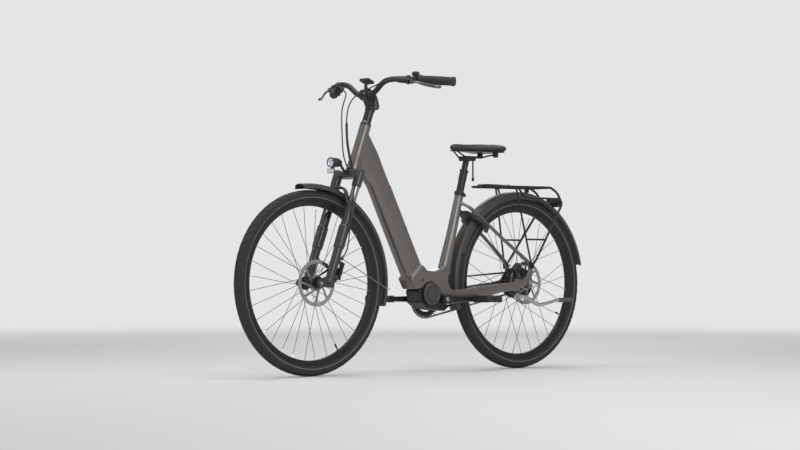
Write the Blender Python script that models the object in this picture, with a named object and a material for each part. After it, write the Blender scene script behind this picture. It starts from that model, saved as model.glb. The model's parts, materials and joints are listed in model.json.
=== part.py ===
"""Step-through electric city bicycle with a mid motor, hub gear, chain, disc brakes, guards and a rack.

Run with: blender --background --python part.py
Units are metres. The front of the bicycle points along +X, its left side along +Y and +Z is up.
Shapes are written from the rear axle, and one empty then moves the whole bicycle over the origin.
"""

import bmesh
import bpy
from math import asin, atan2, cos, pi, radians, sin
from mathutils import Matrix, Vector

# Overall sizes
WHEELBASE = 1.125
TYRE_RADIUS = 0.358
TYRE_WIDTH = 0.047
TYRE_HEIGHT = 0.0405
RIM_WIDTH = 0.025
RIM_DEPTH = 0.021
RIM_WALL = 0.0017
WHEEL_SEGMENTS = 32
SPOKES = 32
SPOKE_WIDTH = 0.0021
HUB_SIDES = 12
ROTOR_RADIUS = 0.090
ROTOR_THICKNESS = 0.0019
FRONT_HUB_WIDTH = 0.110
REAR_HUB_WIDTH = 0.135
FRONT_ROTOR_INSET = 0.0150
REAR_ROTOR_INSET = 0.0155
FRONT_AXLE_RADIUS = 0.0075
REAR_AXLE_RADIUS = 0.0065
SEAT_GAP = 0.0003
RUNNING_GAP = 0.0010

# Steering
HEAD_TILT = radians(20.4)
HEAD_LENGTH = 0.192
HEAD_SIDES = 14
HEAD_RADIUS_LOW = 0.0275
HEAD_RADIUS_HIGH = 0.0225
STEERER_RADIUS = 0.0143
STEERER_ROOM = 0.0008
HEADSET_HEIGHT = 0.0045
UPPER_HEADSET_HEIGHT = 0.0145
CROWN_ABOVE_TYRE = 0.1304
FORK_RAKE = 0.0477
FORK_TRAVEL = 0.040
STANCHION_LENGTH = 0.225
LOWERS_DROP = 0.144
LEG_SIDE = 0.065
LEG_AHEAD = 0.012
STANCHION_RADIUS = 0.015
LEG_RADIUS = 0.0180
CALIPER_BOLTS = (0.050, 0.108)
EYELET_HEIGHT = 0.122
EYELET_SIDE = LEG_SIDE + 0.008
BAR_RADIUS = 0.0111
BAR_CLAMP_RADIUS = 0.0159
STEM_WALL = 0.0062
BAR_HALF_WIDTH = 0.365
GRIP_LENGTH = 0.145
GRIP_RADIUS = 0.0168
GRIP_SWEEP = radians(32.0)
BAR_RISE = 0.050
BAR_SIDES = 10
LEVER_PIN_RADIUS = 0.0024
LEG_SIDES = 10
POST_SIDES = 12

# Drive
BRACKET_AHEAD = 0.477
BRACKET_DROP = 0.065
CRANK_LENGTH = 0.170
CHAIN_LINE = 0.050
CHAIN_PITCH = 0.0127
RING_TEETH = 38
SPROCKET_TEETH = 22
TOOTH_THICKNESS = 0.0024
PEDAL_LENGTH = 0.098
PEDAL_WIDTH = 0.084
PEDAL_THICKNESS = 0.026
SPINDLE_RADIUS = 0.0055
CRANK_AXLE_RADIUS = 0.0095
CRANK_SIDE = 0.072
CRANK_FLARE = 0.006

# Frame
TUBE_DEPTH = 0.091
TUBE_WIDTH = 0.074
SHELL_HALF_WIDTH = 0.0445
YOKE_REACH = 0.0895
SEAT_TUBE_RADIUS = 0.0178
SEAT_TUBE_TILT = radians(15.5)
SEAT_TUBE_LENGTH = 0.430
POST_RADIUS = 0.0158
INNER_POST_RADIUS = 0.0125
SADDLE_RAIL_RADIUS = 0.0035
SADDLE_RAIL_SIDE = 0.022
SADDLE_RAIL_DROP = 0.0275
SADDLE_LENGTH = 0.262
SADDLE_RISE = 0.084
CLAMP_RISE = 0.052
POST_EXTENSION = 0.108
STAY_RADIUS = 0.0068
DROPOUT_THICKNESS = 0.0085
DISC_RADIUS = 0.046

# Guards, rack and stand
GUARD_GAP = 0.027
GUARD_HALF_WIDTH = 0.0285
GUARD_WALL = 0.002
GUARD_SKIRT = 0.022
LOCK_SKIRT = 0.034
REAR_GUARD_TAIL = radians(168.4)
REAR_GUARD_START = radians(-17.0)
FRONT_GUARD_START = radians(82.0)
FRONT_GUARD_END = radians(194.0)
RACK_HEIGHT = 0.758
RACK_HALF_WIDTH = 0.060
RACK_TUBE_RADIUS = 0.005
RACK_BAR_RADIUS = 0.004
STRUT_TOP = 0.064
LIGHT_BAR = -0.2085
STAND_LENGTH = 0.306
STAND_LEAN = radians(15.0)
STAND_PIN_RADIUS = 0.0050
LOCK_RING_RADIUS = 0.0535
HOSE_RADIUS = 0.0025

# Worked out from the sizes above
AXLE_HEIGHT = TYRE_RADIUS
RIM_RADIUS = TYRE_RADIUS - TYRE_HEIGHT
RIM_BED = RIM_RADIUS - 0.0063
FRONT_ROTOR_SIDE = FRONT_HUB_WIDTH / 2 - FRONT_ROTOR_INSET
DROPOUT_SIDE = REAR_HUB_WIDTH / 2
REAR_ROTOR_SIDE = DROPOUT_SIDE - REAR_ROTOR_INSET
RIM_CROWN = RIM_RADIUS - RIM_DEPTH
GUARD_RADIUS = TYRE_RADIUS + GUARD_GAP
REAR_OVERHANG = -GUARD_RADIUS * cos(REAR_GUARD_TAIL)
REAR_AXLE_X = (REAR_OVERHANG - WHEELBASE - TYRE_RADIUS) / 2
REAR_AXLE = Vector((0.0, 0.0, AXLE_HEIGHT))
FRONT_AXLE = Vector((WHEELBASE, 0.0, AXLE_HEIGHT))
BRACKET = Vector((BRACKET_AHEAD, 0.0, AXLE_HEIGHT - BRACKET_DROP))
STEER_UP = Vector((-sin(HEAD_TILT), 0.0, cos(HEAD_TILT)))
STEER_AHEAD = Vector((cos(HEAD_TILT), 0.0, sin(HEAD_TILT)))
STEER_FOOT = FRONT_AXLE - STEER_AHEAD * FORK_RAKE
FORK_LENGTH = TYRE_RADIUS + CROWN_ABOVE_TYRE
HEAD_TOP = FORK_LENGTH + HEAD_LENGTH
RING_RADIUS = RING_TEETH * CHAIN_PITCH / (2 * pi)
SPROCKET_RADIUS = SPROCKET_TEETH * CHAIN_PITCH / (2 * pi)
SEAT_UP = Vector((-sin(SEAT_TUBE_TILT), 0.0, cos(SEAT_TUBE_TILT)))
SEAT_AHEAD = Vector((cos(SEAT_TUBE_TILT), 0.0, sin(SEAT_TUBE_TILT)))
SEAT_FOOT = BRACKET + Vector((-0.0275, 0.0, 0.010))
X_AXIS = Vector((1.0, 0.0, 0.0))
Y_AXIS = Vector((0.0, 1.0, 0.0))
Z_AXIS = Vector((0.0, 0.0, 1.0))
SIDES = (("left", 1), ("right", -1))


# Scene helpers
def clear_scene():
    for thing in list(bpy.data.objects):
        bpy.data.objects.remove(thing, do_unlink=True)


def paint(name, colour, roughness, metallic=0.0):
    material = bpy.data.materials.new(name)
    material.use_nodes = True
    shader = material.node_tree.nodes["Principled BSDF"]
    shader.inputs["Base Color"].default_value = (*colour, 1.0)
    shader.inputs["Roughness"].default_value = roughness
    shader.inputs["Metallic"].default_value = metallic
    material.diffuse_color = (*colour, 1.0)
    return material


def empty_at(name, point, parent=None):
    """An empty on a joint's axis, given in bicycle coordinates."""
    carrier = bpy.data.objects.new(name, None)
    carrier.empty_display_size = 0.03
    bpy.context.scene.collection.objects.link(carrier)
    carrier["place"] = tuple(point)
    if parent is not None:
        carrier.parent = parent
        carrier.location = Vector(point) - Vector(parent["place"])
    return carrier


def place_mesh(name, shape, carrier, material):
    """Turn a bmesh in bicycle coordinates into an object whose origin is its carrier's."""
    bmesh.ops.recalc_face_normals(shape, faces=shape.faces)
    bmesh.ops.translate(shape, verts=shape.verts, vec=-Vector(carrier["place"]))
    mesh = bpy.data.meshes.new(name)
    shape.to_mesh(mesh)
    shape.free()
    thing = bpy.data.objects.new(name, mesh)
    mesh.materials.append(material)
    mesh.shade_smooth()
    mesh.set_sharp_from_angle(angle=radians(32))
    thing.parent = carrier
    return thing


def helper_collection(name, shapes, carrier, material):
    group = bpy.data.collections.new(name)
    bpy.data.collections["helpers"].children.link(group)
    for number, shape in enumerate(shapes):
        thing = place_mesh(f"{name}_{number}", shape, carrier, material)
        thing.hide_render = True
        thing.display_type = "WIRE"
        group.objects.link(thing)
    return group


def build(name, shapes, material, carrier, cutters=()):
    """One sub-part: its shapes joined into one solid, less its cutters."""
    thing = place_mesh(name, shapes[0], carrier, material)
    bpy.context.scene.collection.objects.link(thing)
    if shapes[1:]:
        add_boolean(thing, "UNION", "joined", shapes[1:], carrier, material)
    if cutters:
        add_boolean(thing, "DIFFERENCE", "cut", cutters, carrier, material)
    return thing


def add_boolean(thing, operation, word, shapes, carrier, material):
    """Join shapes to an object, or cut them out of it, with one live modifier."""
    modifier = thing.modifiers.new(word, "BOOLEAN")
    modifier.operation = operation
    modifier.solver = "EXACT"
    modifier.operand_type = "COLLECTION"
    modifier.collection = helper_collection(f"{thing.name}_{word}", shapes, carrier, material)


# Shape helpers
def square_to(direction):
    """Two unit vectors square to a direction, the first of them level where it can be."""
    level = Y_AXIS if abs(direction.normalized().dot(Y_AXIS)) < 0.9 else X_AXIS
    first = (level - direction.normalized() * level.dot(direction.normalized())).normalized()
    return first, direction.normalized().cross(first)


def loft(sections, closed=False):
    """A skin over sections with equal numbers of points, capped unless it closes on itself."""
    shape = bmesh.new()
    rows = [[shape.verts.new(point) for point in section] for section in sections]
    pairs = list(zip(rows, rows[1:]))
    if closed:
        pairs.append((rows[-1], rows[0]))
    for row, other in pairs:
        for i in range(len(row)):
            j = (i + 1) % len(row)
            shape.faces.new((row[i], row[j], other[j], other[i]))
    if not closed:
        shape.faces.new(rows[0])
        shape.faces.new(rows[-1])
    return shape


def ring_of(centre, first, second, radius, count):
    """Points of a regular polygon round a centre."""
    angles = [2 * pi * (i + 0.5) / count for i in range(count)]
    return [centre + first * (radius * cos(a)) + second * (radius * sin(a)) for a in angles]


def revolve(profile, point, axis, count, closed=False):
    """A profile of (distance along the axis, radius) pairs turned about that axis."""
    axis = axis.normalized()
    first, second = (X_AXIS, Z_AXIS) if abs(axis.dot(Y_AXIS)) > 0.999 else square_to(axis)
    rings = [ring_of(point + axis * d, first, second, r, count) for d, r in profile]
    return loft(rings, closed)


def across_flats(radius, count):
    """The corner radius of a polygon whose flats lie on the given radius."""
    return radius / cos(pi / count)


def rod(start, end, radius, count=10):
    """A straight round bar between two points."""
    start = Vector(start)
    run = Vector(end) - start
    return revolve([(0.0, radius), (run.length, radius)], start, run, count)


def tube(points, radius, count=8):
    """A round bar along a path, mitred at each point."""
    points = [Vector(point) for point in points]
    radii = radius if isinstance(radius, (list, tuple)) else [radius] * len(points)
    first = square_to(points[1] - points[0])[0]
    rings = []
    for i, point in enumerate(points):
        before = (point - points[max(i - 1, 0)]).normalized()
        after = (points[min(i + 1, len(points) - 1)] - point).normalized()
        along = (before + after).normalized()
        first = (first - along * first.dot(along)).normalized()
        rings.append(ring_of(point, first, along.cross(first), radii[i], count))
    return loft(rings)


def smooth_route(points, steps):
    """Points read from a smooth curve that passes through the route's own points."""
    points = [Vector(point) for point in points]
    ends = [points[0] * 2 - points[1]] + points + [points[-1] * 2 - points[-2]]
    found = []
    for i in range(len(points) - 1):
        a, b, c, d = ends[i : i + 4]
        for step in range(steps):
            t = step / steps
            bend = (b * 2) + (c - a) * t + (a * 2 - b * 5 + c * 4 - d) * t**2
            found.append((bend + (b * 3 - a - c * 3 + d) * t**3) / 2)
    return found + [points[-1]]


def block(centre, size, turn=None):
    """A box with its centre and sizes along X, Y and Z, turned about its centre."""
    shape = bmesh.new()
    bmesh.ops.create_cube(shape, size=1.0)
    bmesh.ops.scale(shape, vec=size, verts=shape.verts)
    if turn is not None:
        bmesh.ops.transform(shape, matrix=turn, verts=shape.verts)
    bmesh.ops.translate(shape, vec=centre, verts=shape.verts)
    return shape


def soft_block(centre, size, bevel, turn=None):
    """A box whose edges are all rounded."""
    shape = block(Vector((0.0, 0.0, 0.0)), size)
    bmesh.ops.bevel(shape, geom=shape.edges, offset=bevel, segments=1, affect="EDGES", profile=0.5)
    if turn is not None:
        bmesh.ops.transform(shape, matrix=turn, verts=shape.verts)
    bmesh.ops.translate(shape, vec=centre, verts=shape.verts)
    return shape


def plate(outline, low, high):
    """An outline of (x, z) pairs with its thickness along Y."""
    rows = [[Vector((x, side, z)) for x, z in outline] for side in (low, high)]
    return loft(rows)


def rounded(centre, first, second, half_first, half_second, count, power=3.0):
    """Points of a rounded rectangle round a centre."""
    points = []
    for i in range(count):
        angle = 2 * pi * (i + 0.5) / count
        across = abs(cos(angle)) ** (2 / power) * (1 if cos(angle) > 0 else -1)
        upward = abs(sin(angle)) ** (2 / power) * (1 if sin(angle) > 0 else -1)
        points.append(centre + first * (half_first * across) + second * (half_second * upward))
    return points


def mirror_shape(make):
    """The same shape on the left and on the right."""
    return [make(side) for _, side in SIDES]


def fork_point(up, ahead=0.0, side=0.0):
    """A point measured up and ahead of the steering axis, from level with the front axle."""
    return STEER_FOOT + STEER_UP * up + STEER_AHEAD * ahead + Y_AXIS * side


def seat_point(up, ahead=0.0, side=0.0):
    """A point measured along the seat tube from its foot."""
    return SEAT_FOOT + SEAT_UP * up + SEAT_AHEAD * ahead + Y_AXIS * side


def around(centre, radius, angle, side=0.0):
    """A point of a circle in the plane of the wheels."""
    return centre + Vector((radius * cos(angle), side, radius * sin(angle)))


# Materials
def make_materials():
    black = (0.018, 0.018, 0.019)
    return {
        "frame": paint("frame_paint", (0.165, 0.150, 0.140), 0.36, 0.55),
        "satin": paint("satin_black", (0.035, 0.035, 0.036), 0.45, 0.30),
        "plastic": paint("black_plastic", black, 0.55),
        "rubber": paint("tyre_rubber", (0.022, 0.022, 0.022), 0.85),
        "grip": paint("grip_rubber", (0.030, 0.029, 0.029), 0.80),
        "alloy": paint("bare_alloy", (0.50, 0.49, 0.47), 0.35, 1.0),
        "steel": paint("brushed_steel", (0.42, 0.41, 0.40), 0.30, 1.0),
        "chain": paint("chain_steel", (0.30, 0.29, 0.27), 0.35, 1.0),
        "guard": paint("guard_finish", (0.045, 0.043, 0.042), 0.40, 0.20),
        "disc": paint("disc_cover", (0.060, 0.058, 0.060), 0.40),
        "cover": paint("saddle_cover", (0.020, 0.020, 0.021), 0.70),
        "lamp": paint("lamp_housing", (0.030, 0.030, 0.032), 0.30),
        "red": paint("rear_lens", (0.40, 0.015, 0.015), 0.20),
        "hose": paint("hose_jacket", (0.020, 0.020, 0.020), 0.50),
    }


# Wheels
def turned_flat(profile, centre, count=WHEEL_SEGMENTS):
    """A closed profile of (side, radius) pairs turned round a wheel's axle, its flats on the radii."""
    corners = [(side, across_flats(radius, count)) for side, radius in profile]
    return revolve(corners, centre, Y_AXIS, count, closed=True)


def tyre(name, centre, carrier, material):
    half = TYRE_WIDTH / 2
    bead = RIM_WIDTH / 2 - RIM_WALL - SEAT_GAP
    outside = [
        (bead, RIM_BED + SEAT_GAP),
        (bead, RIM_RADIUS + 0.0006),
        (half, RIM_RADIUS + 0.42 * TYRE_HEIGHT),
        (half * 0.86, RIM_RADIUS + 0.770 * TYRE_HEIGHT),
        (half * 0.38, TYRE_RADIUS),
    ]
    hollow = [(0.0, RIM_RADIUS + 0.70 * TYRE_HEIGHT)]
    outline = outside + [(-side, radius) for side, radius in reversed(outside)] + hollow
    return build(name, [turned_flat(outline, centre)], material, carrier)


def rim(name, centre, carrier, material):
    half = RIM_WIDTH / 2
    right = [(half - RIM_WALL, RIM_BED), (half - RIM_WALL, RIM_RADIUS), (half, RIM_RADIUS)]
    right.append((half * 0.60, RIM_CROWN))
    outline = right + [(-side, radius) for side, radius in reversed(right)]
    return build(name, [turned_flat(outline, centre)], material, carrier)


def spoke_set(centre, flange_radius, flange_side):
    """Spokes that leave each flange on a tangent, by turns in front of and behind it."""
    lace_angle = radians(52)
    rim_seat = across_flats(RIM_CROWN, WHEEL_SEGMENTS) - 0.0008
    spokes = []
    for flange in (1, -1):
        for i in range(SPOKES // 2):
            lean = 1 if i % 2 else -1
            seat = 2 * pi * (2 * i + (0.5 if flange > 0 else 1.5)) / SPOKES
            foot_side = flange * flange_side + lean * 0.0018
            foot = around(centre, flange_radius - 0.004, seat - lean * lace_angle, foot_side)
            tip = around(centre, rim_seat, seat, flange * 0.0016 + lean * 0.0012)
            spokes.append(rod(foot, tip, SPOKE_WIDTH * 0.58, 3))
    return spokes


def one_shape(shapes):
    """Several shapes that don't touch, put into one helper shape."""
    whole = bmesh.new()
    for shape in shapes:
        part = bpy.data.meshes.new("part")
        shape.to_mesh(part)
        shape.free()
        whole.from_mesh(part)
        bpy.data.meshes.remove(part)
    return whole


def hub(name, centre, carrier, material, profile, bore, flange_radius, flange_side):
    wall = across_flats(bore, HUB_SIDES)
    outline = [(profile[0][0], wall), *profile, (profile[-1][0], wall)]
    shell = revolve(outline, centre, Y_AXIS, HUB_SIDES, closed=True)
    spokes = one_shape(spoke_set(centre, flange_radius, flange_side))
    return build(name, [shell, spokes], material, carrier)


def front_hub(carrier, material):
    end = FRONT_HUB_WIDTH / 2 - SEAT_GAP
    flange = 0.0265
    side = 0.027
    profile = [
        (-end, 0.0105),
        (-side - 0.0075, 0.0125),
        (-side - 0.0035, flange),
        (-side + 0.0035, flange),
        (-side + 0.0080, 0.0155),
        (side - 0.0080, 0.0155),
        (side - 0.0035, flange),
        (side + 0.0035, flange),
        (FRONT_ROTOR_SIDE - 0.004, 0.0165),
        (FRONT_ROTOR_SIDE + 0.004, 0.0165),
        (FRONT_ROTOR_SIDE + 0.005, 0.0105),
        (end, 0.0105),
    ]
    bore = FRONT_AXLE_RADIUS + SEAT_GAP
    hub("front_hub", FRONT_AXLE, carrier, material, profile, bore, flange, side)


def rear_hub(carrier, material):
    flange = 0.0630
    side = 0.027
    profile = [
        (-CHAIN_LINE + 0.0085, 0.0250),
        (-side - 0.0050, 0.0440),
        (-side - 0.0035, flange),
        (-side + 0.0035, flange),
        (-side + 0.0065, 0.0540),
        (side - 0.0065, 0.0540),
        (side - 0.0035, flange),
        (side + 0.0035, flange),
        (side + 0.0055, 0.0420),
        (REAR_ROTOR_SIDE - 0.0065, 0.0280),
        (REAR_ROTOR_SIDE - 0.0060, 0.0165),
        (REAR_ROTOR_SIDE + 0.0040, 0.0165),
        (REAR_ROTOR_SIDE + 0.0050, 0.0110),
        (DROPOUT_SIDE - SEAT_GAP, 0.0110),
    ]
    bore = REAR_AXLE_RADIUS + SEAT_GAP
    hub("rear_hub", REAR_AXLE, carrier, material, profile, bore, flange, side)


def rotor(name, centre, side, carrier, material):
    """A flat disc: brake ring, slanting arms and carrier, made as a web of faces and then thickened."""
    arms = 8
    step = 2 * pi / arms
    seat = (0.0165 + SEAT_GAP) / cos((step - 0.260) / 2)
    low = side - ROTOR_THICKNESS / 2
    shape = bmesh.new()

    def circle(radius, angles):
        return [shape.verts.new(around(centre, radius, angle, low)) for angle in angles]

    outer_angles = [step * arm + turn for arm in range(arms) for turn in (0.0, 0.105, 0.445)]
    inner_angles = [step * arm + turn - 0.50 for arm in range(arms) for turn in (0.0, 0.260)]
    outer = circle(ROTOR_RADIUS, outer_angles)
    track = circle(ROTOR_RADIUS - 0.0150, outer_angles)
    collar = circle(0.031, inner_angles)
    bore = circle(seat, inner_angles)
    for first, second in ((outer, track), (collar, bore)):
        count = len(first)
        for i in range(count):
            j = (i + 1) % count
            shape.faces.new((first[i], first[j], second[j], second[i]))
    for arm in range(arms):
        shape.faces.new((track[arm * 3], track[arm * 3 + 1], collar[arm * 2 + 1], collar[arm * 2]))
    made = bmesh.ops.extrude_face_region(shape, geom=shape.faces[:])
    lifted = [part for part in made["geom"] if isinstance(part, bmesh.types.BMVert)]
    bmesh.ops.translate(shape, verts=lifted, vec=Y_AXIS * ROTOR_THICKNESS)
    return build(name, [shape], material, carrier)


def front_axle(carrier, material):
    end = LEG_SIDE + 0.011
    profile = [(-end, 0.0105), (-LEG_SIDE - 0.0052, 0.0105), (-LEG_SIDE - 0.0051, FRONT_AXLE_RADIUS)]
    profile += [(end - 0.004, FRONT_AXLE_RADIUS)]
    build("front_axle", [revolve(profile, FRONT_AXLE, Y_AXIS, 12)], material, carrier)


def rear_axle(carrier, material):
    seat = DROPOUT_SIDE + DROPOUT_THICKNESS + SEAT_GAP
    right = [(seat, REAR_AXLE_RADIUS), (seat, 0.0105), (seat + 0.008, 0.0105), (seat + 0.009, 0.0060)]
    right.append((seat + 0.012, 0.0060))
    profile = [(-side, radius) for side, radius in reversed(right)] + right
    build("rear_axle", [revolve(profile, REAR_AXLE, Y_AXIS, 10)], material, carrier)


# Drive
def toothed_ring(centre, teeth, pitch_radius, inner_radii, sides, phase):
    """A toothed wheel built tooth by tooth between its bore and its tips.

    inner_radii and sides give the steps of a boss, from the teeth inwards.
    """
    shape = bmesh.new()
    root = pitch_radius - 0.0044
    tip = pitch_radius + 0.0034
    step = 2 * pi / teeth
    corners = ((root, -0.00205), (tip, -0.0011), (tip, 0.0011), (root, 0.00205))

    def face_points(side):
        teeth_points = []
        for tooth in range(teeth):
            middle = step * (tooth + 0.5) + phase
            teeth_points.append(
                [shape.verts.new(around(centre, r, middle + half / r, side)) for r, half in corners]
            )
        return teeth_points

    def circle(radius, side):
        return [shape.verts.new(around(centre, radius, step * i + phase, side)) for i in range(teeth)]

    def band(first, second):
        for i in range(teeth):
            j = (i + 1) % teeth
            shape.faces.new((first[i], first[j], second[j], second[i]))

    faces = []
    for sign in (1, -1):
        side = -CHAIN_LINE + sign * TOOTH_THICKNESS / 2
        points = face_points(side)
        inner = circle(inner_radii[0], side)
        for i in range(teeth):
            j = (i + 1) % teeth
            before = points[i - 1][3]
            shape.faces.new((inner[i], before, *points[i], inner[j]))
        steps = [inner]
        for k in range(len(sides)):
            boss = -CHAIN_LINE + (sides[k][0] if sign > 0 else sides[k][1])
            steps.append(circle(inner_radii[k], boss))
            steps.append(circle(inner_radii[k + 1], boss))
        for first, second in zip(steps, steps[1:]):
            band(first, second)
        faces.append((points, steps[-1]))
    (front, front_bore), (back, back_bore) = faces
    for i in range(teeth):
        loop = [front[i - 1][3], *front[i]]
        other = [back[i - 1][3], *back[i]]
        for k in range(4):
            shape.faces.new((loop[k], loop[k + 1], other[k + 1], other[k]))
    band(front_bore, back_bore)
    return shape


def chainring(carrier, material):
    shape = toothed_ring(BRACKET, RING_TEETH, RING_RADIUS, [0.052], [], chain_slope())
    build("chainring", [shape], material, carrier)


def rear_sprocket(carrier, material):
    bore = across_flats(REAR_AXLE_RADIUS + SEAT_GAP, SPROCKET_TEETH)
    boss = (0.0080, CHAIN_LINE - DROPOUT_SIDE + SEAT_GAP)
    radii = [0.0140, bore]
    shape = toothed_ring(REAR_AXLE, SPROCKET_TEETH, SPROCKET_RADIUS, radii, [boss], chain_slope() + pi)
    build("rear_sprocket", [shape], material, carrier)


def chain_route(distance):
    """Place and heading of the chain's centre line, from mid-wrap on the chainring."""
    reach = (BRACKET - REAR_AXLE).length
    slope = chain_slope()
    lean = asin((RING_RADIUS - SPROCKET_RADIUS) / reach)
    straight = reach * cos(lean)
    ring_half = RING_RADIUS * (pi / 2 + lean)
    sprocket_half = SPROCKET_RADIUS * (pi / 2 - lean)
    total = 2 * (ring_half + straight + sprocket_half)
    distance %= total
    if distance < ring_half:
        angle = slope + distance / RING_RADIUS
        return around(BRACKET, RING_RADIUS, angle), angle + pi / 2, total
    distance -= ring_half
    leave = slope + pi / 2 + lean
    if distance < straight:
        start = around(BRACKET, RING_RADIUS, leave)
        heading = leave + pi / 2
        return start + Vector((cos(heading), 0.0, sin(heading))) * distance, heading, total
    distance -= straight
    if distance < 2 * sprocket_half:
        angle = leave + distance / SPROCKET_RADIUS
        return around(REAR_AXLE, SPROCKET_RADIUS, angle), angle + pi / 2, total
    distance -= 2 * sprocket_half
    back = slope - pi / 2 - lean
    if distance < straight:
        start = around(REAR_AXLE, SPROCKET_RADIUS, back)
        heading = back + pi / 2
        return start + Vector((cos(heading), 0.0, sin(heading))) * distance, heading, total
    distance -= straight
    angle = back + distance / RING_RADIUS
    return around(BRACKET, RING_RADIUS, angle), angle + pi / 2, total


def chain_slope():
    return atan2(BRACKET.z - REAR_AXLE.z, BRACKET.x - REAR_AXLE.x)


def chain(carrier, material):
    """A closed loop: on both wheels each roller and the gap for a tooth beside it, plain on the straights."""
    total = chain_route(0.0)[2]
    links = 2 * round(total / CHAIN_PITCH / 2)
    pitch = total / links
    half_block = 0.0036
    half_height = 0.0040
    sides = (-0.0039, -0.0019, 0.0019, 0.0039)
    wrapped = [link for link in range(links) if chain_is_bent(link * pitch, pitch)]
    shape = bmesh.new()

    def station(distance):
        point, heading, _ = chain_route(distance)
        out = Vector((sin(heading), 0.0, -cos(heading)))
        rows = []
        for height in (-half_height, half_height):
            spots = [point + out * height + Y_AXIS * (side - CHAIN_LINE) for side in sides]
            rows.append([shape.verts.new(spot) for spot in spots])
        return rows

    def strip(first, second, pairs):
        for a, b in pairs:
            shape.faces.new((first[a[0]][a[1]], second[a[0]][a[1]], second[b[0]][b[1]], first[b[0]][b[1]]))

    whole = [((level, k), (level, k + 1)) for level in (0, 1) for k in range(3)]
    whole += [((0, k), (1, k)) for k in (0, 3)]
    plates = [((level, k), (level, k + 1)) for level in (0, 1) for k in (0, 2)]
    plates += [((0, k), (1, k)) for k in (0, 1, 2, 3)]
    rollers = [(station(link * pitch - half_block), station(link * pitch + half_block)) for link in wrapped]
    for i, (start, end) in enumerate(rollers):
        after = rollers[(i + 1) % len(rollers)][0]
        next_link = wrapped[(i + 1) % len(wrapped)]
        strip(start, end, whole)
        if (next_link - wrapped[i]) % links > 1:
            strip(end, after, whole)
            continue
        strip(end, after, plates)
        for rows in (end, after):
            shape.faces.new((rows[0][1], rows[0][2], rows[1][2], rows[1][1]))
    build("chain", [shape], material, carrier)


def chain_is_bent(distance, pitch):
    """Whether the chain's heading changes within three and a half links of a place on it."""
    before = chain_route(distance - 3.5 * pitch)[1]
    after = chain_route(distance + 3.5 * pitch)[1]
    return abs(sin((after - before) / 2)) > 0.001


def crank_arm(side, forward):
    """A tapered arm from the axle to the pedal's eye."""
    start = BRACKET + Y_AXIS * (side * CRANK_SIDE)
    end = start + X_AXIS * (forward * CRANK_LENGTH) + Y_AXIS * (side * CRANK_FLARE)
    run = end - start
    steps = ((-0.014, 0.010, 0.0075), (0.0, 0.0165, 0.0085), (0.030, 0.0140, 0.0080))
    steps += ((CRANK_LENGTH * 0.8, 0.0105, 0.0062), (CRANK_LENGTH, 0.0135, 0.0065))
    steps += ((CRANK_LENGTH + 0.013, 0.0075, 0.0060),)
    along = run.normalized()
    sections = []
    for distance, tall, thick in steps:
        centre = start + along * distance
        sections.append(rounded(centre, Z_AXIS, Y_AXIS, tall, thick, 8, 3.0))
    return loft(sections), end


def pedal_spindle(side, eye):
    return rod(eye, eye + Y_AXIS * (side * (PEDAL_LENGTH + 0.010)), SPINDLE_RADIUS, 8)


def right_crank(carrier, material):
    arm, eye = crank_arm(-1, 1)
    left_end = BRACKET + Y_AXIS * (CRANK_SIDE - 0.010)
    axle = rod(left_end, BRACKET - Y_AXIS * (CRANK_SIDE + 0.004), CRANK_AXLE_RADIUS, 12)
    inner = -CHAIN_LINE - TOOTH_THICKNESS / 2 - SEAT_GAP
    disc = revolve([(inner - 0.0042, 0.026), (inner, 0.028)], BRACKET, Y_AXIS, 12)
    arms = []
    for i in range(4):
        angle = 2 * pi * (i + 0.5) / 4
        turn = Matrix.Rotation(-angle, 3, "Y").to_4x4()
        centre = around(BRACKET, 0.042, angle, inner - 0.0021)
        arms.append(block(centre, (0.036, 0.0040, 0.015), turn))
    build("right_crank", [axle, arm, pedal_spindle(-1, eye), disc, *arms], material, carrier)


def left_crank(carrier, material):
    arm, eye = crank_arm(1, -1)
    boss = rod(BRACKET + Y_AXIS * (CRANK_SIDE - 0.0145), BRACKET + Y_AXIS * (CRANK_SIDE + 0.012), 0.0185, 14)
    seat_end = BRACKET + Y_AXIS * (CRANK_SIDE - 0.010 + SEAT_GAP)
    seat = rod(BRACKET + Y_AXIS * (CRANK_SIDE - 0.022), seat_end, CRANK_AXLE_RADIUS + SEAT_GAP, 12)
    build("left_crank", [arm, boss, pedal_spindle(1, eye)], material, carrier, [seat])


def pedal(name, side, forward, carrier, material):
    eye = BRACKET + X_AXIS * (forward * CRANK_LENGTH) + Y_AXIS * (side * (CRANK_SIDE + CRANK_FLARE))
    inner = 0.0100
    middle = eye + Y_AXIS * (side * (inner + PEDAL_LENGTH / 2))
    body = soft_block(middle, (PEDAL_WIDTH, PEDAL_LENGTH, PEDAL_THICKNESS), 0.005)
    window = (PEDAL_WIDTH - 0.038) / 2
    cuts = []
    for ahead in (1, -1):
        for across in (1, -1):
            centre = middle + X_AXIS * (ahead * (0.0095 + window / 2))
            centre = centre + Y_AXIS * (across * PEDAL_LENGTH * 0.23)
            cuts.append(block(centre, (window, PEDAL_LENGTH * 0.36, 0.06)))
    bore_end = eye + Y_AXIS * (side * (PEDAL_LENGTH + 0.010 + RUNNING_GAP))
    cuts.append(rod(eye, bore_end, across_flats(SPINDLE_RADIUS + SEAT_GAP, 8), 8))
    build(name, [body], material, carrier, cuts)


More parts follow.
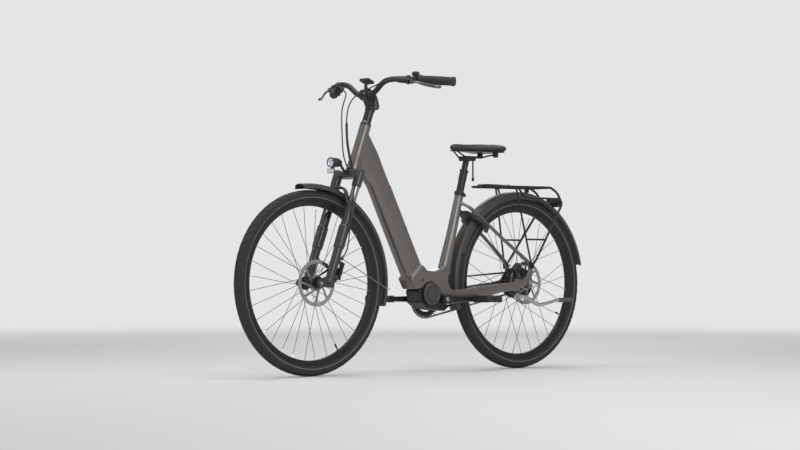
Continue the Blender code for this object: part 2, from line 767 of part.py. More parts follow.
# Motor and its covers
def shell_outline(inset):
    """Side outline of the housing that the frame makes round the motor, drawn in towards its middle."""
    x, z = BRACKET.x, BRACKET.z
    return [
        (x + 0.165 - inset, z + 0.082),
        (x + 0.140 - inset, z + 0.040),
        (x + 0.098, z + 0.046),
        (x + 0.023, z + 0.052),
        (x - 0.006, z + 0.016),
        (x - 0.014, z - 0.016),
        (x - 0.080 + inset * 0.2, z - 0.021),
        (x - YOKE_REACH + inset * 0.2, z - 0.006),
        (x - YOKE_REACH + inset * 0.2, z + 0.034 - inset * 0.5),
        (x - 0.062 + inset * 0.6, z + 0.046 - inset * 0.6),
        (x - 0.050 + inset, z + 0.080 - inset),
        (x - 0.052 + inset, z + 0.112 - inset),
        (x - 0.040 + inset, z + 0.128 - inset * 1.3),
        (x + 0.020, z + 0.116 - inset),
        (x + 0.070, z + 0.120 - inset),
        (x + 0.105 - inset, z + 0.145 - inset),
    ]


def motor_outline(grow):
    """Side outline of the motor, swelled by a clearance where it meets the housing."""
    x, z = BRACKET.x, BRACKET.z
    return [
        (x + 0.118 + grow, z + 0.030 + grow),
        (x + 0.098 + grow, z + 0.062 + grow),
        (x + 0.050, z + 0.080 + grow),
        (x - 0.012 - grow * 0.5, z + 0.078 + grow),
        (x - 0.034 - grow, z + 0.058 + grow * 0.5),
        (x - 0.040 - grow, z + 0.010),
        (x - 0.036 - grow, z - 0.026 - grow),
        (x - 0.018, z - 0.0445 - grow),
        (x + 0.070, z - 0.034 - grow),
        (x + 0.105 + grow, z - 0.010 - grow),
    ]


def motor_half_width():
    return SHELL_HALF_WIDTH - 0.0045


def motor(carrier, material):
    half = motor_half_width()
    body = plate(motor_outline(0.0), -half, half)
    boss = rod(BRACKET - Y_AXIS * (half + 0.003), BRACKET + Y_AXIS * (SHELL_HALF_WIDTH + 0.012), 0.0175, 14)
    disc = disc_centre()
    seat = rod(disc + Y_AXIS * (half - 0.01), disc + Y_AXIS * (SHELL_HALF_WIDTH + 0.001), 0.036, 14)
    past = Y_AXIS * (SHELL_HALF_WIDTH + 0.03)
    bore = rod(BRACKET - past, BRACKET + past, across_flats(CRANK_AXLE_RADIUS + SEAT_GAP, 12), 12)
    build("motor", [body, boss, seat], material, carrier, [bore])


def disc_centre():
    return BRACKET + Vector((0.056, 0.0, 0.021))


def motor_disc(carrier, material):
    """Round cover on the motor's left face, with a raised rim and a dished middle."""
    inner = SHELL_HALF_WIDTH + 0.001 + SEAT_GAP
    profile = [(inner, 0.034), (inner, DISC_RADIUS - 0.003), (inner + 0.004, DISC_RADIUS)]
    profile += [(inner + 0.012, DISC_RADIUS - 0.003), (inner + 0.014, DISC_RADIUS - 0.008)]
    profile += [(inner + 0.0105, 0.0300), (inner + 0.0105, 0.0285), (inner + 0.0135, 0.0265)]
    crank_room = rod(BRACKET, BRACKET + Y_AXIS * 0.1, 0.0205, 14)
    cover = revolve(profile, disc_centre(), Y_AXIS, 20)
    build("motor_disc", [cover], material, carrier, [crank_room])


def skid_guard(carrier, material):
    """Bent tray that covers the underside of the motor."""
    x, z = BRACKET.x, BRACKET.z
    upper = [(0.106, -0.0108), (0.0702, -0.0345), (-0.0178, -0.0450), (-0.038, -0.0300), (-0.072, -0.0225)]
    wall = 0.0022
    lower = [(0.108, -0.0140), (0.0710, -0.0378), (-0.0185, -0.0484), (-0.040, -0.0330), (-0.073, -0.0250)]
    outline = [(x + a, z + b) for a, b in upper] + [(x + a, z + b) for a, b in reversed(lower)]
    half = SHELL_HALF_WIDTH - 0.0015
    tray = plate(outline, -half, half)
    lips = []
    for _, side in SIDES:
        edge = side * (half - wall / 2)
        lip = [(x + a, z + b - 0.001) for a, b in upper[:3]]
        lip += [(x + a, z + b + 0.007) for a, b in reversed(upper[:3])]
        lips.append(plate(lip, edge - wall / 2, edge + wall / 2))
    build("skid_guard", [tray, *lips], material, carrier)


# Frame
def down_tube_line():
    """Lower end, upper end and direction of the down tube's straight centre line."""
    low = BRACKET + Vector((0.126, 0.0, 0.1125))
    high = fork_point(FORK_LENGTH) + Vector((-0.1045, 0.0, -0.0055))
    return low, high, (high - low).normalized()


def tube_section(rear, front, half_width, count=16):
    """A section between a rear and a front point, narrower towards the front."""
    middle = (rear + front) / 2
    run = (front - rear) / 2
    points = rounded(middle, Y_AXIS, run.normalized(), half_width, run.length, count, 3.4)
    for point in points:
        share = (point - middle).dot(run) / run.length_squared
        point.y *= 1.0 - 0.20 * (share + 1.0) / 2
    return points


def down_tube():
    low, high, along = down_tube_line()
    square = Vector((along.z, 0.0, -along.x)) * (TUBE_DEPTH / 2)
    half = TUBE_WIDTH / 2
    sections = []
    for share, width in ((-0.10, 0.94), (0.0, 1.0), (0.5, 1.0), (0.90, 0.90)):
        centre = low + (high - low) * share
        sections.append(tube_section(centre - square, centre + square, half * width))
    top = fork_point(HEAD_TOP)
    foot = fork_point(FORK_LENGTH)
    neck = ((-0.050, -0.100, -0.060, -0.040, 0.76), (-0.022, -0.052, -0.034, -0.013, 0.62))
    for rear_x, rear_z, front_x, front_z, width in (*neck, (0.002, -0.012, -0.016, 0.003, 0.48)):
        rear = top + Vector((rear_x, 0.0, rear_z))
        front = foot + Vector((front_x, 0.0, front_z))
        sections.append(tube_section(rear, front, half * width))
    return loft(sections)


def cover_strip(grow, lift):
    """The strip over the battery bay, as the cover itself or, swelled, as its recess."""
    low, high, along = down_tube_line()
    square = Vector((along.z, 0.0, -along.x))
    length = (high - low).length
    half_depth = TUBE_DEPTH / 2
    half_width = TUBE_WIDTH / 2
    reach = 0.66 * half_width + grow
    sides = (-reach, -0.45 * reach, 0.45 * reach, reach)
    sections = []
    for distance in (0.030 * length - grow, 0.83 * length + grow):
        centre = low + along * distance
        outer = []
        inner = []
        for side in sides:
            height = half_depth * (1 - abs(side / half_width) ** 3.4) ** (1 / 3.4)
            outer.append(centre - square * (height + lift) + Y_AXIS * side)
            inner.append(centre - square * (height - 0.0030 - grow) + Y_AXIS * side)
        sections.append(outer + inner[::-1])
    return loft(sections)


def battery_cover(carrier, material):
    build("battery_cover", [cover_strip(0.0, 0.0)], material, carrier)


def head_tube():
    foot = fork_point(FORK_LENGTH)
    profile = [(0.0, HEAD_RADIUS_LOW), (0.018, HEAD_RADIUS_LOW), (0.060, HEAD_RADIUS_HIGH + 0.001)]
    profile.append((HEAD_LENGTH, HEAD_RADIUS_HIGH))
    return revolve(profile, foot, STEER_UP, HEAD_SIDES)


def seat_tube():
    sections = []
    steps = ((0.085, 0.0300, 0.0240), (0.150, 0.0275, 0.0225), (0.260, 0.0205, 0.0195))
    for up, half_ahead, half_side in (*steps, (SEAT_TUBE_LENGTH, SEAT_TUBE_RADIUS, SEAT_TUBE_RADIUS)):
        sections.append(rounded(seat_point(up), SEAT_AHEAD, Y_AXIS, half_ahead, half_side, POST_SIDES, 2.2))
    return loft(sections)


def motor_shell():
    half = SHELL_HALF_WIDTH
    sections = []
    for side, inset in ((-half, 0.014), (-half + 0.006, 0.005), (-half + 0.020, 0.0)):
        sections.append([Vector((x, side, z)) for x, z in shell_outline(inset)])
    for side, inset in ((half - 0.020, 0.0), (half - 0.006, 0.005), (half, 0.014)):
        sections.append([Vector((x, side, z)) for x, z in shell_outline(inset)])
    return loft(sections)


def stay_route():
    """Centre line of one rear stay: back along the chainstay, round the dropout and up the seatstay.

    Each step gives a point, its distance from the middle plane, and the half width and half height.
    """
    x, z = BRACKET.x, BRACKET.z
    level = AXLE_HEIGHT
    top = seat_point(SEAT_TUBE_LENGTH - 0.031)
    spread = DROPOUT_SIDE
    high = TYRE_RADIUS + 0.022
    return [
        (x - 0.070, z + 0.008, 0.0365, 0.0075, 0.026),
        (x - 0.094, z + 0.010, 0.0385, 0.0070, 0.030),
        (x - 0.147, z + 0.0145, 0.0450, 0.0085, 0.030),
        (x * 0.55, level - 0.040, spread - 0.0145, 0.0090, 0.027),
        (x * 0.36, level - 0.023, spread - 0.0065, 0.0090, 0.019),
        (0.090, level - 0.015, spread - 0.0025, 0.0085, 0.0185),
        (0.035, level - 0.004, spread - 0.0005, 0.0080, 0.018),
        (0.002, level + 0.017, spread + 0.0005, 0.0075, 0.0165),
        (-0.012, level + 0.046, spread + 0.0010, 0.0072, 0.013),
        (-0.010, level + 0.072, spread + 0.0005, 0.0068, 0.010),
        (0.010, level + 0.095, spread - 0.0015, 0.0068, 0.0075),
        (high * 0.376, level + high * 0.500, 0.0500, STAY_RADIUS, STAY_RADIUS),
        (high * 0.690, level + high * 0.7265, 0.0425, STAY_RADIUS, STAY_RADIUS),
        (top.x - 0.030, top.z - 0.018, 0.0370, STAY_RADIUS, STAY_RADIUS),
        (top.x + 0.004, top.z + 0.004, 0.0080, STAY_RADIUS, STAY_RADIUS),
    ]


def rear_stay(side):
    route = stay_route()
    middles = [Vector((x, side * y, z)) for x, z, y, _, _ in route]
    sections = []
    for i, (_, _, _, half_width, half_height) in enumerate(route):
        run = middles[min(i + 1, len(route) - 1)] - middles[max(i - 1, 0)]
        run.y = 0.0
        run.normalize()
        upright = Vector((-run.z, 0.0, run.x))
        sections.append(rounded(middles[i], Y_AXIS, upright, half_width, half_height, 8, 2.8))
    return loft(sections)


def dropout(side):
    inner = side * DROPOUT_SIDE
    outer = side * (DROPOUT_SIDE + DROPOUT_THICKNESS)
    return rod(REAR_AXLE + Y_AXIS * inner, REAR_AXLE + Y_AXIS * outer, 0.0165, 12)


def dropout_pocket(side):
    """Room inside the stay for the end of the hub."""
    return rod(REAR_AXLE + Y_AXIS * (side * 0.03), REAR_AXLE + Y_AXIS * (side * DROPOUT_SIDE), 0.0150, 12)


def caliper_boss_top():
    return AXLE_HEIGHT + 0.0160


def stand_boss_low():
    return AXLE_HEIGHT - 0.0350


def main_frame(carrier, material):
    spread = DROPOUT_SIDE
    caliper_boss = block((0.060, spread - 0.0025, caliper_boss_top() - 0.010), (0.030, 0.013, 0.020))
    stand_boss = block((0.075, spread - 0.0015, stand_boss_low() + 0.010), (0.040, 0.015, 0.020))
    hose_port = rod(hose_port_foot(), hose_port_mouth(), 0.0060, 8)
    shapes = [down_tube(), head_tube(), seat_tube(), motor_shell()]
    shapes += mirror_shape(rear_stay) + mirror_shape(dropout)
    cable_boss = block(seat_point(0.1105, -0.0215), (0.022, 0.030, 0.020))
    shapes += [caliper_boss, stand_boss, hose_port, cable_boss]
    below_head = fork_point(FORK_LENGTH - 0.01)
    wide = across_flats(STEERER_RADIUS + 0.0012, 12)
    steerer_room = rod(below_head, fork_point(HEAD_TOP + 0.01), wide, 12)
    wide = across_flats(POST_RADIUS + SEAT_GAP, POST_SIDES)
    post_room = rod(seat_point(0.150), seat_point(SEAT_TUBE_LENGTH + 0.02), wide, POST_SIDES)
    half = motor_half_width()
    motor_bay = plate(motor_outline(2 * SEAT_GAP), -half - SEAT_GAP, half + SEAT_GAP)
    boss_room = rod(BRACKET - Y_AXIS * 0.07, BRACKET + Y_AXIS * 0.07, 0.0195, 14)
    disc = disc_centre()
    disc_room = rod(disc + Y_AXIS * (half + 0.0001), disc + Y_AXIS * 0.07, DISC_RADIUS + 0.003, 20)
    past = Y_AXIS * (DROPOUT_SIDE + 0.03)
    axle_room = rod(REAR_AXLE - past, REAR_AXLE + past, across_flats(REAR_AXLE_RADIUS + SEAT_GAP, 12), 12)
    cutters = [steerer_room, post_room, motor_bay, boss_room, disc_room, axle_room]
    cutters += mirror_shape(dropout_pocket) + [cover_strip(SEAT_GAP, 0.004)]
    build("main_frame", shapes, material, carrier, cutters)


def hose_port_foot():
    return fork_point(FORK_LENGTH + 0.012, -0.052, -0.016)


def hose_port_mouth():
    return fork_point(FORK_LENGTH + 0.008, -0.034, -0.032)


def headset_rings(carrier, material):
    """The bearing covers at both ends of the head tube, round the steerer."""
    bore = across_flats(STEERER_RADIUS + STEERER_ROOM, HEAD_SIDES)
    low = FORK_LENGTH - SEAT_GAP
    tall = HEADSET_HEIGHT
    profile = [(0.0, bore), (0.0, HEAD_RADIUS_LOW), (-tall, HEAD_RADIUS_LOW), (-tall, bore)]
    ring = revolve(profile, fork_point(low), STEER_UP, HEAD_SIDES, closed=True)
    build("lower_headset", [ring], material, carrier)
    profile = [(0.0, bore), (0.0, HEAD_RADIUS_HIGH), (tall, HEAD_RADIUS_HIGH)]
    profile += [(UPPER_HEADSET_HEIGHT, 0.0185), (UPPER_HEADSET_HEIGHT, bore)]
    ring = revolve(profile, fork_point(HEAD_TOP + SEAT_GAP), STEER_UP, HEAD_SIDES, closed=True)
    build("upper_headset", [ring], material, carrier)


# Fork and steering
def crown_top():
    return FORK_LENGTH - HEADSET_HEIGHT - 2 * SEAT_GAP


def fork_crown(carrier, material):
    """Steerer, crown and stanchions, which are pressed together on the real fork."""
    top = crown_top()
    steerer = rod(fork_point(top - 0.02), fork_point(HEAD_TOP + 0.100), STEERER_RADIUS, 12)
    race_profile = [(-0.004, HEAD_RADIUS_LOW + 0.001), (0.0, HEAD_RADIUS_LOW - 0.001)]
    race = revolve(race_profile, fork_point(top), STEER_UP, HEAD_SIDES)
    sections = []
    end = LEG_SIDE - 0.003
    steps = ((-end, LEG_AHEAD, 0.0330, 0.016), (-0.030, 0.004, 0.0300, 0.021))
    steps += ((0.030, 0.004, 0.0300, 0.021), (end, LEG_AHEAD, 0.0330, 0.016))
    for side, ahead, low, depth in steps:
        tall = (low - 0.003) / 2
        centre = fork_point(top - 0.003 - tall, ahead, side)
        sections.append(rounded(centre, STEER_AHEAD, STEER_UP, depth, tall, 10, 3.0))
    bridge = loft(sections)
    legs = []
    for _, side in SIDES:
        y = side * LEG_SIDE
        socket = [(0.0, 0.0165), (0.004, 0.0192), (0.064, 0.0192), (0.069, 0.0170)]
        legs.append(revolve(socket, fork_point(top - 0.072, LEG_AHEAD, y), STEER_UP, LEG_SIDES))
        low = fork_point(FORK_LENGTH - STANCHION_LENGTH, LEG_AHEAD, y)
        legs.append(rod(low, fork_point(top - 0.02, LEG_AHEAD, y), STANCHION_RADIUS, LEG_SIDES))
    build("fork_crown", [bridge, steerer, race, *legs], material, carrier)


def lower_leg(side):
    y = side * LEG_SIDE
    top = FORK_LENGTH - LOWERS_DROP
    profile = [
        (0.0120, LEG_RADIUS * 0.86),
        (top - 0.187, LEG_RADIUS * 0.98),
        (top - 0.185, LEG_RADIUS * 1.19),
        (top - 0.099, LEG_RADIUS * 1.22),
        (top - 0.096, LEG_RADIUS),
        (top - 0.012, LEG_RADIUS * 1.04),
        (top - 0.010, LEG_RADIUS * 1.15),
        (top, LEG_RADIUS * 1.15),
    ]
    return revolve(profile, fork_point(0.0, LEG_AHEAD, y), STEER_UP, LEG_SIDES)


def fork_dropout(side):
    """A tapered tab that carries the axle ahead of the leg."""
    inner = side * (FRONT_HUB_WIDTH / 2)
    outer = side * (LEG_SIDE + 0.0045)
    sections = []
    for y in (inner, outer):
        outline = [(-0.017, 0.004), (-0.014, 0.034), (0.004, 0.044), (0.020, 0.040)]
        outline += [(FORK_RAKE + 0.012, 0.011), (FORK_RAKE + 0.013, -0.006), (FORK_RAKE + 0.004, -0.013)]
        outline += [(FORK_RAKE - 0.010, -0.012)]
        sections.append([fork_point(up, ahead, y) for ahead, up in outline])
    return loft(sections)


def fork_arch():
    """The brace that joins both lowers over the guard."""
    top = GUARD_RADIUS + 0.0105
    half = [(LEG_SIDE - 0.003, FORK_LENGTH - LOWERS_DROP - 0.014, 0.020)]
    half += [(LEG_SIDE - 0.010, top - 0.030, 0.036), (0.040, top - 0.006, 0.043), (0.020, top, 0.0455)]
    route = half + [(-y, up, ahead) for y, up, ahead in reversed(half)]
    sections = []
    for y, up, ahead in route:
        upright = STEER_UP if abs(y) < 0.045 else STEER_UP * 0.35 + Y_AXIS * (0.94 if y > 0 else -0.94)
        spot = fork_point(up, ahead, y)
        sections.append(rounded(spot, upright.normalized(), STEER_AHEAD, 0.0055, 0.009, 8, 3.0))
    return loft(sections)


def front_caliper_place():
    return fork_point(0.062, -0.0235, FRONT_ROTOR_SIDE + 0.0018)


def fork_lowers(carrier, material):
    shapes = [lower_leg(1), lower_leg(-1), fork_arch(), fork_dropout(1), fork_dropout(-1)]
    seats = []
    for up in CALIPER_BOLTS:
        seats.append(block_on_fork(up, -0.012, LEG_SIDE - 0.006, (0.030, 0.012, 0.014)))
    eyelets = []
    for _, side in SIDES:
        eyelets.append(block_on_fork(EYELET_HEIGHT, -0.008, side * EYELET_SIDE, (0.018, 0.016, 0.010)))
    cutters = []
    for _, side in SIDES:
        depth = STANCHION_LENGTH + FORK_TRAVEL + 0.006
        low = fork_point(FORK_LENGTH - depth, LEG_AHEAD, side * LEG_SIDE)
        high = fork_point(FORK_LENGTH - 0.100, LEG_AHEAD, side * LEG_SIDE)
        cutters.append(rod(low, high, across_flats(STANCHION_RADIUS + SEAT_GAP, LEG_SIDES), LEG_SIDES))
    past = Y_AXIS * (LEG_SIDE + 0.035)
    wide = across_flats(FRONT_AXLE_RADIUS + SEAT_GAP, 12)
    cutters.append(rod(FRONT_AXLE - past, FRONT_AXLE + past, wide, 12))
    cutters.append(rod(FRONT_AXLE - Y_AXIS * (LEG_SIDE + 0.0048), FRONT_AXLE - past, 0.0110, 12))
    build("fork_lowers", shapes + seats + eyelets, material, carrier, cutters)


def fork_matrix():
    """Rotation that lays a box's X ahead of, and its Z along, the steering axis."""
    return Matrix.Rotation(-HEAD_TILT, 4, "Y")


def block_on_fork(up, ahead, side, size):
    return block(fork_point(up, ahead, side), size, fork_matrix())


def caliper_body(centre, axle, side, size, turn):
    """A two-sided caliper round a disc, with a slot that clears it."""
    body = soft_block(centre, size, 0.004, turn)
    half_slot = ROTOR_THICKNESS / 2 + 0.0005
    level = Y_AXIS * side
    reach = Y_AXIS * half_slot
    slot = rod(axle + level - reach, axle + level + reach, ROTOR_RADIUS + 0.0015, 32)
    pistons = []
    for way in (1, -1):
        start = centre + Y_AXIS * (way * (size[1] / 2 - 0.003))
        pistons.append(rod(start, start + Y_AXIS * (way * 0.005), 0.010, 12))
    return body, pistons, slot


def front_caliper(carrier, material):
    centre = front_caliper_place()
    size = (0.028, 0.0215, 0.056)
    body, pistons, slot = caliper_body(centre, FRONT_AXLE, FRONT_ROTOR_SIDE, size, fork_matrix())
    lugs = []
    face = -0.027 - SEAT_GAP
    for up in CALIPER_BOLTS:
        lugs.append(block_on_fork(up, face - 0.0065, LEG_SIDE - 0.006, (0.013, 0.011, 0.012)))
    bridge = block_on_fork(sum(CALIPER_BOLTS) / 2, face - 0.0065, LEG_SIDE - 0.0078, (0.013, 0.0145, 0.070))
    build("front_caliper", [body, pistons[1], *lugs, bridge], material, carrier, [slot])


def rear_caliper(carrier, material):
    lean = radians(46)
    centre = around(REAR_AXLE, ROTOR_RADIUS - 0.009, lean, REAR_ROTOR_SIDE + 0.002)
    turn = Matrix.Rotation(-lean, 4, "Y")
    body, pistons, slot = caliper_body(centre, REAR_AXLE, REAR_ROTOR_SIDE, (0.034, 0.026, 0.046), turn)
    low = caliper_boss_top() + SEAT_GAP
    foot = block((0.060, DROPOUT_SIDE - 0.0025, low + 0.004), (0.028, 0.012, 0.008))
    side = DROPOUT_SIDE - 0.0045
    web_top = Vector((centre.x - 0.002, side - 0.0015, centre.z - 0.010))
    web = tube([Vector((0.060, side, low + 0.004)), Vector((0.060, side, low + 0.016)), web_top], 0.0062, 8)
    build("rear_caliper", [body, *pistons, foot, web], material, carrier, [slot])


def stem_clamp():
    """Centre of the bar clamp."""
    return fork_point(HEAD_TOP + 0.1145, 0.0394)


def stem(carrier, material):
    """Spacers, steerer clamp, arm with a teardrop side and the bar clamp."""
    low = HEAD_TOP + UPPER_HEADSET_HEIGHT + 2 * SEAT_GAP
    profile = [(0.0, 0.0180), (0.046, 0.0180), (0.047, 0.0205), (0.092, 0.0195), (0.096, 0.0150)]
    spacers = revolve(profile, fork_point(low), STEER_UP, HEAD_SIDES)
    base = fork_point(HEAD_TOP + 0.083, -0.003)
    clamp = stem_clamp()
    run = clamp - base
    sections = []
    for share, half_width, tall in ((0.0, 0.0205, 0.0230), (0.55, 0.0200, 0.0190), (1.0, 0.0215, 0.0170)):
        sections.append(rounded(base + run * share, Y_AXIS, square_up(run), half_width, tall, 12, 3.0))
    arm = loft(sections)
    barrel = rod(clamp - Y_AXIS * 0.0225, clamp + Y_AXIS * 0.0225, BAR_CLAMP_RADIUS + STEM_WALL, 14)
    past = Y_AXIS * 0.05
    wide = across_flats(BAR_CLAMP_RADIUS + SEAT_GAP, BAR_SIDES)
    bar_room = rod(clamp - past, clamp + past, wide, BAR_SIDES)
    wide = across_flats(STEERER_RADIUS + SEAT_GAP, 12)
    steerer_room = rod(fork_point(low - 0.01), fork_point(HEAD_TOP + 0.1005), wide, 12)
    slots = []
    for k in (0.20, 0.42):
        place = base + run * k
        turn = Matrix.Rotation(-atan2(run.z, run.x), 4, "Y")
        for _, side in SIDES:
            slots.append(block(place + Y_AXIS * (side * 0.0225), (0.0045, 0.008, 0.013), turn))
    build("stem", [arm, spacers, barrel], material, carrier, [bar_room, steerer_room, *slots])


def square_up(run):
    """The unit vector in the bicycle's middle plane that is square to a run, pointing up."""
    return Vector((-run.z, 0.0, run.x)).normalized()


def grip_line(side):
    """Inner and outer end of one grip."""
    clamp = stem_clamp()
    outer = Vector((clamp.x - 0.139, side * BAR_HALF_WIDTH, clamp.z + BAR_RISE - 0.015))
    run = Vector((sin(GRIP_SWEEP), -side * cos(GRIP_SWEEP), 0.083)).normalized()
    return outer + run * GRIP_LENGTH, outer


def bar_point(side, distance):
    """A point of the bar's straight end, measured inwards from the grip's inner end."""
    inner, outer = grip_line(side)
    return inner + (inner - outer).normalized() * distance


def bar_half(side):
    clamp = stem_clamp()
    inner, outer = grip_line(side)
    bend = bar_point(side, 0.070)
    knee = clamp + Vector((0.001, side * 0.105, BAR_RISE - 0.006))
    shoulder = clamp + Vector((0.0025, side * 0.145, BAR_RISE + 0.001))
    low = clamp + Vector((0.0, side * 0.036, 0.0))
    dip = clamp + Vector((0.0015, side * 0.058, 0.010))
    end = outer + (inner - outer).normalized() * 0.006
    return [low, dip, knee, shoulder, bend, inner, end]


def handlebar(carrier, material):
    right = bar_half(-1)[::-1]
    left = bar_half(1)
    clamp = stem_clamp()
    route = right + [clamp - Y_AXIS * 0.026, clamp + Y_AXIS * 0.026] + left
    radii = [BAR_RADIUS] * len(right) + [BAR_CLAMP_RADIUS] * 2 + [BAR_RADIUS] * len(left)
    build("handlebar", [tube(route, radii, BAR_SIDES)], material, carrier)


def grip(name, side, carrier, material, start):
    """A sleeve with a flange at each end, closed over the end of the bar."""
    inner, outer = grip_line(side)
    run = (outer - inner).normalized()
    length = (outer - inner).length
    profile = [
        (start, 0.0182),
        (start + 0.010, 0.0185),
        (start + 0.012, GRIP_RADIUS * 0.96),
        (length * 0.55, GRIP_RADIUS * 1.06),
        (length - 0.014, GRIP_RADIUS),
        (length - 0.010, GRIP_RADIUS * 1.13),
        (length, GRIP_RADIUS * 1.04),
    ]
    sleeve = revolve(profile, inner, run, 12)
    wide = across_flats(BAR_RADIUS + SEAT_GAP, BAR_SIDES)
    bore = rod(inner - run * 0.01, outer - run * (0.006 - SEAT_GAP), wide, BAR_SIDES)
    build(name, [sleeve], material, carrier, [bore])


def along_bar(side):
    inner, outer = grip_line(side)
    return (outer - inner).normalized()


def ahead_of_bar(side):
    """The unit vector square to the bar's end, level and pointing forwards."""
    run = along_bar(side)
    return Vector((run.y * side, -run.x * side, 0.0)).normalized()


# Controls on the bar
def clamp_ring(side, distance, width, wall):
    """A clamp round the bar: its outer cylinder and its bore."""
    run = along_bar(side)
    middle = bar_point(side, distance)
    outer = rod(middle - run * (width / 2), middle + run * (width / 2), BAR_RADIUS + wall, BAR_SIDES)
    wide = across_flats(BAR_RADIUS + SEAT_GAP, BAR_SIDES)
    bore = rod(middle - run * width, middle + run * width, wide, BAR_SIDES)
    return outer, bore


def lever_pivot(side):
    """Where the brake lever turns, ahead of the bar."""
    return bar_point(side, 0.020) + ahead_of_bar(side) * 0.038 - Z_AXIS * 0.012


def master_line(side):
    """Hose end and lever end of the master cylinder's axis."""
    ahead = ahead_of_bar(side)
    start = bar_point(side, 0.088) + ahead * 0.027 - Z_AXIS * 0.008
    return start, bar_point(side, 0.028) + ahead * 0.032 - Z_AXIS * 0.010


def lever_mount(name, side, carrier, material):
    """Clamp, master cylinder and the forked housing that holds the lever's pivot."""
    run = along_bar(side)
    ahead = ahead_of_bar(side)
    outer, bore = clamp_ring(side, 0.044, 0.014, 0.0045)
    pivot = lever_pivot(side)
    start, end = master_line(side)
    barrel = tube([start, start + (end - start) * 0.15, end], [0.0070, 0.0100, 0.0110], 8)
    neck = bar_point(side, 0.044)
    web = tube([neck + ahead * 0.010, neck + ahead * 0.028 - Z_AXIS * 0.006], 0.0062, 6)
    housing = rod(pivot - Z_AXIS * 0.0085, pivot + Z_AXIS * 0.0085, 0.0098, 10)
    bridge = tube([end - run * 0.004, pivot], 0.0085, 6)
    slot = rod(pivot - Z_AXIS * 0.0041, pivot + Z_AXIS * 0.0041, 0.0135, 10)
    wedge = block(pivot + run * 0.012 + ahead * 0.010, (0.030, 0.030, 0.0082))
    pin = rod(pivot - Z_AXIS * 0.0080, pivot + Z_AXIS * 0.0080, LEVER_PIN_RADIUS, 6)
    thing = build(name, [outer, barrel, web, housing, bridge], material, carrier, [bore, slot, wedge])
    add_boolean(thing, "UNION", "pin", [pin], carrier, material)


def brake_lever(name, side, carrier, material):
    """A curved blade that turns on the pin of its mount."""
    run = along_bar(side)
    ahead = ahead_of_bar(side)
    pivot = lever_pivot(side)
    steps = ((0.000, 0.0000, 0.000, 0.0058), (0.018, 0.0085, -0.001, 0.0052))
    steps += ((0.040, 0.0150, -0.006, 0.0044), (0.075, 0.0190, -0.013, 0.0042))
    steps += ((0.108, 0.0225, -0.017, 0.0042), (0.120, 0.0270, -0.017, 0.0052))
    steps += ((0.126, 0.0300, -0.017, 0.0040),)
    middles = [pivot + run * along + ahead * out + Z_AXIS * rise for along, out, rise, _ in steps]
    sections = []
    for i, middle in enumerate(middles):
        heading = (middles[min(i + 1, len(middles) - 1)] - middles[max(i - 1, 0)]).normalized()
        across = heading.cross(Z_AXIS).normalized()
        half_tall = 0.0036 if i < 2 else 0.0058
        sections.append(rounded(middle, across, across.cross(heading), steps[i][3] * 0.75, half_tall, 6, 3.0))
    blade = loft(sections)
    eye = rod(pivot - Z_AXIS * 0.0036, pivot + Z_AXIS * 0.0036, 0.0082, 10)
    wide = across_flats(LEVER_PIN_RADIUS + SEAT_GAP, 8)
    bore = rod(pivot - Z_AXIS * 0.02, pivot + Z_AXIS * 0.02, wide, 8)
    build(name, [eye, blade], material, carrier, [bore])


def remote_place():
    """Middle of the remote's housing, above the bar at the left grip's inner end."""
    return bar_point(1, 0.014) + Z_AXIS * 0.0215 - ahead_of_bar(1) * 0.002


def bar_turn(side):
    """Rotation that lays a box's Y along the bar's end."""
    run = along_bar(side)
    return Matrix.Rotation(atan2(run.y * side, run.x * side) - pi / 2, 4, "Z")


def remote(carrier, material):
    outer, bore = clamp_ring(1, 0.014, 0.013, 0.0040)
    place = remote_place()
    body = soft_block(place, (0.030, 0.026, 0.018), 0.004, bar_turn(1))
    cutter = block(rocker_place(), (0.0088, 0.0178, 0.0122), bar_turn(1))
    build("remote", [outer, body], material, carrier, [bore, cutter])


def rocker_place():
    return remote_place() - ahead_of_bar(1) * 0.0135


def remote_rocker(carrier, material):
    body = soft_block(rocker_place(), (0.0070, 0.0160, 0.0100), 0.0015, bar_turn(1))
    build("remote_rocker", [body], material, carrier)


def shifter(carriers, materials):
    """Right-hand rotary shifter: a fixed housing and a ribbed ring beside the grip."""
    run = along_bar(-1)
    inner = grip_line(-1)[0]
    bore_radius = across_flats(BAR_RADIUS + SEAT_GAP, BAR_SIDES)
    start = inner - run * 0.012
    housing = revolve([(0.0, 0.0180), (0.003, 0.0230), (0.012, 0.0230)], start, run, 14)
    pod_centre = start + run * 0.0045 - Z_AXIS * 0.022 + ahead_of_bar(-1) * 0.006
    pod = block(pod_centre, (0.024, 0.008, 0.020), bar_turn(-1))
    bore = rod(start - run * 0.02, start + run * 0.04, bore_radius, BAR_SIDES)
    build("shifter_housing", [housing, pod], materials["plastic"], carriers["steering"], [bore])
    low = inner + run * SEAT_GAP
    rings = []
    ribs = 10
    for distance, radius in ((0.0, 0.0225), (0.026, 0.0215), (0.028, 0.0195)):
        first, second = square_to(run)
        points = []
        for i in range(2 * ribs):
            angle = pi * (i + 0.5) / ribs
            reach = radius * (1.0 if i % 2 else 0.93)
            rim_spot = first * (reach * cos(angle)) + second * (reach * sin(angle))
            points.append(low + run * distance + rim_spot)
        rings.append(points)
    room = rod(low - run * 0.01, low + run * 0.05, bore_radius, BAR_SIDES)
    build("shifter_ring", [loft(rings)], materials["grip"], carriers["shifter"], [room])


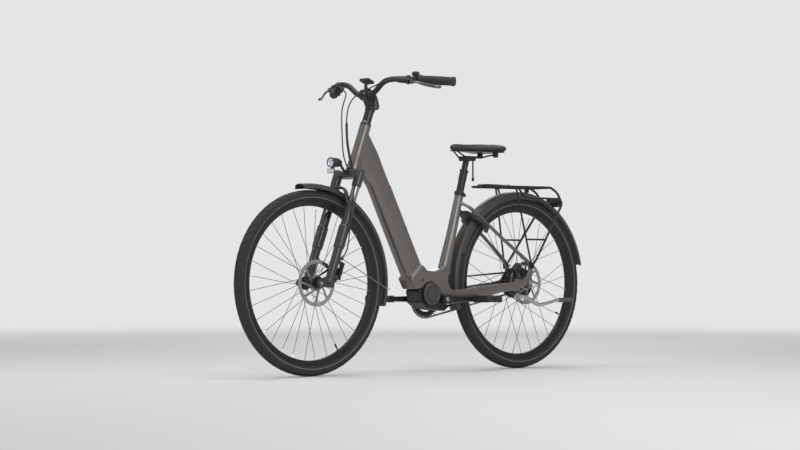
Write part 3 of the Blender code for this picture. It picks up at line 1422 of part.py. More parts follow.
def display(carrier, material):
    """Small tilted screen on an arm from the bar clamp."""
    clamp = stem_clamp()
    turn = Matrix.Rotation(radians(24), 4, "Y")
    centre = clamp + Vector((-0.004, 0.0, 0.054))
    body = soft_block(centre, (0.037, 0.054, 0.011), 0.003, turn)
    foot = clamp + Z_AXIS * (BAR_CLAMP_RADIUS + STEM_WALL + SEAT_GAP)
    knee = foot + Vector((0.0, 0.0, 0.006))
    elbow = knee + Vector((0.003, 0.0, 0.008))
    arm = tube([foot, knee, elbow, centre], [0.0075, 0.0065, 0.0055, 0.0075], 8)
    build("display", [body, arm], material, carrier)


def lamp_centre():
    return fork_point(FORK_LENGTH - 0.009, 0.104)


def headlight(carrier, material):
    centre = lamp_centre()
    profile = [(-0.034, 0.008), (-0.030, 0.0150), (-0.012, 0.0190), (0.010, 0.0205)]
    profile += [(0.014, 0.0205), (0.014, 0.0185), (0.011, 0.0175)]
    lamp = revolve(profile, centre, X_AXIS, 14)
    reflector = block(centre + Vector((0.010, 0.0, -0.0335)), (0.007, 0.044, 0.018))
    neck = block(centre + Vector((0.002, 0.0, -0.022)), (0.012, 0.010, 0.012))
    build("headlight", [lamp, reflector, neck], material, carrier)


def lamp_bracket(carrier, material):
    """Strap from the crown's front face up to the lamp."""
    face = 0.004 + 0.021 + SEAT_GAP
    top = crown_top()
    route = [fork_point(top - 0.0165, face + 0.0012), fork_point(top - 0.0165, face + 0.010)]
    route.append(lamp_centre() + Vector((-0.0365, 0.0, -0.005)))
    sections = []
    for i, point in enumerate(route):
        run = (route[min(i + 1, 2)] - route[max(i - 1, 0)]).normalized()
        upright = Vector((-run.z, 0.0, run.x))
        sections.append(rounded(point, Y_AXIS, upright, 0.008, 0.0022, 8, 5.0))
    pad = revolve([(-0.0385, 0.0115), (-0.0343, 0.0115)], lamp_centre(), X_AXIS, 12)
    foot = block_on_fork(top - 0.0165, face + 0.0012, 0.0, (0.0024, 0.022, 0.020))
    build("lamp_bracket", [loft(sections), pad, foot], material, carrier)


def hose(name, points, carrier, material):
    """A hydraulic hose as a bevelled curve with closed ends."""
    curve = bpy.data.curves.new(name, "CURVE")
    curve.dimensions = "3D"
    curve.bevel_depth = HOSE_RADIUS
    curve.bevel_resolution = 2
    curve.use_fill_caps = True
    spline = curve.splines.new("POLY")
    spline.points.add(len(points) - 1)
    shift = Vector(carrier["place"])
    for spot, point in zip(spline.points, points):
        spot.co = (*(Vector(point) - shift), 1.0)
    thing = bpy.data.objects.new(name, curve)
    curve.materials.append(material)
    thing.parent = carrier
    bpy.context.scene.collection.objects.link(thing)


def hose_start(side):
    """Inner end of a master cylinder, with the clearance that the hose keeps."""
    start, end = master_line(side)
    run = (start - end).normalized()
    return start + run * (2 * SEAT_GAP), run


def hose_routes():
    left, left_run = hose_start(1)
    right, right_run = hose_start(-1)
    front = [
        left,
        left + left_run * 0.010,
        left + left_run * 0.022,
        fork_point(HEAD_TOP + 0.100, 0.098, 0.052),
        fork_point(HEAD_TOP + 0.040, 0.124, 0.020),
        fork_point(HEAD_TOP - 0.060, 0.092, 0.012),
        fork_point(FORK_LENGTH + 0.060, 0.062, 0.018),
        fork_point(FORK_LENGTH - 0.020, 0.040, 0.052),
        fork_point(FORK_LENGTH - 0.090, 0.034, 0.084),
        fork_point(FORK_LENGTH - 0.200, 0.016, 0.092),
        fork_point(FORK_LENGTH - 0.300, -0.008, 0.088),
        fork_point(0.152, -0.028, 0.066),
        fork_point(0.122, -0.025, 0.046),
        front_hose_end() + STEER_UP * 0.010,
        front_hose_end(),
    ]
    mouth = hose_port_mouth()
    inward = (hose_port_foot() - mouth).normalized()
    rear = [
        right,
        right + right_run * 0.010,
        right + right_run * 0.022,
        fork_point(HEAD_TOP + 0.100, 0.090, -0.056),
        fork_point(HEAD_TOP + 0.030, 0.118, -0.030),
        fork_point(HEAD_TOP - 0.070, 0.080, -0.024),
        fork_point(FORK_LENGTH + 0.050, 0.030, -0.042),
        mouth - inward * 0.016,
        mouth - inward * 0.008,
        mouth - inward * (2 * SEAT_GAP),
    ]
    return smooth_route(front, 2), smooth_route(rear, 2)


def front_hose_end():
    """Just above the front caliper's hose inlet."""
    return front_caliper_place() + STEER_UP * (0.028 + 2 * SEAT_GAP)


# Guards
def guard_sections(centre, angles, skirt_at):
    """Arched cross-sections along an arc; skirt_at gives each one's side depth."""
    sections = []
    for angle in angles:
        out = Vector((cos(angle), 0.0, sin(angle)))
        deep = skirt_at(angle)
        outer = [(0.0, 0.0), (0.58, 0.0022), (0.92, 0.0085), (1.0, deep)]
        points = []
        for share, drop in outer:
            points.append((share * GUARD_HALF_WIDTH, GUARD_RADIUS - drop))
        inside = GUARD_HALF_WIDTH - GUARD_WALL
        under = GUARD_RADIUS - GUARD_WALL
        inner = [(0.60 * inside, under - 0.0022), (inside, under - 0.0105), (inside, GUARD_RADIUS - deep)]
        full = [(-side, radius) for side, radius in reversed(points)] + points[1:]
        full += inner[::-1] + [(-side, radius) for side, radius in inner]
        sections.append([centre + out * radius + Y_AXIS * side for side, radius in full])
    return sections


def arc_angles(start, end, count):
    return [start + (end - start) * i / count for i in range(count + 1)]


def front_mudguard(carrier, material):
    angles = arc_angles(FRONT_GUARD_START, FRONT_GUARD_END, 11)
    shell = loft(guard_sections(FRONT_AXLE, angles, lambda angle: GUARD_SKIRT))
    tab = block_on_fork(GUARD_RADIUS + 0.0015, 0.0455, 0.0, (0.014, 0.016, 0.0060))
    build("front_mudguard", [shell, tab], material, carrier)


def rear_mudguard(carrier, material):
    seam = radians(104)

    def skirt(angle):
        return LOCK_SKIRT if radians(20) < angle < seam else GUARD_SKIRT

    angles = arc_angles(REAR_GUARD_START, REAR_GUARD_TAIL, 15)
    shell = loft(guard_sections(REAR_AXLE, angles, skirt))
    x = BRACKET.x - YOKE_REACH - SEAT_GAP
    low = REAR_AXLE.x + GUARD_RADIUS - 0.0035
    tab = block(((x + low) / 2, 0.0, AXLE_HEIGHT - 0.036), (x - low, 0.020, 0.012))
    build("rear_mudguard", [shell, tab], material, carrier)


def front_mudguard_stay(carrier, material):
    """Wire from both eyelets on the fork round the back of the guard."""
    reach = GUARD_RADIUS + 0.0020 + SEAT_GAP
    angle = radians(183.5)
    back = around(FRONT_AXLE, reach, angle)
    eyelet = fork_point(EYELET_HEIGHT, -0.017 - SEAT_GAP - 0.0005, EYELET_SIDE)
    half = [eyelet, around(FRONT_AXLE, reach - 0.020, angle, GUARD_HALF_WIDTH + 0.0030)]
    half.append(around(FRONT_AXLE, reach + 0.001, angle, GUARD_HALF_WIDTH - 0.001))
    half.append(back + Y_AXIS * 0.014)
    route = half + [Vector((point.x, -point.y, point.z)) for point in reversed(half)]
    build("front_mudguard_stay", [tube(route, 0.0018, 6)], material, carrier)


# Rack, lights and lock
def rack_foot(side):
    """Bolt place of the rack on the outside of the dropout loop."""
    x, z, y, half_width, _ = stay_route()[9]
    return Vector((x, side * (y + half_width + SEAT_GAP + 0.0047), z))


def rack_side(side):
    """The long bent tube that makes one side of the deck and its rear leg."""
    y = side * RACK_HALF_WIDTH
    foot = rack_foot(side)
    deck = RACK_HEIGHT
    route = [(0.205, side * 0.030, deck), (0.222, side * 0.046, deck), (0.205, y, deck)]
    route += [(-0.145, y, deck + 0.004), (-0.185, y, deck - 0.018), (-0.214, y, deck - 0.064)]
    route += [(foot.x - 0.022, foot.y, foot.z + 0.020), (foot.x, foot.y, foot.z)]
    return tube(route, RACK_TUBE_RADIUS, 6)


def rack(carrier, material):
    shapes = []
    small = RACK_BAR_RADIUS
    for _, side in SIDES:
        y = side * RACK_HALF_WIDTH
        foot = rack_foot(side)
        shapes.append(rack_side(side))
        strut_end = foot + Vector((0.006, 0.0, 0.012))
        shapes.append(tube([(STRUT_TOP, y, RACK_HEIGHT), strut_end], small, 6))
        shapes.append(block(foot, (0.020, 0.0094, 0.026)))
        rail = y + side * 0.012
        upper = [(0.050, y, RACK_HEIGHT - 0.003), (0.022, rail, RACK_HEIGHT - 0.043)]
        upper += [(-0.180, rail, RACK_HEIGHT - 0.043), (-0.205, y, RACK_HEIGHT - 0.052)]
        shapes.append(tube(upper, small, 5))
        low = AXLE_HEIGHT + 0.182
        lower = [rack_strut_point(side, low), (0.005, rail, low), (-0.142, side * 0.078, low)]
        shapes.append(tube(lower, small, 5))
    for x, rise in ((0.150, 0.0), (STRUT_TOP, 0.0), (-0.060, 0.003), (-0.150, 0.003)):
        ends = [Vector((x, side * RACK_HALF_WIDTH, RACK_HEIGHT + rise)) for _, side in SIDES]
        shapes.append(rod(ends[0], ends[1], small, 6))
    front = [clamp_axis() + Y_AXIS * (side * 0.034) for _, side in SIDES]
    shapes.append(rod(front[0], front[1], small, 8))
    x = -0.060
    near = x + 0.008
    lowest = AXLE_HEIGHT + (GUARD_RADIUS**2 - near**2) ** 0.5 + SEAT_GAP
    shapes.append(block((x, 0.0, (lowest + RACK_HEIGHT) / 2), (0.014, 0.016, RACK_HEIGHT - lowest)))
    light_bar = [Vector((LIGHT_BAR, side * RACK_HALF_WIDTH, RACK_HEIGHT - 0.057)) for _, side in SIDES]
    shapes.append(rod(light_bar[0], light_bar[1], small, 6))
    build("rack", shapes, material, carrier)


def rack_strut_point(side, height):
    """A point on the rack's front strut at a given height."""
    top = Vector((STRUT_TOP, side * RACK_HALF_WIDTH, RACK_HEIGHT))
    foot = rack_foot(side) + Vector((0.006, 0.0, 0.012))
    share = (top.z - height) / (top.z - foot.z)
    return top + (foot - top) * share


def clamp_axis():
    """Middle of the rack's front cross bar, on which its flap turns."""
    return Vector((0.207, 0.0, RACK_HEIGHT))


def rack_clamp(carrier, material):
    """Sprung flap over the front of the deck, with a sleeve round the front cross bar."""
    axis = clamp_axis()
    low = axis.z + RACK_TUBE_RADIUS + SEAT_GAP
    outline = [(0.204, 0.0), (0.204, 0.0045), (0.120, 0.0045), (0.086, 0.0030)]
    outline += [(0.072, 0.0065), (0.070, 0.0035), (0.086, 0.0), (0.120, 0.0)]
    half = RACK_HALF_WIDTH / 2 - 0.002
    blade = plate([(x, low + z) for x, z in outline], -half, half)
    windows = []
    for x, wide in ((0.110, 0.026), (0.165, 0.030)):
        windows += [block((x, side * 0.0155, low), (wide, 0.017, 0.03)) for _, side in SIDES]
    sleeve = rod(axis - Y_AXIS * 0.020, axis + Y_AXIS * 0.020, 0.0080, 12)
    bore_radius = across_flats(RACK_BAR_RADIUS + 2 * SEAT_GAP, 8)
    bore = rod(axis - Y_AXIS * 0.05, axis + Y_AXIS * 0.05, bore_radius, 8)
    build("rack_clamp", [blade, sleeve], material, carrier, [*windows, bore])


def rear_light(carrier, material):
    x = LIGHT_BAR - RACK_BAR_RADIUS - SEAT_GAP
    z = RACK_HEIGHT - 0.056
    body = soft_block((x - 0.011, 0.0, z), (0.022, 0.076, 0.040), 0.005)
    build("rear_light", [body], material, carrier)


def lock_frame():
    """Middle of the ring lock and the two directions of its plane, which the seatstays share."""
    route = stay_route()
    low = Vector((route[11][0], 0.0, route[11][1]))
    high = Vector((route[12][0], 0.0, route[12][1]))
    along = (high - low).normalized()
    square = Vector((along.z, 0.0, -along.x))
    centre = low + (high - low) * 0.766 + square * (STAY_RADIUS + 0.0095)
    return centre, along, square


def lock_housing(carrier, material):
    """Horseshoe body that hugs the wheel, open at its lower end where the bolt crosses."""
    centre, along, square = lock_frame()
    inner, outer, half = 0.0460, 0.0610, 0.0095
    angles = arc_angles(radians(-62), radians(242), 13)
    sections = []
    for angle in angles:
        out = along * sin(angle) + Y_AXIS * cos(angle)
        sections.append(
            [
                centre + out * inner - square * half,
                centre + out * outer - square * half * 0.8,
                centre + out * (outer + 0.002),
                centre + out * outer + square * half * 0.8,
                centre + out * inner + square * half,
            ]
        )
    horseshoe = loft(sections)
    top = centre + along * (outer + 0.006)
    body = loft(
        [
            rounded(top + along * step, Y_AXIS, square, wide, half, 10, 4.0)
            for step, wide in ((-0.016, 0.040), (0.004, 0.036), (0.014, 0.026))
        ]
    )
    channel_inner, channel_outer = LOCK_RING_RADIUS - 0.0039, LOCK_RING_RADIUS + 0.0039
    channel = []
    for angle in arc_angles(radians(-70), radians(248), 15):
        out = along * sin(angle) + Y_AXIS * cos(angle)
        channel.append(
            [
                centre + out * channel_inner - square * 0.0034,
                centre + out * channel_outer - square * 0.0034,
                centre + out * channel_outer + square * 0.0034,
                centre + out * channel_inner + square * 0.0034,
            ]
        )
    build("lock_housing", [horseshoe, body], material, carrier, [loft(channel)])


def lock_bolt(carrier, material):
    """Curved bolt that slides round inside the horseshoe and across the spokes."""
    centre, along, square = lock_frame()
    sections = []
    for angle in arc_angles(radians(92), radians(239), 13):
        out = along * sin(angle) + Y_AXIS * cos(angle)
        sections.append(ring_of(centre + out * LOCK_RING_RADIUS, out, square, 0.0026, 6))
    build("lock_bolt", [loft(sections)], material, carrier)


# Stand
def stand_pivot():
    return Vector((0.075, DROPOUT_SIDE + 0.004, AXLE_HEIGHT - 0.0565))


def stand_axis():
    """Down and outwards, so that the leg swings clear of the wheel as it drops."""
    return Vector((0.0, -cos(STAND_LEAN), -sin(STAND_LEAN)))


def kickstand_bracket(carrier, material):
    pivot = stand_pivot()
    top = stand_boss_low() - SEAT_GAP
    foot = block((0.075, DROPOUT_SIDE - 0.0015, top - 0.003), (0.038, 0.014, 0.006))
    axis = stand_axis()
    pin = rod(pivot + axis * 0.016, pivot - axis * 0.013, STAND_PIN_RADIUS, 12)
    web = block((0.075, DROPOUT_SIDE - 0.0070, top - 0.014), (0.016, 0.006, 0.024))
    build("kickstand_bracket", [foot, web, pin], material, carrier)


def kickstand_leg(carrier, material):
    pivot = stand_pivot()
    axis = stand_axis()
    hub_disc = rod(pivot + axis * 0.0045, pivot - axis * 0.0095, 0.0115, 14)
    route = [pivot - axis * 0.003 + Vector((-0.004, 0.0, 0.0))]
    route += [pivot + Vector((-0.043, 0.0150, -0.004)), pivot + Vector((-0.100, 0.0280, -0.034))]
    route += [pivot + Vector((-0.200, 0.0290, -0.018)), pivot + Vector((-0.215, 0.0290, -0.0165))]
    route += [pivot + Vector((-STAND_LENGTH, 0.0290, -0.015))]
    leg = tube(route, [0.0090, 0.0080, 0.0075, 0.0072, 0.0094, 0.0085], 8)
    wide = across_flats(STAND_PIN_RADIUS + SEAT_GAP, 12)
    bore = rod(pivot + axis * 0.03, pivot - axis * 0.03, wide, 12)
    build("kickstand_leg", [hub_disc, leg], material, carrier, [bore])


# Saddle
def post_top():
    return SEAT_TUBE_LENGTH + POST_EXTENSION


def seat_clamp(carrier, material):
    """Ring round the top of the seat tube, with its bolt lugs behind."""
    low = seat_point(SEAT_TUBE_LENGTH + SEAT_GAP)
    bore = across_flats(POST_RADIUS + SEAT_GAP, POST_SIDES)
    profile = [(0.0, bore), (0.0, 0.0215), (0.014, 0.0215), (0.014, bore)]
    ring = revolve(profile, low, SEAT_UP, POST_SIDES, closed=True)
    turn = Matrix.Rotation(-SEAT_TUBE_TILT, 4, "Y")
    lug = block(seat_point(SEAT_TUBE_LENGTH + SEAT_GAP + 0.007, -0.0245), (0.010, 0.018, 0.0130), turn)
    build("seat_clamp", [ring, lug], material, carrier)


def seatpost(carrier, material):
    low = SEAT_TUBE_LENGTH - 0.130
    length = post_top() - low
    band = POST_RADIUS + 0.0008
    profile = [(0.0, POST_RADIUS), (length - 0.046, POST_RADIUS), (length - 0.0455, band)]
    profile += [(length - 0.006, band), (length - 0.005, 0.0190), (length, 0.0180)]
    wide = across_flats(INNER_POST_RADIUS + SEAT_GAP, 12)
    bore = rod(seat_point(post_top() - 0.150), seat_point(post_top() + 0.01), wide, 12)
    build("seatpost", [revolve(profile, seat_point(low), SEAT_UP, POST_SIDES)], material, carrier, [bore])


def saddle_level():
    """Height of the saddle's underside."""
    return seat_point(post_top() + SADDLE_RISE).z


def seat_head(carrier, material):
    """Sprung inner post with the saddle clamp on top and the clamp bolt hanging behind it."""
    low = post_top() - 0.090
    profile = [(0.0, INNER_POST_RADIUS), (0.134, INNER_POST_RADIUS), (0.136, 0.0150), (0.146, 0.0150)]
    shaft = revolve(profile, seat_point(low), SEAT_UP, 12)
    z = saddle_level() - SADDLE_RAIL_DROP - 0.0045
    middle = seat_point(post_top() + CLAMP_RISE).x
    clamp = soft_block((middle - 0.004, 0.0, z), (0.050, 0.056, 0.020), 0.004)
    rails = []
    for _, side in SIDES:
        y = side * SADDLE_RAIL_SIDE
        wide = across_flats(SADDLE_RAIL_RADIUS + SEAT_GAP, 8)
        rails.append(rod((middle - 0.1, y, z + 0.0045), (middle + 0.1, y, z + 0.0045), wide, 8))
    x = middle - 0.036
    ear = block((x + 0.008, 0.0, z - 0.004), (0.024, 0.012, 0.010))
    bolt = rod((x, 0.0, z - 0.090), (x, 0.0, z + 0.004), 0.0032, 8)
    nut = rod((x, 0.0, z - 0.092), (x, 0.0, z - 0.078), 0.0055, 8)
    build("seat_head", [shaft, clamp, ear, bolt, nut], material, carrier, rails)


def saddle_width(x):
    """Half width of the saddle at a distance ahead of its tail."""
    steps = [(0.0, 0.050), (0.012, 0.078), (0.035, 0.093), (0.065, 0.092), (0.095, 0.076)]
    steps += [(0.130, 0.050), (0.165, 0.033), (0.210, 0.024), (0.245, 0.019), (SADDLE_LENGTH, 0.008)]
    for (a, low), (b, high) in zip(steps, steps[1:]):
        if x <= b:
            share = (x - a) / (b - a)
            share = share * share * (3 - 2 * share)
            return low + (high - low) * share
    return steps[-1][1]


def saddle_tail():
    return seat_point(post_top() + CLAMP_RISE).x - 0.172


def saddle_pad(carrier, material):
    """The cushion: a wide crowned seat, drawn in at its sides, with a channel down the middle."""
    level = saddle_level()
    tail = saddle_tail()
    sections = []
    count = 18
    steps = (0.0, 0.008, 0.022, 0.045, 0.070, 0.095, 0.120, 0.145, 0.172, 0.200, 0.228, 0.250, SADDLE_LENGTH)
    for x in steps:
        half = saddle_width(x)
        thick = 0.012 if x in (0.0, SADDLE_LENGTH) else (0.024 if x in (0.008, 0.250) else 0.029)
        droop = -0.004 * (x / SADDLE_LENGTH) ** 2 + 0.004 * max(0.0, 0.06 - x) / 0.06
        points = []
        for i in range(count):
            angle = 2 * pi * (i + 0.5) / count
            across = cos(angle)
            rise = sin(angle)
            y = half * (abs(across) ** 0.75) * (1 if across > 0 else -1)
            if rise < 0:
                y *= 0.90
                z = level + 0.0005 + 0.006 * (1 + rise) * 0.4
            else:
                crown = thick * rise**0.62 * (1.0 - 0.10 * abs(across))
                groove = 0.0045 * max(0.0, 1.0 - abs(y) / 0.016) if 0.03 < x < 0.20 else 0.0
                z = level + 0.004 + crown * 0.86 + droop - groove
            points.append(Vector((tail + x, y, z)))
        sections.append(points)
    build("saddle_pad", [loft(sections)], material, carrier)


def saddle_frame(carrier, material):
    """Base shell, two rails and the rear bumpers."""
    level = saddle_level()
    tail = saddle_tail()
    low, high = level - 0.0040, level + 0.0005 - SEAT_GAP
    xs = (0.006, 0.020, 0.045, 0.070, 0.095, 0.130, 0.165, 0.210, 0.245, 0.256)
    edge = [(tail + x, saddle_width(x) * 0.84) for x in xs]
    outline = edge + [(x, -y) for x, y in reversed(edge)]
    base = loft([[Vector((x, y, z)) for x, y in outline] for z in (low, high)])
    rails = []
    bumpers = []
    clamp = level - SADDLE_RAIL_DROP
    for _, side in SIDES:
        y = side * SADDLE_RAIL_SIDE
        route = [(tail + 0.236, side * 0.010, level - 0.003), (tail + 0.222, side * 0.014, level - 0.012)]
        route += [(tail + 0.196, y, clamp), (tail + 0.112, y, clamp)]
        route += [(tail + 0.060, side * 0.040, level - 0.014), (tail + 0.046, side * 0.044, level - 0.003)]
        rails.append(tube(route, SADDLE_RAIL_RADIUS, 6))
        middle = Vector((tail + 0.050, side * 0.046, level - 0.003))
        profile = [(-0.022, 0.009), (-0.019, 0.0125), (-0.004, 0.0125), (0.0, 0.010)]
        bumpers.append(revolve(profile, middle, Z_AXIS, 8))
    build("saddle_frame", [base, *rails, *bumpers], material, carrier)


# Assembly
def make_carriers():
    """One empty for the whole bicycle and one on the axis of each joint."""
    bicycle = empty_at("bicycle", (0.0, 0.0, 0.0))
    bicycle.location = (REAR_AXLE_X, 0.0, 0.0)
    found = {"frame": bicycle}
    found["steering"] = empty_at("steering", fork_point(HEAD_TOP), bicycle)
    found["fork"] = empty_at("fork_slide", fork_point(0.1, LEG_AHEAD), found["steering"])
    found["front_wheel"] = empty_at("front_wheel", FRONT_AXLE, found["fork"])
    found["rear_wheel"] = empty_at("rear_wheel", REAR_AXLE, bicycle)
    found["sprocket"] = empty_at("sprocket", REAR_AXLE, bicycle)
    found["crank"] = empty_at("crank", BRACKET, bicycle)
    for word, side in SIDES:
        eye = BRACKET + Vector((-side * CRANK_LENGTH, side * (CRANK_SIDE + CRANK_FLARE), 0.0))
        found[f"{word}_pedal"] = empty_at(f"{word}_pedal_axle", eye, found["crank"])
        found[f"{word}_lever"] = empty_at(f"{word}_lever_pivot", lever_pivot(side), found["steering"])
    found["rocker"] = empty_at("rocker_pivot", rocker_place(), found["steering"])
    found["shifter"] = empty_at("shifter_axis", grip_line(-1)[0], found["steering"])
    found["post"] = empty_at("post_slide", seat_point(SEAT_TUBE_LENGTH), bicycle)
    found["seat"] = empty_at("seat_slide", seat_point(post_top()), found["post"])
    found["stand"] = empty_at("stand_pivot", stand_pivot(), bicycle)
    found["lock"] = empty_at("lock_ring", lock_frame()[0], bicycle)
    found["clamp"] = empty_at("rack_clamp_hinge", clamp_axis(), bicycle)
    return found


def make_frame_parts(carriers, materials):
    root = carriers["frame"]
    main_frame(root, materials["frame"])
    battery_cover(root, materials["frame"])
    motor(root, materials["satin"])
    motor_disc(root, materials["disc"])
    skid_guard(root, materials["plastic"])
    headset_rings(root, materials["satin"])
    seat_clamp(root, materials["satin"])
    rear_mudguard(root, materials["guard"])
    rack(root, materials["alloy"])
    rear_light(root, materials["red"])
    rear_caliper(root, materials["satin"])
    lock_housing(root, materials["plastic"])
    lock_bolt(carriers["lock"], materials["steel"])
    kickstand_bracket(root, materials["alloy"])
    kickstand_leg(carriers["stand"], materials["alloy"])
    rack_clamp(carriers["clamp"], materials["plastic"])
    chain(root, materials["chain"])
    rear_axle(root, materials["steel"])


def make_steering_parts(carriers, materials):
    bars = carriers["steering"]
    fork_crown(bars, materials["satin"])
    stem(bars, materials["satin"])
    handlebar(bars, materials["satin"])
    grip("left_grip", 1, bars, materials["grip"], 0.0)
    grip("right_grip", -1, bars, materials["grip"], 0.029)
    display(bars, materials["plastic"])
    headlight(bars, materials["lamp"])
    lamp_bracket(bars, materials["satin"])
    for word, side in SIDES:
        lever_mount(f"{word}_lever_mount", side, bars, materials["satin"])
        brake_lever(f"{word}_brake_lever", side, carriers[f"{word}_lever"], materials["satin"])
    remote(bars, materials["plastic"])
    remote_rocker(carriers["rocker"], materials["plastic"])
    shifter(carriers, materials)
    front, rear = hose_routes()
    hose("front_brake_hose", front, bars, materials["hose"])
    hose("rear_brake_hose", rear, bars, materials["hose"])


def make_fork_parts(carriers, materials):
    fork = carriers["fork"]
    fork_lowers(fork, materials["satin"])
    front_mudguard(fork, materials["guard"])
    front_mudguard_stay(fork, materials["steel"])
    front_caliper(fork, materials["satin"])
    front_axle(fork, materials["steel"])


def make_wheels(carriers, materials):
    front = carriers["front_wheel"]
    rear = carriers["rear_wheel"]
    tyre("front_tyre", FRONT_AXLE, front, materials["rubber"])
    tyre("rear_tyre", REAR_AXLE, rear, materials["rubber"])
    rim("front_rim", FRONT_AXLE, front, materials["satin"])
    rim("rear_rim", REAR_AXLE, rear, materials["satin"])
    front_hub(front, materials["satin"])
    rear_hub(rear, materials["satin"])
    rotor("front_rotor", FRONT_AXLE, FRONT_ROTOR_SIDE, front, materials["steel"])
    rotor("rear_rotor", REAR_AXLE, REAR_ROTOR_SIDE, rear, materials["steel"])


def make_drive(carriers, materials):
    crank = carriers["crank"]
    right_crank(crank, materials["alloy"])
    left_crank(crank, materials["alloy"])
    chainring(crank, materials["steel"])
    rear_sprocket(carriers["sprocket"], materials["steel"])
    pedal("left_pedal", 1, -1, carriers["left_pedal"], materials["plastic"])
    pedal("right_pedal", -1, 1, carriers["right_pedal"], materials["plastic"])


def make_saddle(carriers, materials):
    seatpost(carriers["post"], materials["satin"])
    seat_head(carriers["seat"], materials["satin"])
    saddle_frame(carriers["seat"], materials["plastic"])
    saddle_pad(carriers["seat"], materials["cover"])


def main():
    clear_scene()
    helpers = bpy.data.collections.new("helpers")
    bpy.context.scene.collection.children.link(helpers)
    helpers.hide_render = True
    materials = make_materials()
    carriers = make_carriers()
    make_frame_parts(carriers, materials)
    make_steering_parts(carriers, materials)
    make_fork_parts(carriers, materials)
    make_wheels(carriers, materials)
    make_drive(carriers, materials)
    make_saddle(carriers, materials)


main()
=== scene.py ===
# %% [markdown]
# # An electric city bicycle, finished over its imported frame
# The real object is a low-step electric bicycle: a painted aluminium frame with the battery inside its down
# tube, a sprung fork, two spoked wheels with disc brakes, mudguards and a luggage rack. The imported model
# already holds every separate piece at its true size. This lesson gives each piece its look. Some pieces are
# shaped anew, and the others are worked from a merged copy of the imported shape, whose edges are then rounded
# as a maker would.

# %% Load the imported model
import json
import math

import bmesh
import bpy
from mathutils import Matrix, Vector

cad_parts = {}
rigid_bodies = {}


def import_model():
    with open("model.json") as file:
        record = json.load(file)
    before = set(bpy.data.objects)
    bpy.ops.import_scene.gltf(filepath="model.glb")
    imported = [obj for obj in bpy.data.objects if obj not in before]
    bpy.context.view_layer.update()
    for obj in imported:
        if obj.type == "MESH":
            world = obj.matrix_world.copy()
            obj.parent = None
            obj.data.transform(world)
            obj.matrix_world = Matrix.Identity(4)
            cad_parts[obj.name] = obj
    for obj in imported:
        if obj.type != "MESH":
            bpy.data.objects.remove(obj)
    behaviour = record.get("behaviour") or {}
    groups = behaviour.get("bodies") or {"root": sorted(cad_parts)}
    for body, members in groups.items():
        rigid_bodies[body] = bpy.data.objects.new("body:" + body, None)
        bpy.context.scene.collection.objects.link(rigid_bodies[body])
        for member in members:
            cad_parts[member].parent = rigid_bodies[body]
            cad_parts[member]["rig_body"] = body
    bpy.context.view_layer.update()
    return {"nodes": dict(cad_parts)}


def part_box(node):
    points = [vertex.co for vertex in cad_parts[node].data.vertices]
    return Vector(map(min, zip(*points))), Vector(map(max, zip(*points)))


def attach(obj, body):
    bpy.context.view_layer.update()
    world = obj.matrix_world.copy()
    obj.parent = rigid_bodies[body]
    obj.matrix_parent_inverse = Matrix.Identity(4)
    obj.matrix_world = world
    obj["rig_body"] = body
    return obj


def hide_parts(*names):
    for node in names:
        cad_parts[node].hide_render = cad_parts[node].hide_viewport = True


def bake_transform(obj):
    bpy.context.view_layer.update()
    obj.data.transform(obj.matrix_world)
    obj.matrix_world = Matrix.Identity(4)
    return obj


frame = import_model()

# %% [markdown]
# ## Places on the bicycle
# A bicycle is laid out from a few points: the two axles, the crank and the two slanted lines of the steering
# and the seat tube. Every new piece below is placed from these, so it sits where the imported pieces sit. The
# fork and seat lines could be read off the picture each time, but naming them once keeps all the pieces in
# step.

# %% Axles and slanted lines
REAR_AXLE = Vector((-0.5529317644521263, 0.0, 0.358))
FRONT_AXLE = REAR_AXLE + Vector((1.125, 0.0, 0.0))
CRANK_AXIS = Vector((REAR_AXLE.x + 0.477, 0.0, 0.293))
FORK_TILT, SEAT_TILT = math.radians(20.4), math.radians(15.5)
FORK_UP = Vector((-math.sin(FORK_TILT), 0.0, math.cos(FORK_TILT)))
FORK_AHEAD = Vector((math.cos(FORK_TILT), 0.0, math.sin(FORK_TILT)))
FORK_FOOT = FRONT_AXLE - FORK_AHEAD * 0.0477
FORK_LENGTH, HEAD_TOP = 0.4884, 0.6804
ACROSS, UP = Vector((0.0, 1.0, 0.0)), Vector((0.0, 0.0, 1.0))


def on_fork(up, ahead=0.0, side=0.0):
    """A place on the steering line: up it from the wheel's height, ahead of it, and to the left."""
    return FORK_FOOT + FORK_UP * up + FORK_AHEAD * ahead + ACROSS * side


def on_seat_tube(up, ahead=0.0, side=0.0):
    """A place on the seat tube's own line: up it, ahead of it, and to the left."""
    foot = CRANK_AXIS + Vector((-0.0275, 0.0, 0.010))
    along = Vector((-math.sin(SEAT_TILT), 0.0, math.cos(SEAT_TILT)))
    across = Vector((math.cos(SEAT_TILT), 0.0, math.sin(SEAT_TILT)))
    return foot + along * up + across * ahead + ACROSS * side


def around(centre, radius, degrees, side=0.0):
    """A place on a circle round an axle."""
    turn = math.radians(degrees)
    return centre + Vector((radius * math.cos(turn), side, radius * math.sin(turn)))


def out_at(degrees):
    """A direction in the plane of the wheels, from straight ahead and turning upwards."""
    return Vector((math.cos(math.radians(degrees)), 0.0, math.sin(math.radians(degrees))))


SEAT_LINE = on_seat_tube(1.0) - on_seat_tube(0.0)
SEAT_UP = SEAT_LINE.normalized()
FORK_TURN, SEAT_TURN = Matrix.Rotation(-FORK_TILT, 4, "Y"), Matrix.Rotation(-SEAT_TILT, 4, "Y")
SEAT_TOP = 0.430
print("front axle", tuple(FRONT_AXLE), "crank", tuple(CRANK_AXIS))

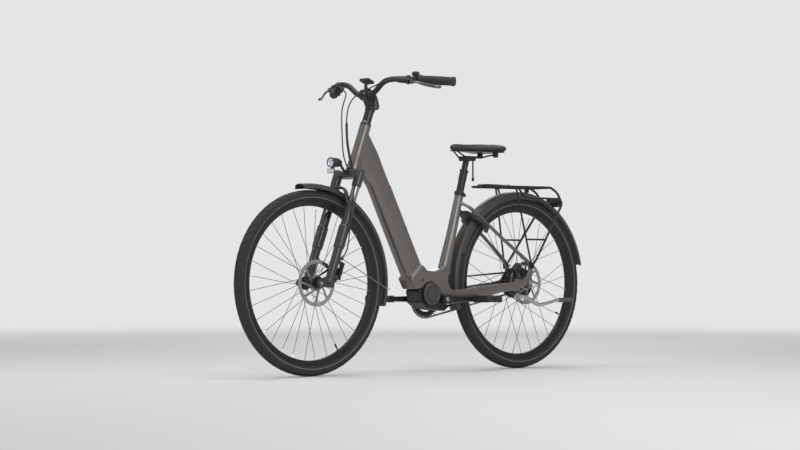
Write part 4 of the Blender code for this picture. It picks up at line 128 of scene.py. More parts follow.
# %% [markdown]
# ## The camera
# The photograph looks at the bicycle from ahead and from its left, from just under the height of the axles,
# with a long lens that keeps the two wheels nearly the same size. A camera can be aimed by hand until it
# seems right, but a few known points, such as the axles and the tops of the tyres, settle its place and its
# lens exactly.

# %% Camera
def added(name, data):
    piece = bpy.data.objects.new(name, data)
    bpy.context.scene.collection.objects.link(piece)
    return piece


camera_data = bpy.data.cameras.new("photo_camera")
camera_data.lens, camera_data.sensor_width = 90.83, 36.0
camera_data.clip_start, camera_data.clip_end = 0.05, 200.0
camera = added("photo_camera", camera_data)
yaw, pitch = math.radians(-131.817), math.radians(1.565)
looking = Vector((math.cos(yaw) * math.cos(pitch), math.sin(yaw) * math.cos(pitch), math.sin(pitch)))
camera.location = (5.4886, 6.0149, 0.3693)
camera.rotation_mode = "QUATERNION"
camera.rotation_quaternion = looking.to_track_quat("-Z", "Y")
bpy.context.scene.camera = camera
print("camera at", tuple(camera.location), "lens", camera_data.lens)

# %% [markdown]
# ## Floor and light
# The bicycle stands on a plain pale floor that runs on into a pale background, in even studio light. A wide
# soft lamp overhead draws the long highlights down the tubes, and two weaker ones fill in from the sides. The
# floor could be a real cyclorama with a curved back, but one wide sheet and a pale world look the same with
# less.

# %% Select one piece, and open it whole
def leave_all():
    if bpy.context.object and bpy.context.object.mode != "OBJECT":
        bpy.ops.object.mode_set(mode="OBJECT")
    bpy.ops.object.select_all(action="DESELECT")


def take(piece):
    leave_all()
    piece.select_set(True)
    bpy.context.view_layer.objects.active = piece
    return piece


def open_whole(piece):
    take(piece)
    bpy.ops.object.mode_set(mode="EDIT")
    bpy.ops.mesh.select_all(action="SELECT")


def close_clean(gap):
    """Merges points nearer than the gap, turns the faces outwards and leaves edit mode."""
    bpy.ops.mesh.select_all(action="SELECT")
    bpy.ops.mesh.remove_doubles(threshold=gap)
    bpy.ops.mesh.normals_make_consistent(inside=False)
    bpy.ops.object.mode_set(mode="OBJECT")


print("packed pieces to finish", len(frame["nodes"]))

# %% Small helpers for node trees
def new_material(name):
    material = bpy.data.materials.new(name)
    material.use_nodes = True
    material.node_tree.nodes.clear()
    return material


def add_node(material, kind, inputs=None, **settings):
    made = material.node_tree.nodes.new(kind)
    for word, value in settings.items():
        setattr(made, word, value)
    for socket, value in (inputs or {}).items():
        if isinstance(value, bpy.types.NodeSocket):
            material.node_tree.links.new(value, made.inputs[socket])
        else:
            made.inputs[socket].default_value = value
    return made


def rgba(colour, share=1.0):
    return tuple(min(1.0, c * share) for c in colour) + (1.0,)


def mixed(material, share, first, second):
    return add_node(material, "ShaderNodeMix", {0: share, 6: first, 7: second}, data_type="RGBA").outputs[2]

# %% Floor
PALE = (0.66, 0.66, 0.665)
BACKDROP = (0.97, 0.98, 1.0)
PALENESS = 0.80
leave_all()
bpy.ops.mesh.primitive_plane_add(size=60.0, location=(0.0, 0.0, 0.0))
floor = bpy.context.object
floor.name = "studio_floor"
floor_finish = new_material("pale_floor")
floor_paint = add_node(floor_finish, "ShaderNodeBsdfPrincipled",
                       {"Base Color": rgba(PALE), "Roughness": 0.75})
floor_place = add_node(floor_finish, "ShaderNodeTexCoord")
floor_reach = add_node(floor_finish, "ShaderNodeVectorMath", {0: floor_place.outputs["Object"]},
                       operation="LENGTH")
floor_fade = add_node(floor_finish, "ShaderNodeMapRange",
                      {"Value": floor_reach.outputs["Value"], "From Min": 2.0, "From Max": 9.0,
                       "To Min": 0.0, "To Max": 1.0}, interpolation_type="SMOOTHSTEP")
floor_far = add_node(floor_finish, "ShaderNodeEmission", {"Color": rgba(BACKDROP), "Strength": PALENESS})
floor_both = add_node(floor_finish, "ShaderNodeMixShader",
                      {0: floor_fade.outputs["Result"], 1: floor_paint.outputs[0], 2: floor_far.outputs[0]})
add_node(floor_finish, "ShaderNodeOutputMaterial", {"Surface": floor_both.outputs[0]})
floor.data.materials.append(floor_finish)
print("floor", tuple(floor.dimensions)[:2], "m")

# %% World
world = bpy.data.worlds.new("studio")
bpy.context.scene.world = world
world.use_nodes = True
world.node_tree.nodes.clear()
seen = add_node(world, "ShaderNodeLightPath")
shown_ray = add_node(world, "ShaderNodeMath",
                     {0: seen.outputs["Is Camera Ray"], 1: seen.outputs["Is Transmission Ray"]},
                     operation="MAXIMUM")
strength = add_node(world, "ShaderNodeMapRange",
                    {"Value": shown_ray.outputs[0], "To Min": 0.42, "To Max": PALENESS})
backdrop = add_node(world, "ShaderNodeBackground",
                    {"Color": rgba(BACKDROP), "Strength": strength.outputs["Result"]})
add_node(world, "ShaderNodeOutputWorld", {"Surface": backdrop.outputs[0]})
print("world", len(world.node_tree.nodes), "nodes")

# %% Lamps
def soft_lamp(name, place, aim, size, watts):
    data = bpy.data.lights.new(name, "AREA")
    data.shape, data.size, data.size_y, data.energy = "RECTANGLE", size[0], size[1], watts
    lamp = added(name, data)
    lamp.location = place
    lamp.rotation_euler = (Vector(aim) - Vector(place)).to_track_quat("-Z", "Y").to_euler()
    lamp.visible_camera = False
    return lamp


soft_lamp("overhead", (0.4, 0.2, 4.2), (0.0, 0.0, 0.5), (4.5, 2.2), 98.0)
soft_lamp("from_the_left", (1.2, 4.6, 2.2), (0.0, 0.0, 0.5), (3.0, 2.4), 70.0)
soft_lamp("from_ahead", (5.2, -1.2, 2.4), (0.2, 0.0, 0.6), (2.0, 2.6), 46.0)
soft_lamp("from_behind", (-3.4, -3.2, 2.6), (0.0, 0.0, 0.6), (2.4, 2.0), 42.0)
bpy.context.scene.view_settings.view_transform = "Standard"

# %% [markdown]
# ## One recipe for a hard surface
# Paint, cast metal and moulded plastic look different because of what happens below a millimetre: a grain
# that the light catches, and patches that are a little darker or shinier than the rest. The recipe reads
# Object coordinates, so the grain has the same real scale on every piece, and it drives colour, roughness and
# bump together. Picture textures would do as well, but a procedural grain never runs out of detail close up.

# %% A hard surface
def hard_finish(name, colour, roughness, metal=0.0, coat=0.0, grain=900.0, depth=0.00004,
                patches=0.10, spread=0.07, stretch=(1.0, 1.0, 1.0), grime=0.0):
    material = new_material(name)
    place = add_node(material, "ShaderNodeTexCoord")
    stretched = add_node(material, "ShaderNodeMapping", {"Vector": place.outputs["Object"], "Scale": stretch})
    fine = add_node(material, "ShaderNodeTexNoise",
                    {"Vector": stretched.outputs[0], "Scale": grain, "Detail": 3.0, "Roughness": 0.6})
    broad = add_node(material, "ShaderNodeTexNoise",
                     {"Vector": place.outputs["Object"], "Scale": 9.0, "Detail": 5.0, "Roughness": 0.55})
    speck = add_node(material, "ShaderNodeTexNoise",
                     {"Vector": place.outputs["Object"], "Scale": 140.0, "Detail": 2.0})
    seen_colour = mixed(material, broad.outputs["Fac"], rgba(colour, 1.0 - patches),
                        rgba(colour, 1.0 + patches))
    if grime:
        low_place = add_node(material, "ShaderNodeMapRange",
                             {"Value": speck.outputs["Fac"], "From Min": 0.52, "From Max": 0.75,
                              "To Min": 0.0, "To Max": grime})
        seen_colour = mixed(material, low_place.outputs["Result"], seen_colour, (0.16, 0.145, 0.125, 1.0))
    both = add_node(material, "ShaderNodeMath", {0: fine.outputs["Fac"], 1: broad.outputs["Fac"]},
                    operation="ADD")
    rough = add_node(material, "ShaderNodeMapRange",
                     {"Value": both.outputs[0], "From Min": 0.6, "From Max": 1.4,
                      "To Min": max(0.03, roughness - spread), "To Max": min(1.0, roughness + spread)})
    bump = add_node(material, "ShaderNodeBump",
                    {"Height": fine.outputs["Fac"], "Strength": 0.6, "Distance": depth})
    surface = add_node(material, "ShaderNodeBsdfPrincipled",
                       {"Base Color": seen_colour, "Roughness": rough.outputs["Result"],
                        "Metallic": metal, "Coat Weight": coat, "Coat Roughness": 0.10,
                        "Normal": bump.outputs[0]})
    add_node(material, "ShaderNodeOutputMaterial", {"Surface": surface.outputs[0]})
    return material

# %% Painted, moulded and rubber finishes
FRAME_PAINT = hard_finish("warm_grey_frame_paint", (0.165, 0.150, 0.138), 0.34, metal=0.60, coat=0.35,
                          grain=2600.0, depth=0.00003, patches=0.06, spread=0.06)
FORK_BLACK = hard_finish("satin_black_fork_paint", (0.030, 0.030, 0.031), 0.34, coat=0.25,
                         grain=1200.0, depth=0.00003, patches=0.10)
BLACK_PLASTIC = hard_finish("moulded_black_plastic", (0.019, 0.019, 0.020), 0.52,
                            grain=1100.0, depth=0.00006, patches=0.14)
GUARD_SKIN = hard_finish("dark_grey_guard_skin", (0.048, 0.046, 0.044), 0.40, coat=0.10,
                         grain=700.0, depth=0.00003, patches=0.12, grime=0.04)
GRIP_RUBBER = hard_finish("soft_grip_rubber", (0.024, 0.024, 0.025), 0.70, grain=1700.0,
                          depth=0.00010, patches=0.10)
HOSE_SKIN = hard_finish("hose_skin", (0.018, 0.018, 0.019), 0.40, grain=1800.0, depth=0.00002,
                        patches=0.08)
LAMP_BLACK = hard_finish("lamp_housing_plastic", (0.030, 0.030, 0.031), 0.36, coat=0.2,
                         grain=900.0, depth=0.00004, patches=0.10)
DISC_GREY = hard_finish("motor_disc_plastic", (0.050, 0.049, 0.048), 0.42,
                        grain=1300.0, depth=0.00005, patches=0.10)
GLOSS_BLACK = hard_finish("gloss_black_ring", (0.016, 0.016, 0.017), 0.16, coat=0.6, grain=900.0,
                          depth=0.00001, patches=0.06, spread=0.05)
SLEEVE_GREY = hard_finish("grey_rubber_sleeve", (0.085, 0.085, 0.084), 0.62, grain=1300.0, depth=0.00008,
                          patches=0.10)
SCREEN_GLASS = hard_finish("dark_screen_glass", (0.010, 0.011, 0.013), 0.07, coat=0.8, grain=500.0,
                           depth=0.000004, patches=0.05, spread=0.03)
print("finishes", len(bpy.data.materials))

# %% Metal finishes
SATIN_BLACK = hard_finish("satin_black_anodising", (0.022, 0.022, 0.023), 0.38, metal=0.35,
                          grain=1500.0, depth=0.00003, patches=0.15)
BARE_ALLOY = hard_finish("bare_turned_alloy", (0.52, 0.52, 0.52), 0.30, metal=1.0,
                         grain=1600.0, depth=0.00003, patches=0.08)
BRUSHED_STEEL = hard_finish("brushed_steel", (0.42, 0.42, 0.41), 0.28, metal=1.0,
                            grain=420.0, depth=0.00004, patches=0.12, stretch=(0.12, 1.0, 1.0))
CHAIN_STEEL = hard_finish("oiled_chain_steel", (0.30, 0.29, 0.27), 0.34, metal=1.0,
                          grain=900.0, depth=0.00004, patches=0.25, grime=0.20)
RIM_BLACK = hard_finish("anodised_black_rim", (0.024, 0.024, 0.025), 0.33, metal=0.45,
                        grain=900.0, depth=0.00003, patches=0.10)
SPACER_GREY = hard_finish("dark_grey_spacer", (0.055, 0.055, 0.057), 0.28, metal=0.6, grain=1200.0,
                          depth=0.00002, patches=0.10)
LEVER_ALLOY = hard_finish("brushed_lever_alloy", (0.150, 0.150, 0.152), 0.28, metal=1.0, grain=900.0,
                          depth=0.00002, patches=0.10)
print("finishes", len(bpy.data.materials))

# %% [markdown]
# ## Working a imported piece
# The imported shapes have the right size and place, but each is a shell of loose triangles with knife-sharp
# edges, and real edges are rounded: a cast edge by half a millimetre, a pressed one by less, and that thin
# round is what catches the light. So a copy is merged, its flat triangles are joined into whole faces, its
# edges are bevelled, and its shading is smoothed up to a chosen angle. Drawing all of them again would gain
# nothing but time.

# %% Merge, dissolve, bevel and smooth a copy
def merged_copy(node, name):
    piece = added(name, frame["nodes"][node].data.copy())
    piece.data.materials.clear()
    open_whole(piece)
    bpy.ops.mesh.remove_doubles(threshold=0.00002)
    bpy.ops.mesh.dissolve_limited(angle_limit=math.radians(1.0))
    bpy.ops.object.mode_set(mode="OBJECT")
    return piece


def apply_modifier(piece, kind, **settings):
    take(piece)
    modifier = piece.modifiers.new(kind.lower(), kind)
    for word, value in settings.items():
        setattr(modifier, word, value)
    bpy.ops.object.modifier_apply(modifier=modifier.name)


def bore(piece, *cutters):
    """Takes each cutter's shape out of the piece, and then removes the cutter."""
    for cutter in cutters:
        apply_modifier(piece, "BOOLEAN", operation="DIFFERENCE", object=cutter, solver="EXACT")
        bpy.data.objects.remove(cutter)


EDGE_ANGLE = 38.0


def round_edges(piece, width, degrees=EDGE_ANGLE):
    apply_modifier(piece, "BEVEL", width=width, segments=2, limit_method="ANGLE",
                   angle_limit=math.radians(degrees), use_clamp_overlap=True, miter_outer="MITER_ARC")


def smooth(piece, degrees=35.0):
    take(piece)
    bpy.ops.object.shade_smooth_by_angle(angle=math.radians(degrees))


print("edges sharper than", EDGE_ANGLE, "degrees get a bevel")

# %% Give a piece its finish and its body
def fitted(piece, material, body):
    piece.data.materials.clear()
    piece.data.materials.append(material)
    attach(piece, body)
    return piece


def stand_in_for(piece, material, node):
    """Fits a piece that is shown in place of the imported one."""
    fitted(piece, material, frame["nodes"][node]["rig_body"])
    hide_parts(node)
    return piece


def worked(node, material, width, degrees):
    piece = merged_copy(node, node + "_worked")
    if width:
        round_edges(piece, width)
    smooth(piece, degrees)
    return stand_in_for(piece, material, node)


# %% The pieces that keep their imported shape
for node, material, width, degrees, slot in (
    ("battery_cover", FRAME_PAINT, 0.0006, 40.0, "frame_paint"),
    ("rear_light", BLACK_PLASTIC, 0.0008, 35.0, "rear_lens"),
    ("rear_axle", BRUSHED_STEEL, 0.0004, 35.0, "brushed_steel"),
    ("front_mudguard_stay", BRUSHED_STEEL, 0.0, 50.0, "brushed_steel"),
    ("front_axle", BRUSHED_STEEL, 0.0004, 35.0, "brushed_steel"),
    ("rear_sprocket", CHAIN_STEEL, 0.0002, 35.0, "chain_steel"),
    ("chainring", SATIN_BLACK, 0.0002, 35.0, "satin_black"),
    ("remote_rocker", BLACK_PLASTIC, 0.0004, 35.0, "black_plastic"),
    ("shifter_ring", GRIP_RUBBER, 0.0004, 35.0, "grip_rubber"),
    ("saddle_frame", SATIN_BLACK, 0.0, 50.0, "satin_black"),
    ("lock_bolt", BRUSHED_STEEL, 0.0003, 35.0, "brushed_steel"),
    ("rack_clamp", SATIN_BLACK, 0.0003, 35.0, "satin_black"),
):
    worked(node, material, width, degrees)

# %% [markdown]
# ## Moulded housings
# The motor's cover, the calipers and the small housings on the bar are cast or moulded, so their surfaces run
# into each other without a crease. Each copy gets an even skin of small faces, which is relaxed until its
# corners are rounded, and is then thinned out where it is flat. A bevel alone would leave a hard line
# wherever two shapes meet.

# %% Even skin, relaxed and thinned
KEPT_FACES = 0.5


def even_skin(piece, voxel, rounds):
    apply_modifier(piece, "REMESH", mode="VOXEL", voxel_size=voxel, adaptivity=0.0)
    apply_modifier(piece, "SMOOTH", factor=0.5, iterations=rounds)
    apply_modifier(piece, "DECIMATE", ratio=KEPT_FACES)
    smooth(piece, 45.0)
    return piece


print("an even skin keeps", KEPT_FACES, "of its faces")

# %% Housings with an even skin
for node, material, voxel, rounds, slot in (
    ("motor", BLACK_PLASTIC, 0.0014, 3, "black_plastic"),
    ("skid_guard", BLACK_PLASTIC, 0.0010, 3, "black_plastic"),
    ("left_pedal", BLACK_PLASTIC, 0.0010, 3, "black_plastic"),
    ("right_pedal", BLACK_PLASTIC, 0.0010, 3, "black_plastic"),
    ("front_caliper", SATIN_BLACK, 0.0007, 3, "satin_black"),
    ("rear_caliper", SATIN_BLACK, 0.0007, 3, "satin_black"),
    ("lamp_bracket", SATIN_BLACK, 0.0007, 2, "satin_black"),
    ("remote", BLACK_PLASTIC, 0.0006, 14, "black_plastic"),
    ("shifter_housing", BLACK_PLASTIC, 0.0007, 4, "black_plastic"),
    ("lock_housing", BLACK_PLASTIC, 0.0010, 3, "black_plastic"),
    ("kickstand_bracket", SATIN_BLACK, 0.0007, 3, "satin_black"),
):
    piece = even_skin(merged_copy(node, node + "_moulded"), voxel, rounds)
    stand_in_for(piece, material, node)
    print(piece.name, len(piece.data.polygons), "faces")

# %% [markdown]
# ## Turning on a lathe
# Tyres, rims, hubs and grips are all round, so each is a profile spun about its axis. The profile starts as
# one point, which is extruded from corner to corner as if drawn by hand. A curve with a bevel could make the
# round ones too, but it can't give a hub its flanges.

# %% Draw a profile
TOUCHING = 0.000001


def drawn_wire(name, points):
    """Edges from point to point, extruded one after the other."""
    leave_all()
    bpy.ops.mesh.primitive_plane_add(size=0.01, location=points[0])
    piece = bpy.context.object
    piece.name = piece.data.name = name
    bpy.ops.object.transform_apply(location=True, rotation=True, scale=True)
    bpy.ops.object.mode_set(mode="EDIT")
    bpy.ops.mesh.merge(type="CENTER")
    for before, after in zip(points, points[1:]):
        bpy.ops.mesh.extrude_region_move(TRANSFORM_OT_translate={"value": Vector(after) - Vector(before)})
    bpy.ops.object.mode_set(mode="OBJECT")
    return piece


print("points of a wire touch within", TOUCHING, "m")

# %% Spin it into a piece
def turned(name, profile, centre, axis, steps, closed=False, across=None):
    """A profile of (distance along the axis, radius) pairs, spun right round the axis."""
    axis = Vector(axis).normalized()
    if across is None:
        across = Vector((1.0, 0.0, 0.0)) if abs(axis.x) < 0.9 else Vector((0.0, 0.0, 1.0))
    across = (across - axis * across.dot(axis)).normalized()
    points = [Vector(centre) + axis * d + across * r for d, r in profile]
    piece = drawn_wire(name, points + points[:1] if closed else points)
    open_whole(piece)
    bpy.ops.mesh.remove_doubles(threshold=TOUCHING)
    bpy.ops.mesh.select_all(action="SELECT")
    bpy.ops.mesh.spin(steps=steps, angle=2 * math.pi, center=centre, axis=axis)
    close_clean(TOUCHING)
    return piece


def join_all(pieces, name):
    leave_all()
    for piece in pieces:
        piece.select_set(True)
    bpy.context.view_layer.objects.active = pieces[0]
    bpy.ops.object.join()
    pieces[0].name = pieces[0].data.name = name
    return pieces[0]

# %% [markdown]
# ## Tyres
# A city tyre has a plain sidewall and a tread of slanted blocks with narrow grooves between them, cut finer
# at its shoulders. One pitch of the tread is modelled: a short stretch of the tyre's skin, whose block faces
# are raised. Its points are then slanted into an arrow shape, and the pitch is spun round the axle. Bump
# alone would be lighter, but its edge against the floor would stay smooth, and there a tread shows most.

# %% One pitch of tread
TYRE_HALF = [(0.0, 0.3568), (0.0022, 0.3567), (0.0030, 0.3566), (0.0085, 0.3559), (0.0094, 0.3557),
             (0.0150, 0.3531), (0.0159, 0.3526), (0.0195, 0.3498), (0.0215, 0.3470), (0.0229, 0.3430),
             (0.0235, 0.3372), (0.0230, 0.3320), (0.0214, 0.3272), (0.0180, 0.3230), (0.0135, 0.3195),
             (0.0111, 0.3178), (0.0106, 0.3118)]
TREAD_PITCHES = 60
TYRE_RADIUS, TREAD_HALF = 0.358, 0.0235


def tread_skin(name, axle, pitch):
    whole = [(-d, r) for d, r in reversed(TYRE_HALF)] + TYRE_HALF[1:]
    piece = drawn_wire(name, [axle + ACROSS * d + Vector((r, 0.0, 0.0)) for d, r in whole])
    open_whole(piece)
    bpy.ops.mesh.spin(steps=6, angle=pitch, center=axle, axis=ACROSS)
    bpy.ops.mesh.select_all(action="SELECT")
    bpy.ops.mesh.normals_make_consistent(inside=False)
    bpy.ops.object.mode_set(mode="OBJECT")
    return piece


print("a pitch of the tread is", round(2000 * math.pi * TYRE_RADIUS / TREAD_PITCHES, 1), "mm long")

# %% [markdown]
# A tread's blocks are moulded, and the mould's makers cut them to a drawing of one pitch. Here the skin has
# six steps along the pitch, and each block is a few of its faces. The steps are moved to unequal widths and
# slanted towards the shoulder, and the blocks stay selected for the next step, which raises them. Drawing
# each block on its own would leave gaps between it and the skin below.

# %% Mark the blocks and slant them
def tread_pitch(name, axle):
    pitch = 2 * math.pi / TREAD_PITCHES
    piece = tread_skin(name, axle, pitch)
    shape = bmesh.new()
    shape.from_mesh(piece.data)
    turns = sorted({round(math.atan2(v.co.z - axle.z, v.co.x - axle.x), 5) for v in shape.verts})
    moved = [turns[0], turns[0] + pitch * 0.10, turns[0] + pitch * 0.12, turns[0] + pitch * 0.50,
             turns[0] + pitch * 0.58, turns[0] + pitch * 0.88, turns[-1]]
    blocks = ((0.0026, 0.0090, 0, 2), (0.0026, 0.0090, 3, 5), (0.0090, 0.0155, 1, 3), (0.0155, 0.0216, 1, 3),
              (0.0155, 0.0216, 4, 5), (0.0090, 0.0155, 4, 5), (0.0, 0.0026, 1, 3))
    for face in shape.faces:
        middle = face.calc_center_median() - axle
        step = int((math.atan2(middle.z, middle.x) - turns[0]) / (pitch / 6))
        side = abs(middle.y)
        outside = face.normal.dot(Vector((middle.x, 0.0, middle.z)).normalized()) > 0.35
        face.select = outside and any(low < side < high and first <= step < last
                                      for low, high, first, last in blocks)
    for vert in shape.verts:
        offset = vert.co - axle
        turn, radius = math.atan2(offset.z, offset.x), math.hypot(offset.x, offset.z)
        step = min(range(7), key=lambda i: abs(turns[i] - turn))
        slant = 0.62 * pitch * min(abs(offset.y), TREAD_HALF) / TREAD_HALF if radius > 0.330 else 0.0
        slant *= min(1.0, max(0.0, (radius - 0.330) / 0.016))
        angle = moved[step] + slant
        vert.co = axle + Vector((radius * math.cos(angle), offset.y, radius * math.sin(angle)))
    shape.to_mesh(piece.data)
    shape.free()
    return piece

# %% Raise the blocks and spin the pitch round
def treaded_tyre(name, axle):
    piece = tread_pitch(name, axle)
    take(piece)
    bpy.ops.object.mode_set(mode="EDIT")
    bpy.ops.mesh.extrude_region_shrink_fatten(TRANSFORM_OT_shrink_fatten={"value": 0.0012})
    bpy.ops.mesh.select_all(action="SELECT")
    bpy.ops.mesh.spin(steps=TREAD_PITCHES, dupli=True, angle=2 * math.pi, center=axle, axis=ACROSS)
    close_clean(0.00008)
    for vert in piece.data.vertices:
        offset = vert.co - axle
        radius = math.hypot(offset.x, offset.z)
        if radius > TYRE_RADIUS:
            vert.co = axle + Vector((offset.x * TYRE_RADIUS / radius, offset.y,
                                     offset.z * TYRE_RADIUS / radius))
    smooth(piece, 32.0)
    print(name, len(piece.data.polygons), "faces")
    return piece

# %% Read a finish, and measure from an axle
def paint_of(material):
    surface = next(n for n in material.node_tree.nodes if n.type == "BSDF_PRINCIPLED")
    return surface, surface.inputs["Base Color"].links[0].from_socket


def from_axle(material, axle):
    """The distance of a point from the axle's line, as a socket."""
    place = add_node(material, "ShaderNodeTexCoord")
    offset = add_node(material, "ShaderNodeVectorMath", {0: place.outputs["Object"], 1: axle},
                      operation="SUBTRACT")
    flat = add_node(material, "ShaderNodeVectorMath", {0: offset.outputs[0], 1: (1.0, 0.0, 1.0)},
                    operation="MULTIPLY")
    return add_node(material, "ShaderNodeVectorMath", {0: flat.outputs[0]},
                    operation="LENGTH").outputs["Value"]


LINE_RADIUS, LINE_HALF_WIDTH = 0.3300, 0.0011
print("reflecting line at", LINE_RADIUS, "m from the axle")

# %% Rubber with a reflecting line on the sidewall
def tyre_finish(name, axle):
    material = hard_finish(name, (0.022, 0.022, 0.022), 0.80, grain=1300.0, depth=0.00010,
                           patches=0.14, spread=0.08, grime=0.06)
    surface, rubber = paint_of(material)
    on_line = add_node(material, "ShaderNodeMath",
                       {0: from_axle(material, axle), 1: LINE_RADIUS, 2: LINE_HALF_WIDTH},
                       operation="COMPARE")
    line = mixed(material, on_line.outputs[0], rubber, (0.20, 0.20, 0.195, 1.0))
    material.node_tree.links.new(line, surface.inputs["Base Color"])
    return material


for end, axle in (("front", FRONT_AXLE), ("rear", REAR_AXLE)):
    tyre = treaded_tyre(end + "_treaded_tyre", axle)
    stand_in_for(tyre, tyre_finish(end + "_tyre_finish", axle), end + "_tyre")

# %% [markdown]
# ## Rims
# The rim is a hollow black alloy section with a shallow V towards the hub. It is one closed profile, spun.

# %% Rims
RIM_HALF = [(0.0, 0.2962), (0.0040, 0.2965), (0.0075, 0.2978), (0.0098, 0.3040), (0.0112, 0.3105),
            (0.0124, 0.3160), (0.0125, 0.3174), (0.0116, 0.3175), (0.0109, 0.3168), (0.0107, 0.3120),
            (0.0060, 0.3100), (0.0, 0.3092)]
for end, axle in (("front", FRONT_AXLE), ("rear", REAR_AXLE)):
    loop = RIM_HALF + [(-d, r) for d, r in reversed(RIM_HALF[1:-1])]
    rim = turned(end + "_spun_rim", loop, axle, ACROSS, 128, closed=True)
    smooth(rim, 30.0)
    stand_in_for(rim, RIM_BLACK, end + "_rim")
print("rims", len(rim.data.polygons), "faces each")

# %% [markdown]
# ## Hubs, spokes and nipples
# Each hub is turned from a bar, with two flanges that the spokes hook into. The 32 spokes leave the flanges
# on a tangent, by turns ahead and behind, and end in bright brass nipples in the rim. One spoke and one
# nipple are made, and the rest are copies, placed by the pattern in which a wheel is laced.

# %% A bar along a path
def made_mesh(name, curve):
    piece = added(name, curve)
    take(piece)
    bpy.ops.object.convert(target="MESH")
    piece = bpy.context.object
    open_whole(piece)
    close_clean(2 * TOUCHING)
    return piece


def bar_along(name, points, radius, resolution=3):
    curve = bpy.data.curves.new(name, "CURVE")
    curve.dimensions = "3D"
    curve.bevel_depth, curve.bevel_resolution = radius, resolution
    curve.use_fill_caps = True
    spline = curve.splines.new("POLY")
    spline.points.add(len(points) - 1)
    for spot, point in zip(spline.points, points):
        spot.co = (*Vector(point), 1.0)
    return made_mesh(name, curve)


def moved_copy(piece, name, matrix):
    copy = added(name, piece.data.copy())
    copy.data.transform(matrix)
    return copy


def turn_about(centre, axis, angle):
    return Matrix.Translation(centre) @ Matrix.Rotation(angle, 4, axis) @ Matrix.Translation(-Vector(centre))

# %% Lace a wheel
SPOKES = 32


def laced_spokes(end, axle, flange, side_place):
    wires, nipples = [], []
    for hand in (1, -1):
        for lean in (1, -1):
            i = 0 if lean > 0 else 1
            seat = 360.0 * (2 * i + (0.5 if hand > 0 else 1.5)) / SPOKES
            side = hand * side_place
            elbow = around(axle, flange - 0.0035, seat - lean * 52.0, side + lean * 0.0030)
            inside = around(axle, flange - 0.0035, seat - lean * 52.0, side - lean * 0.0034)
            tip = around(axle, 0.2975, seat, hand * 0.0016 + lean * 0.0008)
            run = (tip - elbow).normalized()
            wire = bar_along("wire", [inside, elbow - run * 0.0004, elbow + run * 0.004, tip], 0.00105, 2)
            barrel = [(-0.0130, 0.00125), (-0.0128, 0.00175), (-0.0110, 0.0019), (-0.0020, 0.0021),
                      (0.0, 0.0027), (0.0012, 0.0027), (0.0018, 0.0016)]
            nipple = turned("nipple", barrel, tip, run, 8)
            smooth(wire, 60.0)
            smooth(nipple, 40.0)
            for k in range(SPOKES // 4):
                spin = turn_about(axle, "Y", -math.radians(360.0 * 4 * k / SPOKES))
                wires.append(moved_copy(wire, "wire_copy", spin))
                nipples.append(moved_copy(nipple, "nipple_copy", spin))
            bpy.data.objects.remove(wire)
            bpy.data.objects.remove(nipple)
    return join_all(wires, end + "_spokes"), join_all(nipples, end + "_nipples")


print("spokes in a wheel", SPOKES)

# %% Profiles and finishes of the hubs
FRONT_HUB = [(-0.0547, 0.0), (-0.0547, 0.0088), (-0.0540, 0.0105), (-0.0400, 0.0112), (-0.0345, 0.0128),
             (-0.0318, 0.0180), (-0.0308, 0.0255), (-0.0300, 0.0265), (-0.0243, 0.0265), (-0.0233, 0.0255),
             (-0.0222, 0.0195), (-0.0190, 0.0158), (0.0190, 0.0158), (0.0222, 0.0195), (0.0233, 0.0255),
             (0.0243, 0.0265), (0.0300, 0.0265), (0.0308, 0.0255), (0.0318, 0.0180), (0.0350, 0.0163),
             (0.0440, 0.0163), (0.0448, 0.0120), (0.0540, 0.0105), (0.0547, 0.0088), (0.0547, 0.0)]
REAR_HUB = [(-0.0425, 0.0), (-0.0425, 0.0230), (-0.0415, 0.0250), (-0.0350, 0.0385), (-0.0320, 0.0440),
            (-0.0312, 0.0610), (-0.0303, 0.0630), (-0.0240, 0.0630), (-0.0230, 0.0610), (-0.0215, 0.0550),
            (-0.0195, 0.0540), (0.0195, 0.0540), (0.0215, 0.0550), (0.0230, 0.0610), (0.0240, 0.0630),
            (0.0303, 0.0630), (0.0312, 0.0610), (0.0325, 0.0430), (0.0440, 0.0290), (0.0458, 0.0170),
            (0.0555, 0.0163), (0.0560, 0.0112), (0.0665, 0.0110), (0.0672, 0.0095), (0.0672, 0.0)]
HUB_BLACK = hard_finish("anodised_hub_shell", (0.028, 0.028, 0.030), 0.28, metal=0.6, grain=500.0,
                        depth=0.00003, patches=0.12)
SPOKE_BLACK = hard_finish("black_spoke_wire", (0.060, 0.060, 0.062), 0.30, metal=0.8, grain=1500.0,
                          depth=0.00001, patches=0.15)
NIPPLE_BRIGHT = hard_finish("bright_nipple", (0.72, 0.70, 0.66), 0.25, metal=1.0, grain=1500.0,
                            depth=0.00002, patches=0.10)
print("hub profiles of", len(FRONT_HUB), "and", len(REAR_HUB), "points")

# %% Turn the hubs and lace them
for end, axle, profile, flange in (("front", FRONT_AXLE, FRONT_HUB, 0.0265),
                                   ("rear", REAR_AXLE, REAR_HUB, 0.063)):
    shell = turned(end + "_turned_hub", profile, axle, ACROSS, 72)
    smooth(shell, 28.0)
    stand_in_for(shell, HUB_BLACK, end + "_hub")
    spokes, nipples = laced_spokes(end, axle, flange, 0.027)
    for piece, material in ((spokes, SPOKE_BLACK), (nipples, NIPPLE_BRIGHT)):
        fitted(piece, material, end + "_wheel")
    print(end, "spokes", len(spokes.data.polygons), "nipples", len(nipples.data.polygons))

# %% [markdown]
# ## Brake discs
# A brake disc is laser-cut from 2 mm steel: an outer track with rows of small holes that shed water, and
# slanting arms to the middle. A flat filled curve takes any number of holes and windows at once, where
# Booleans would cut them one by one, so the disc is drawn flat, given its thickness, and stood up on the hub.

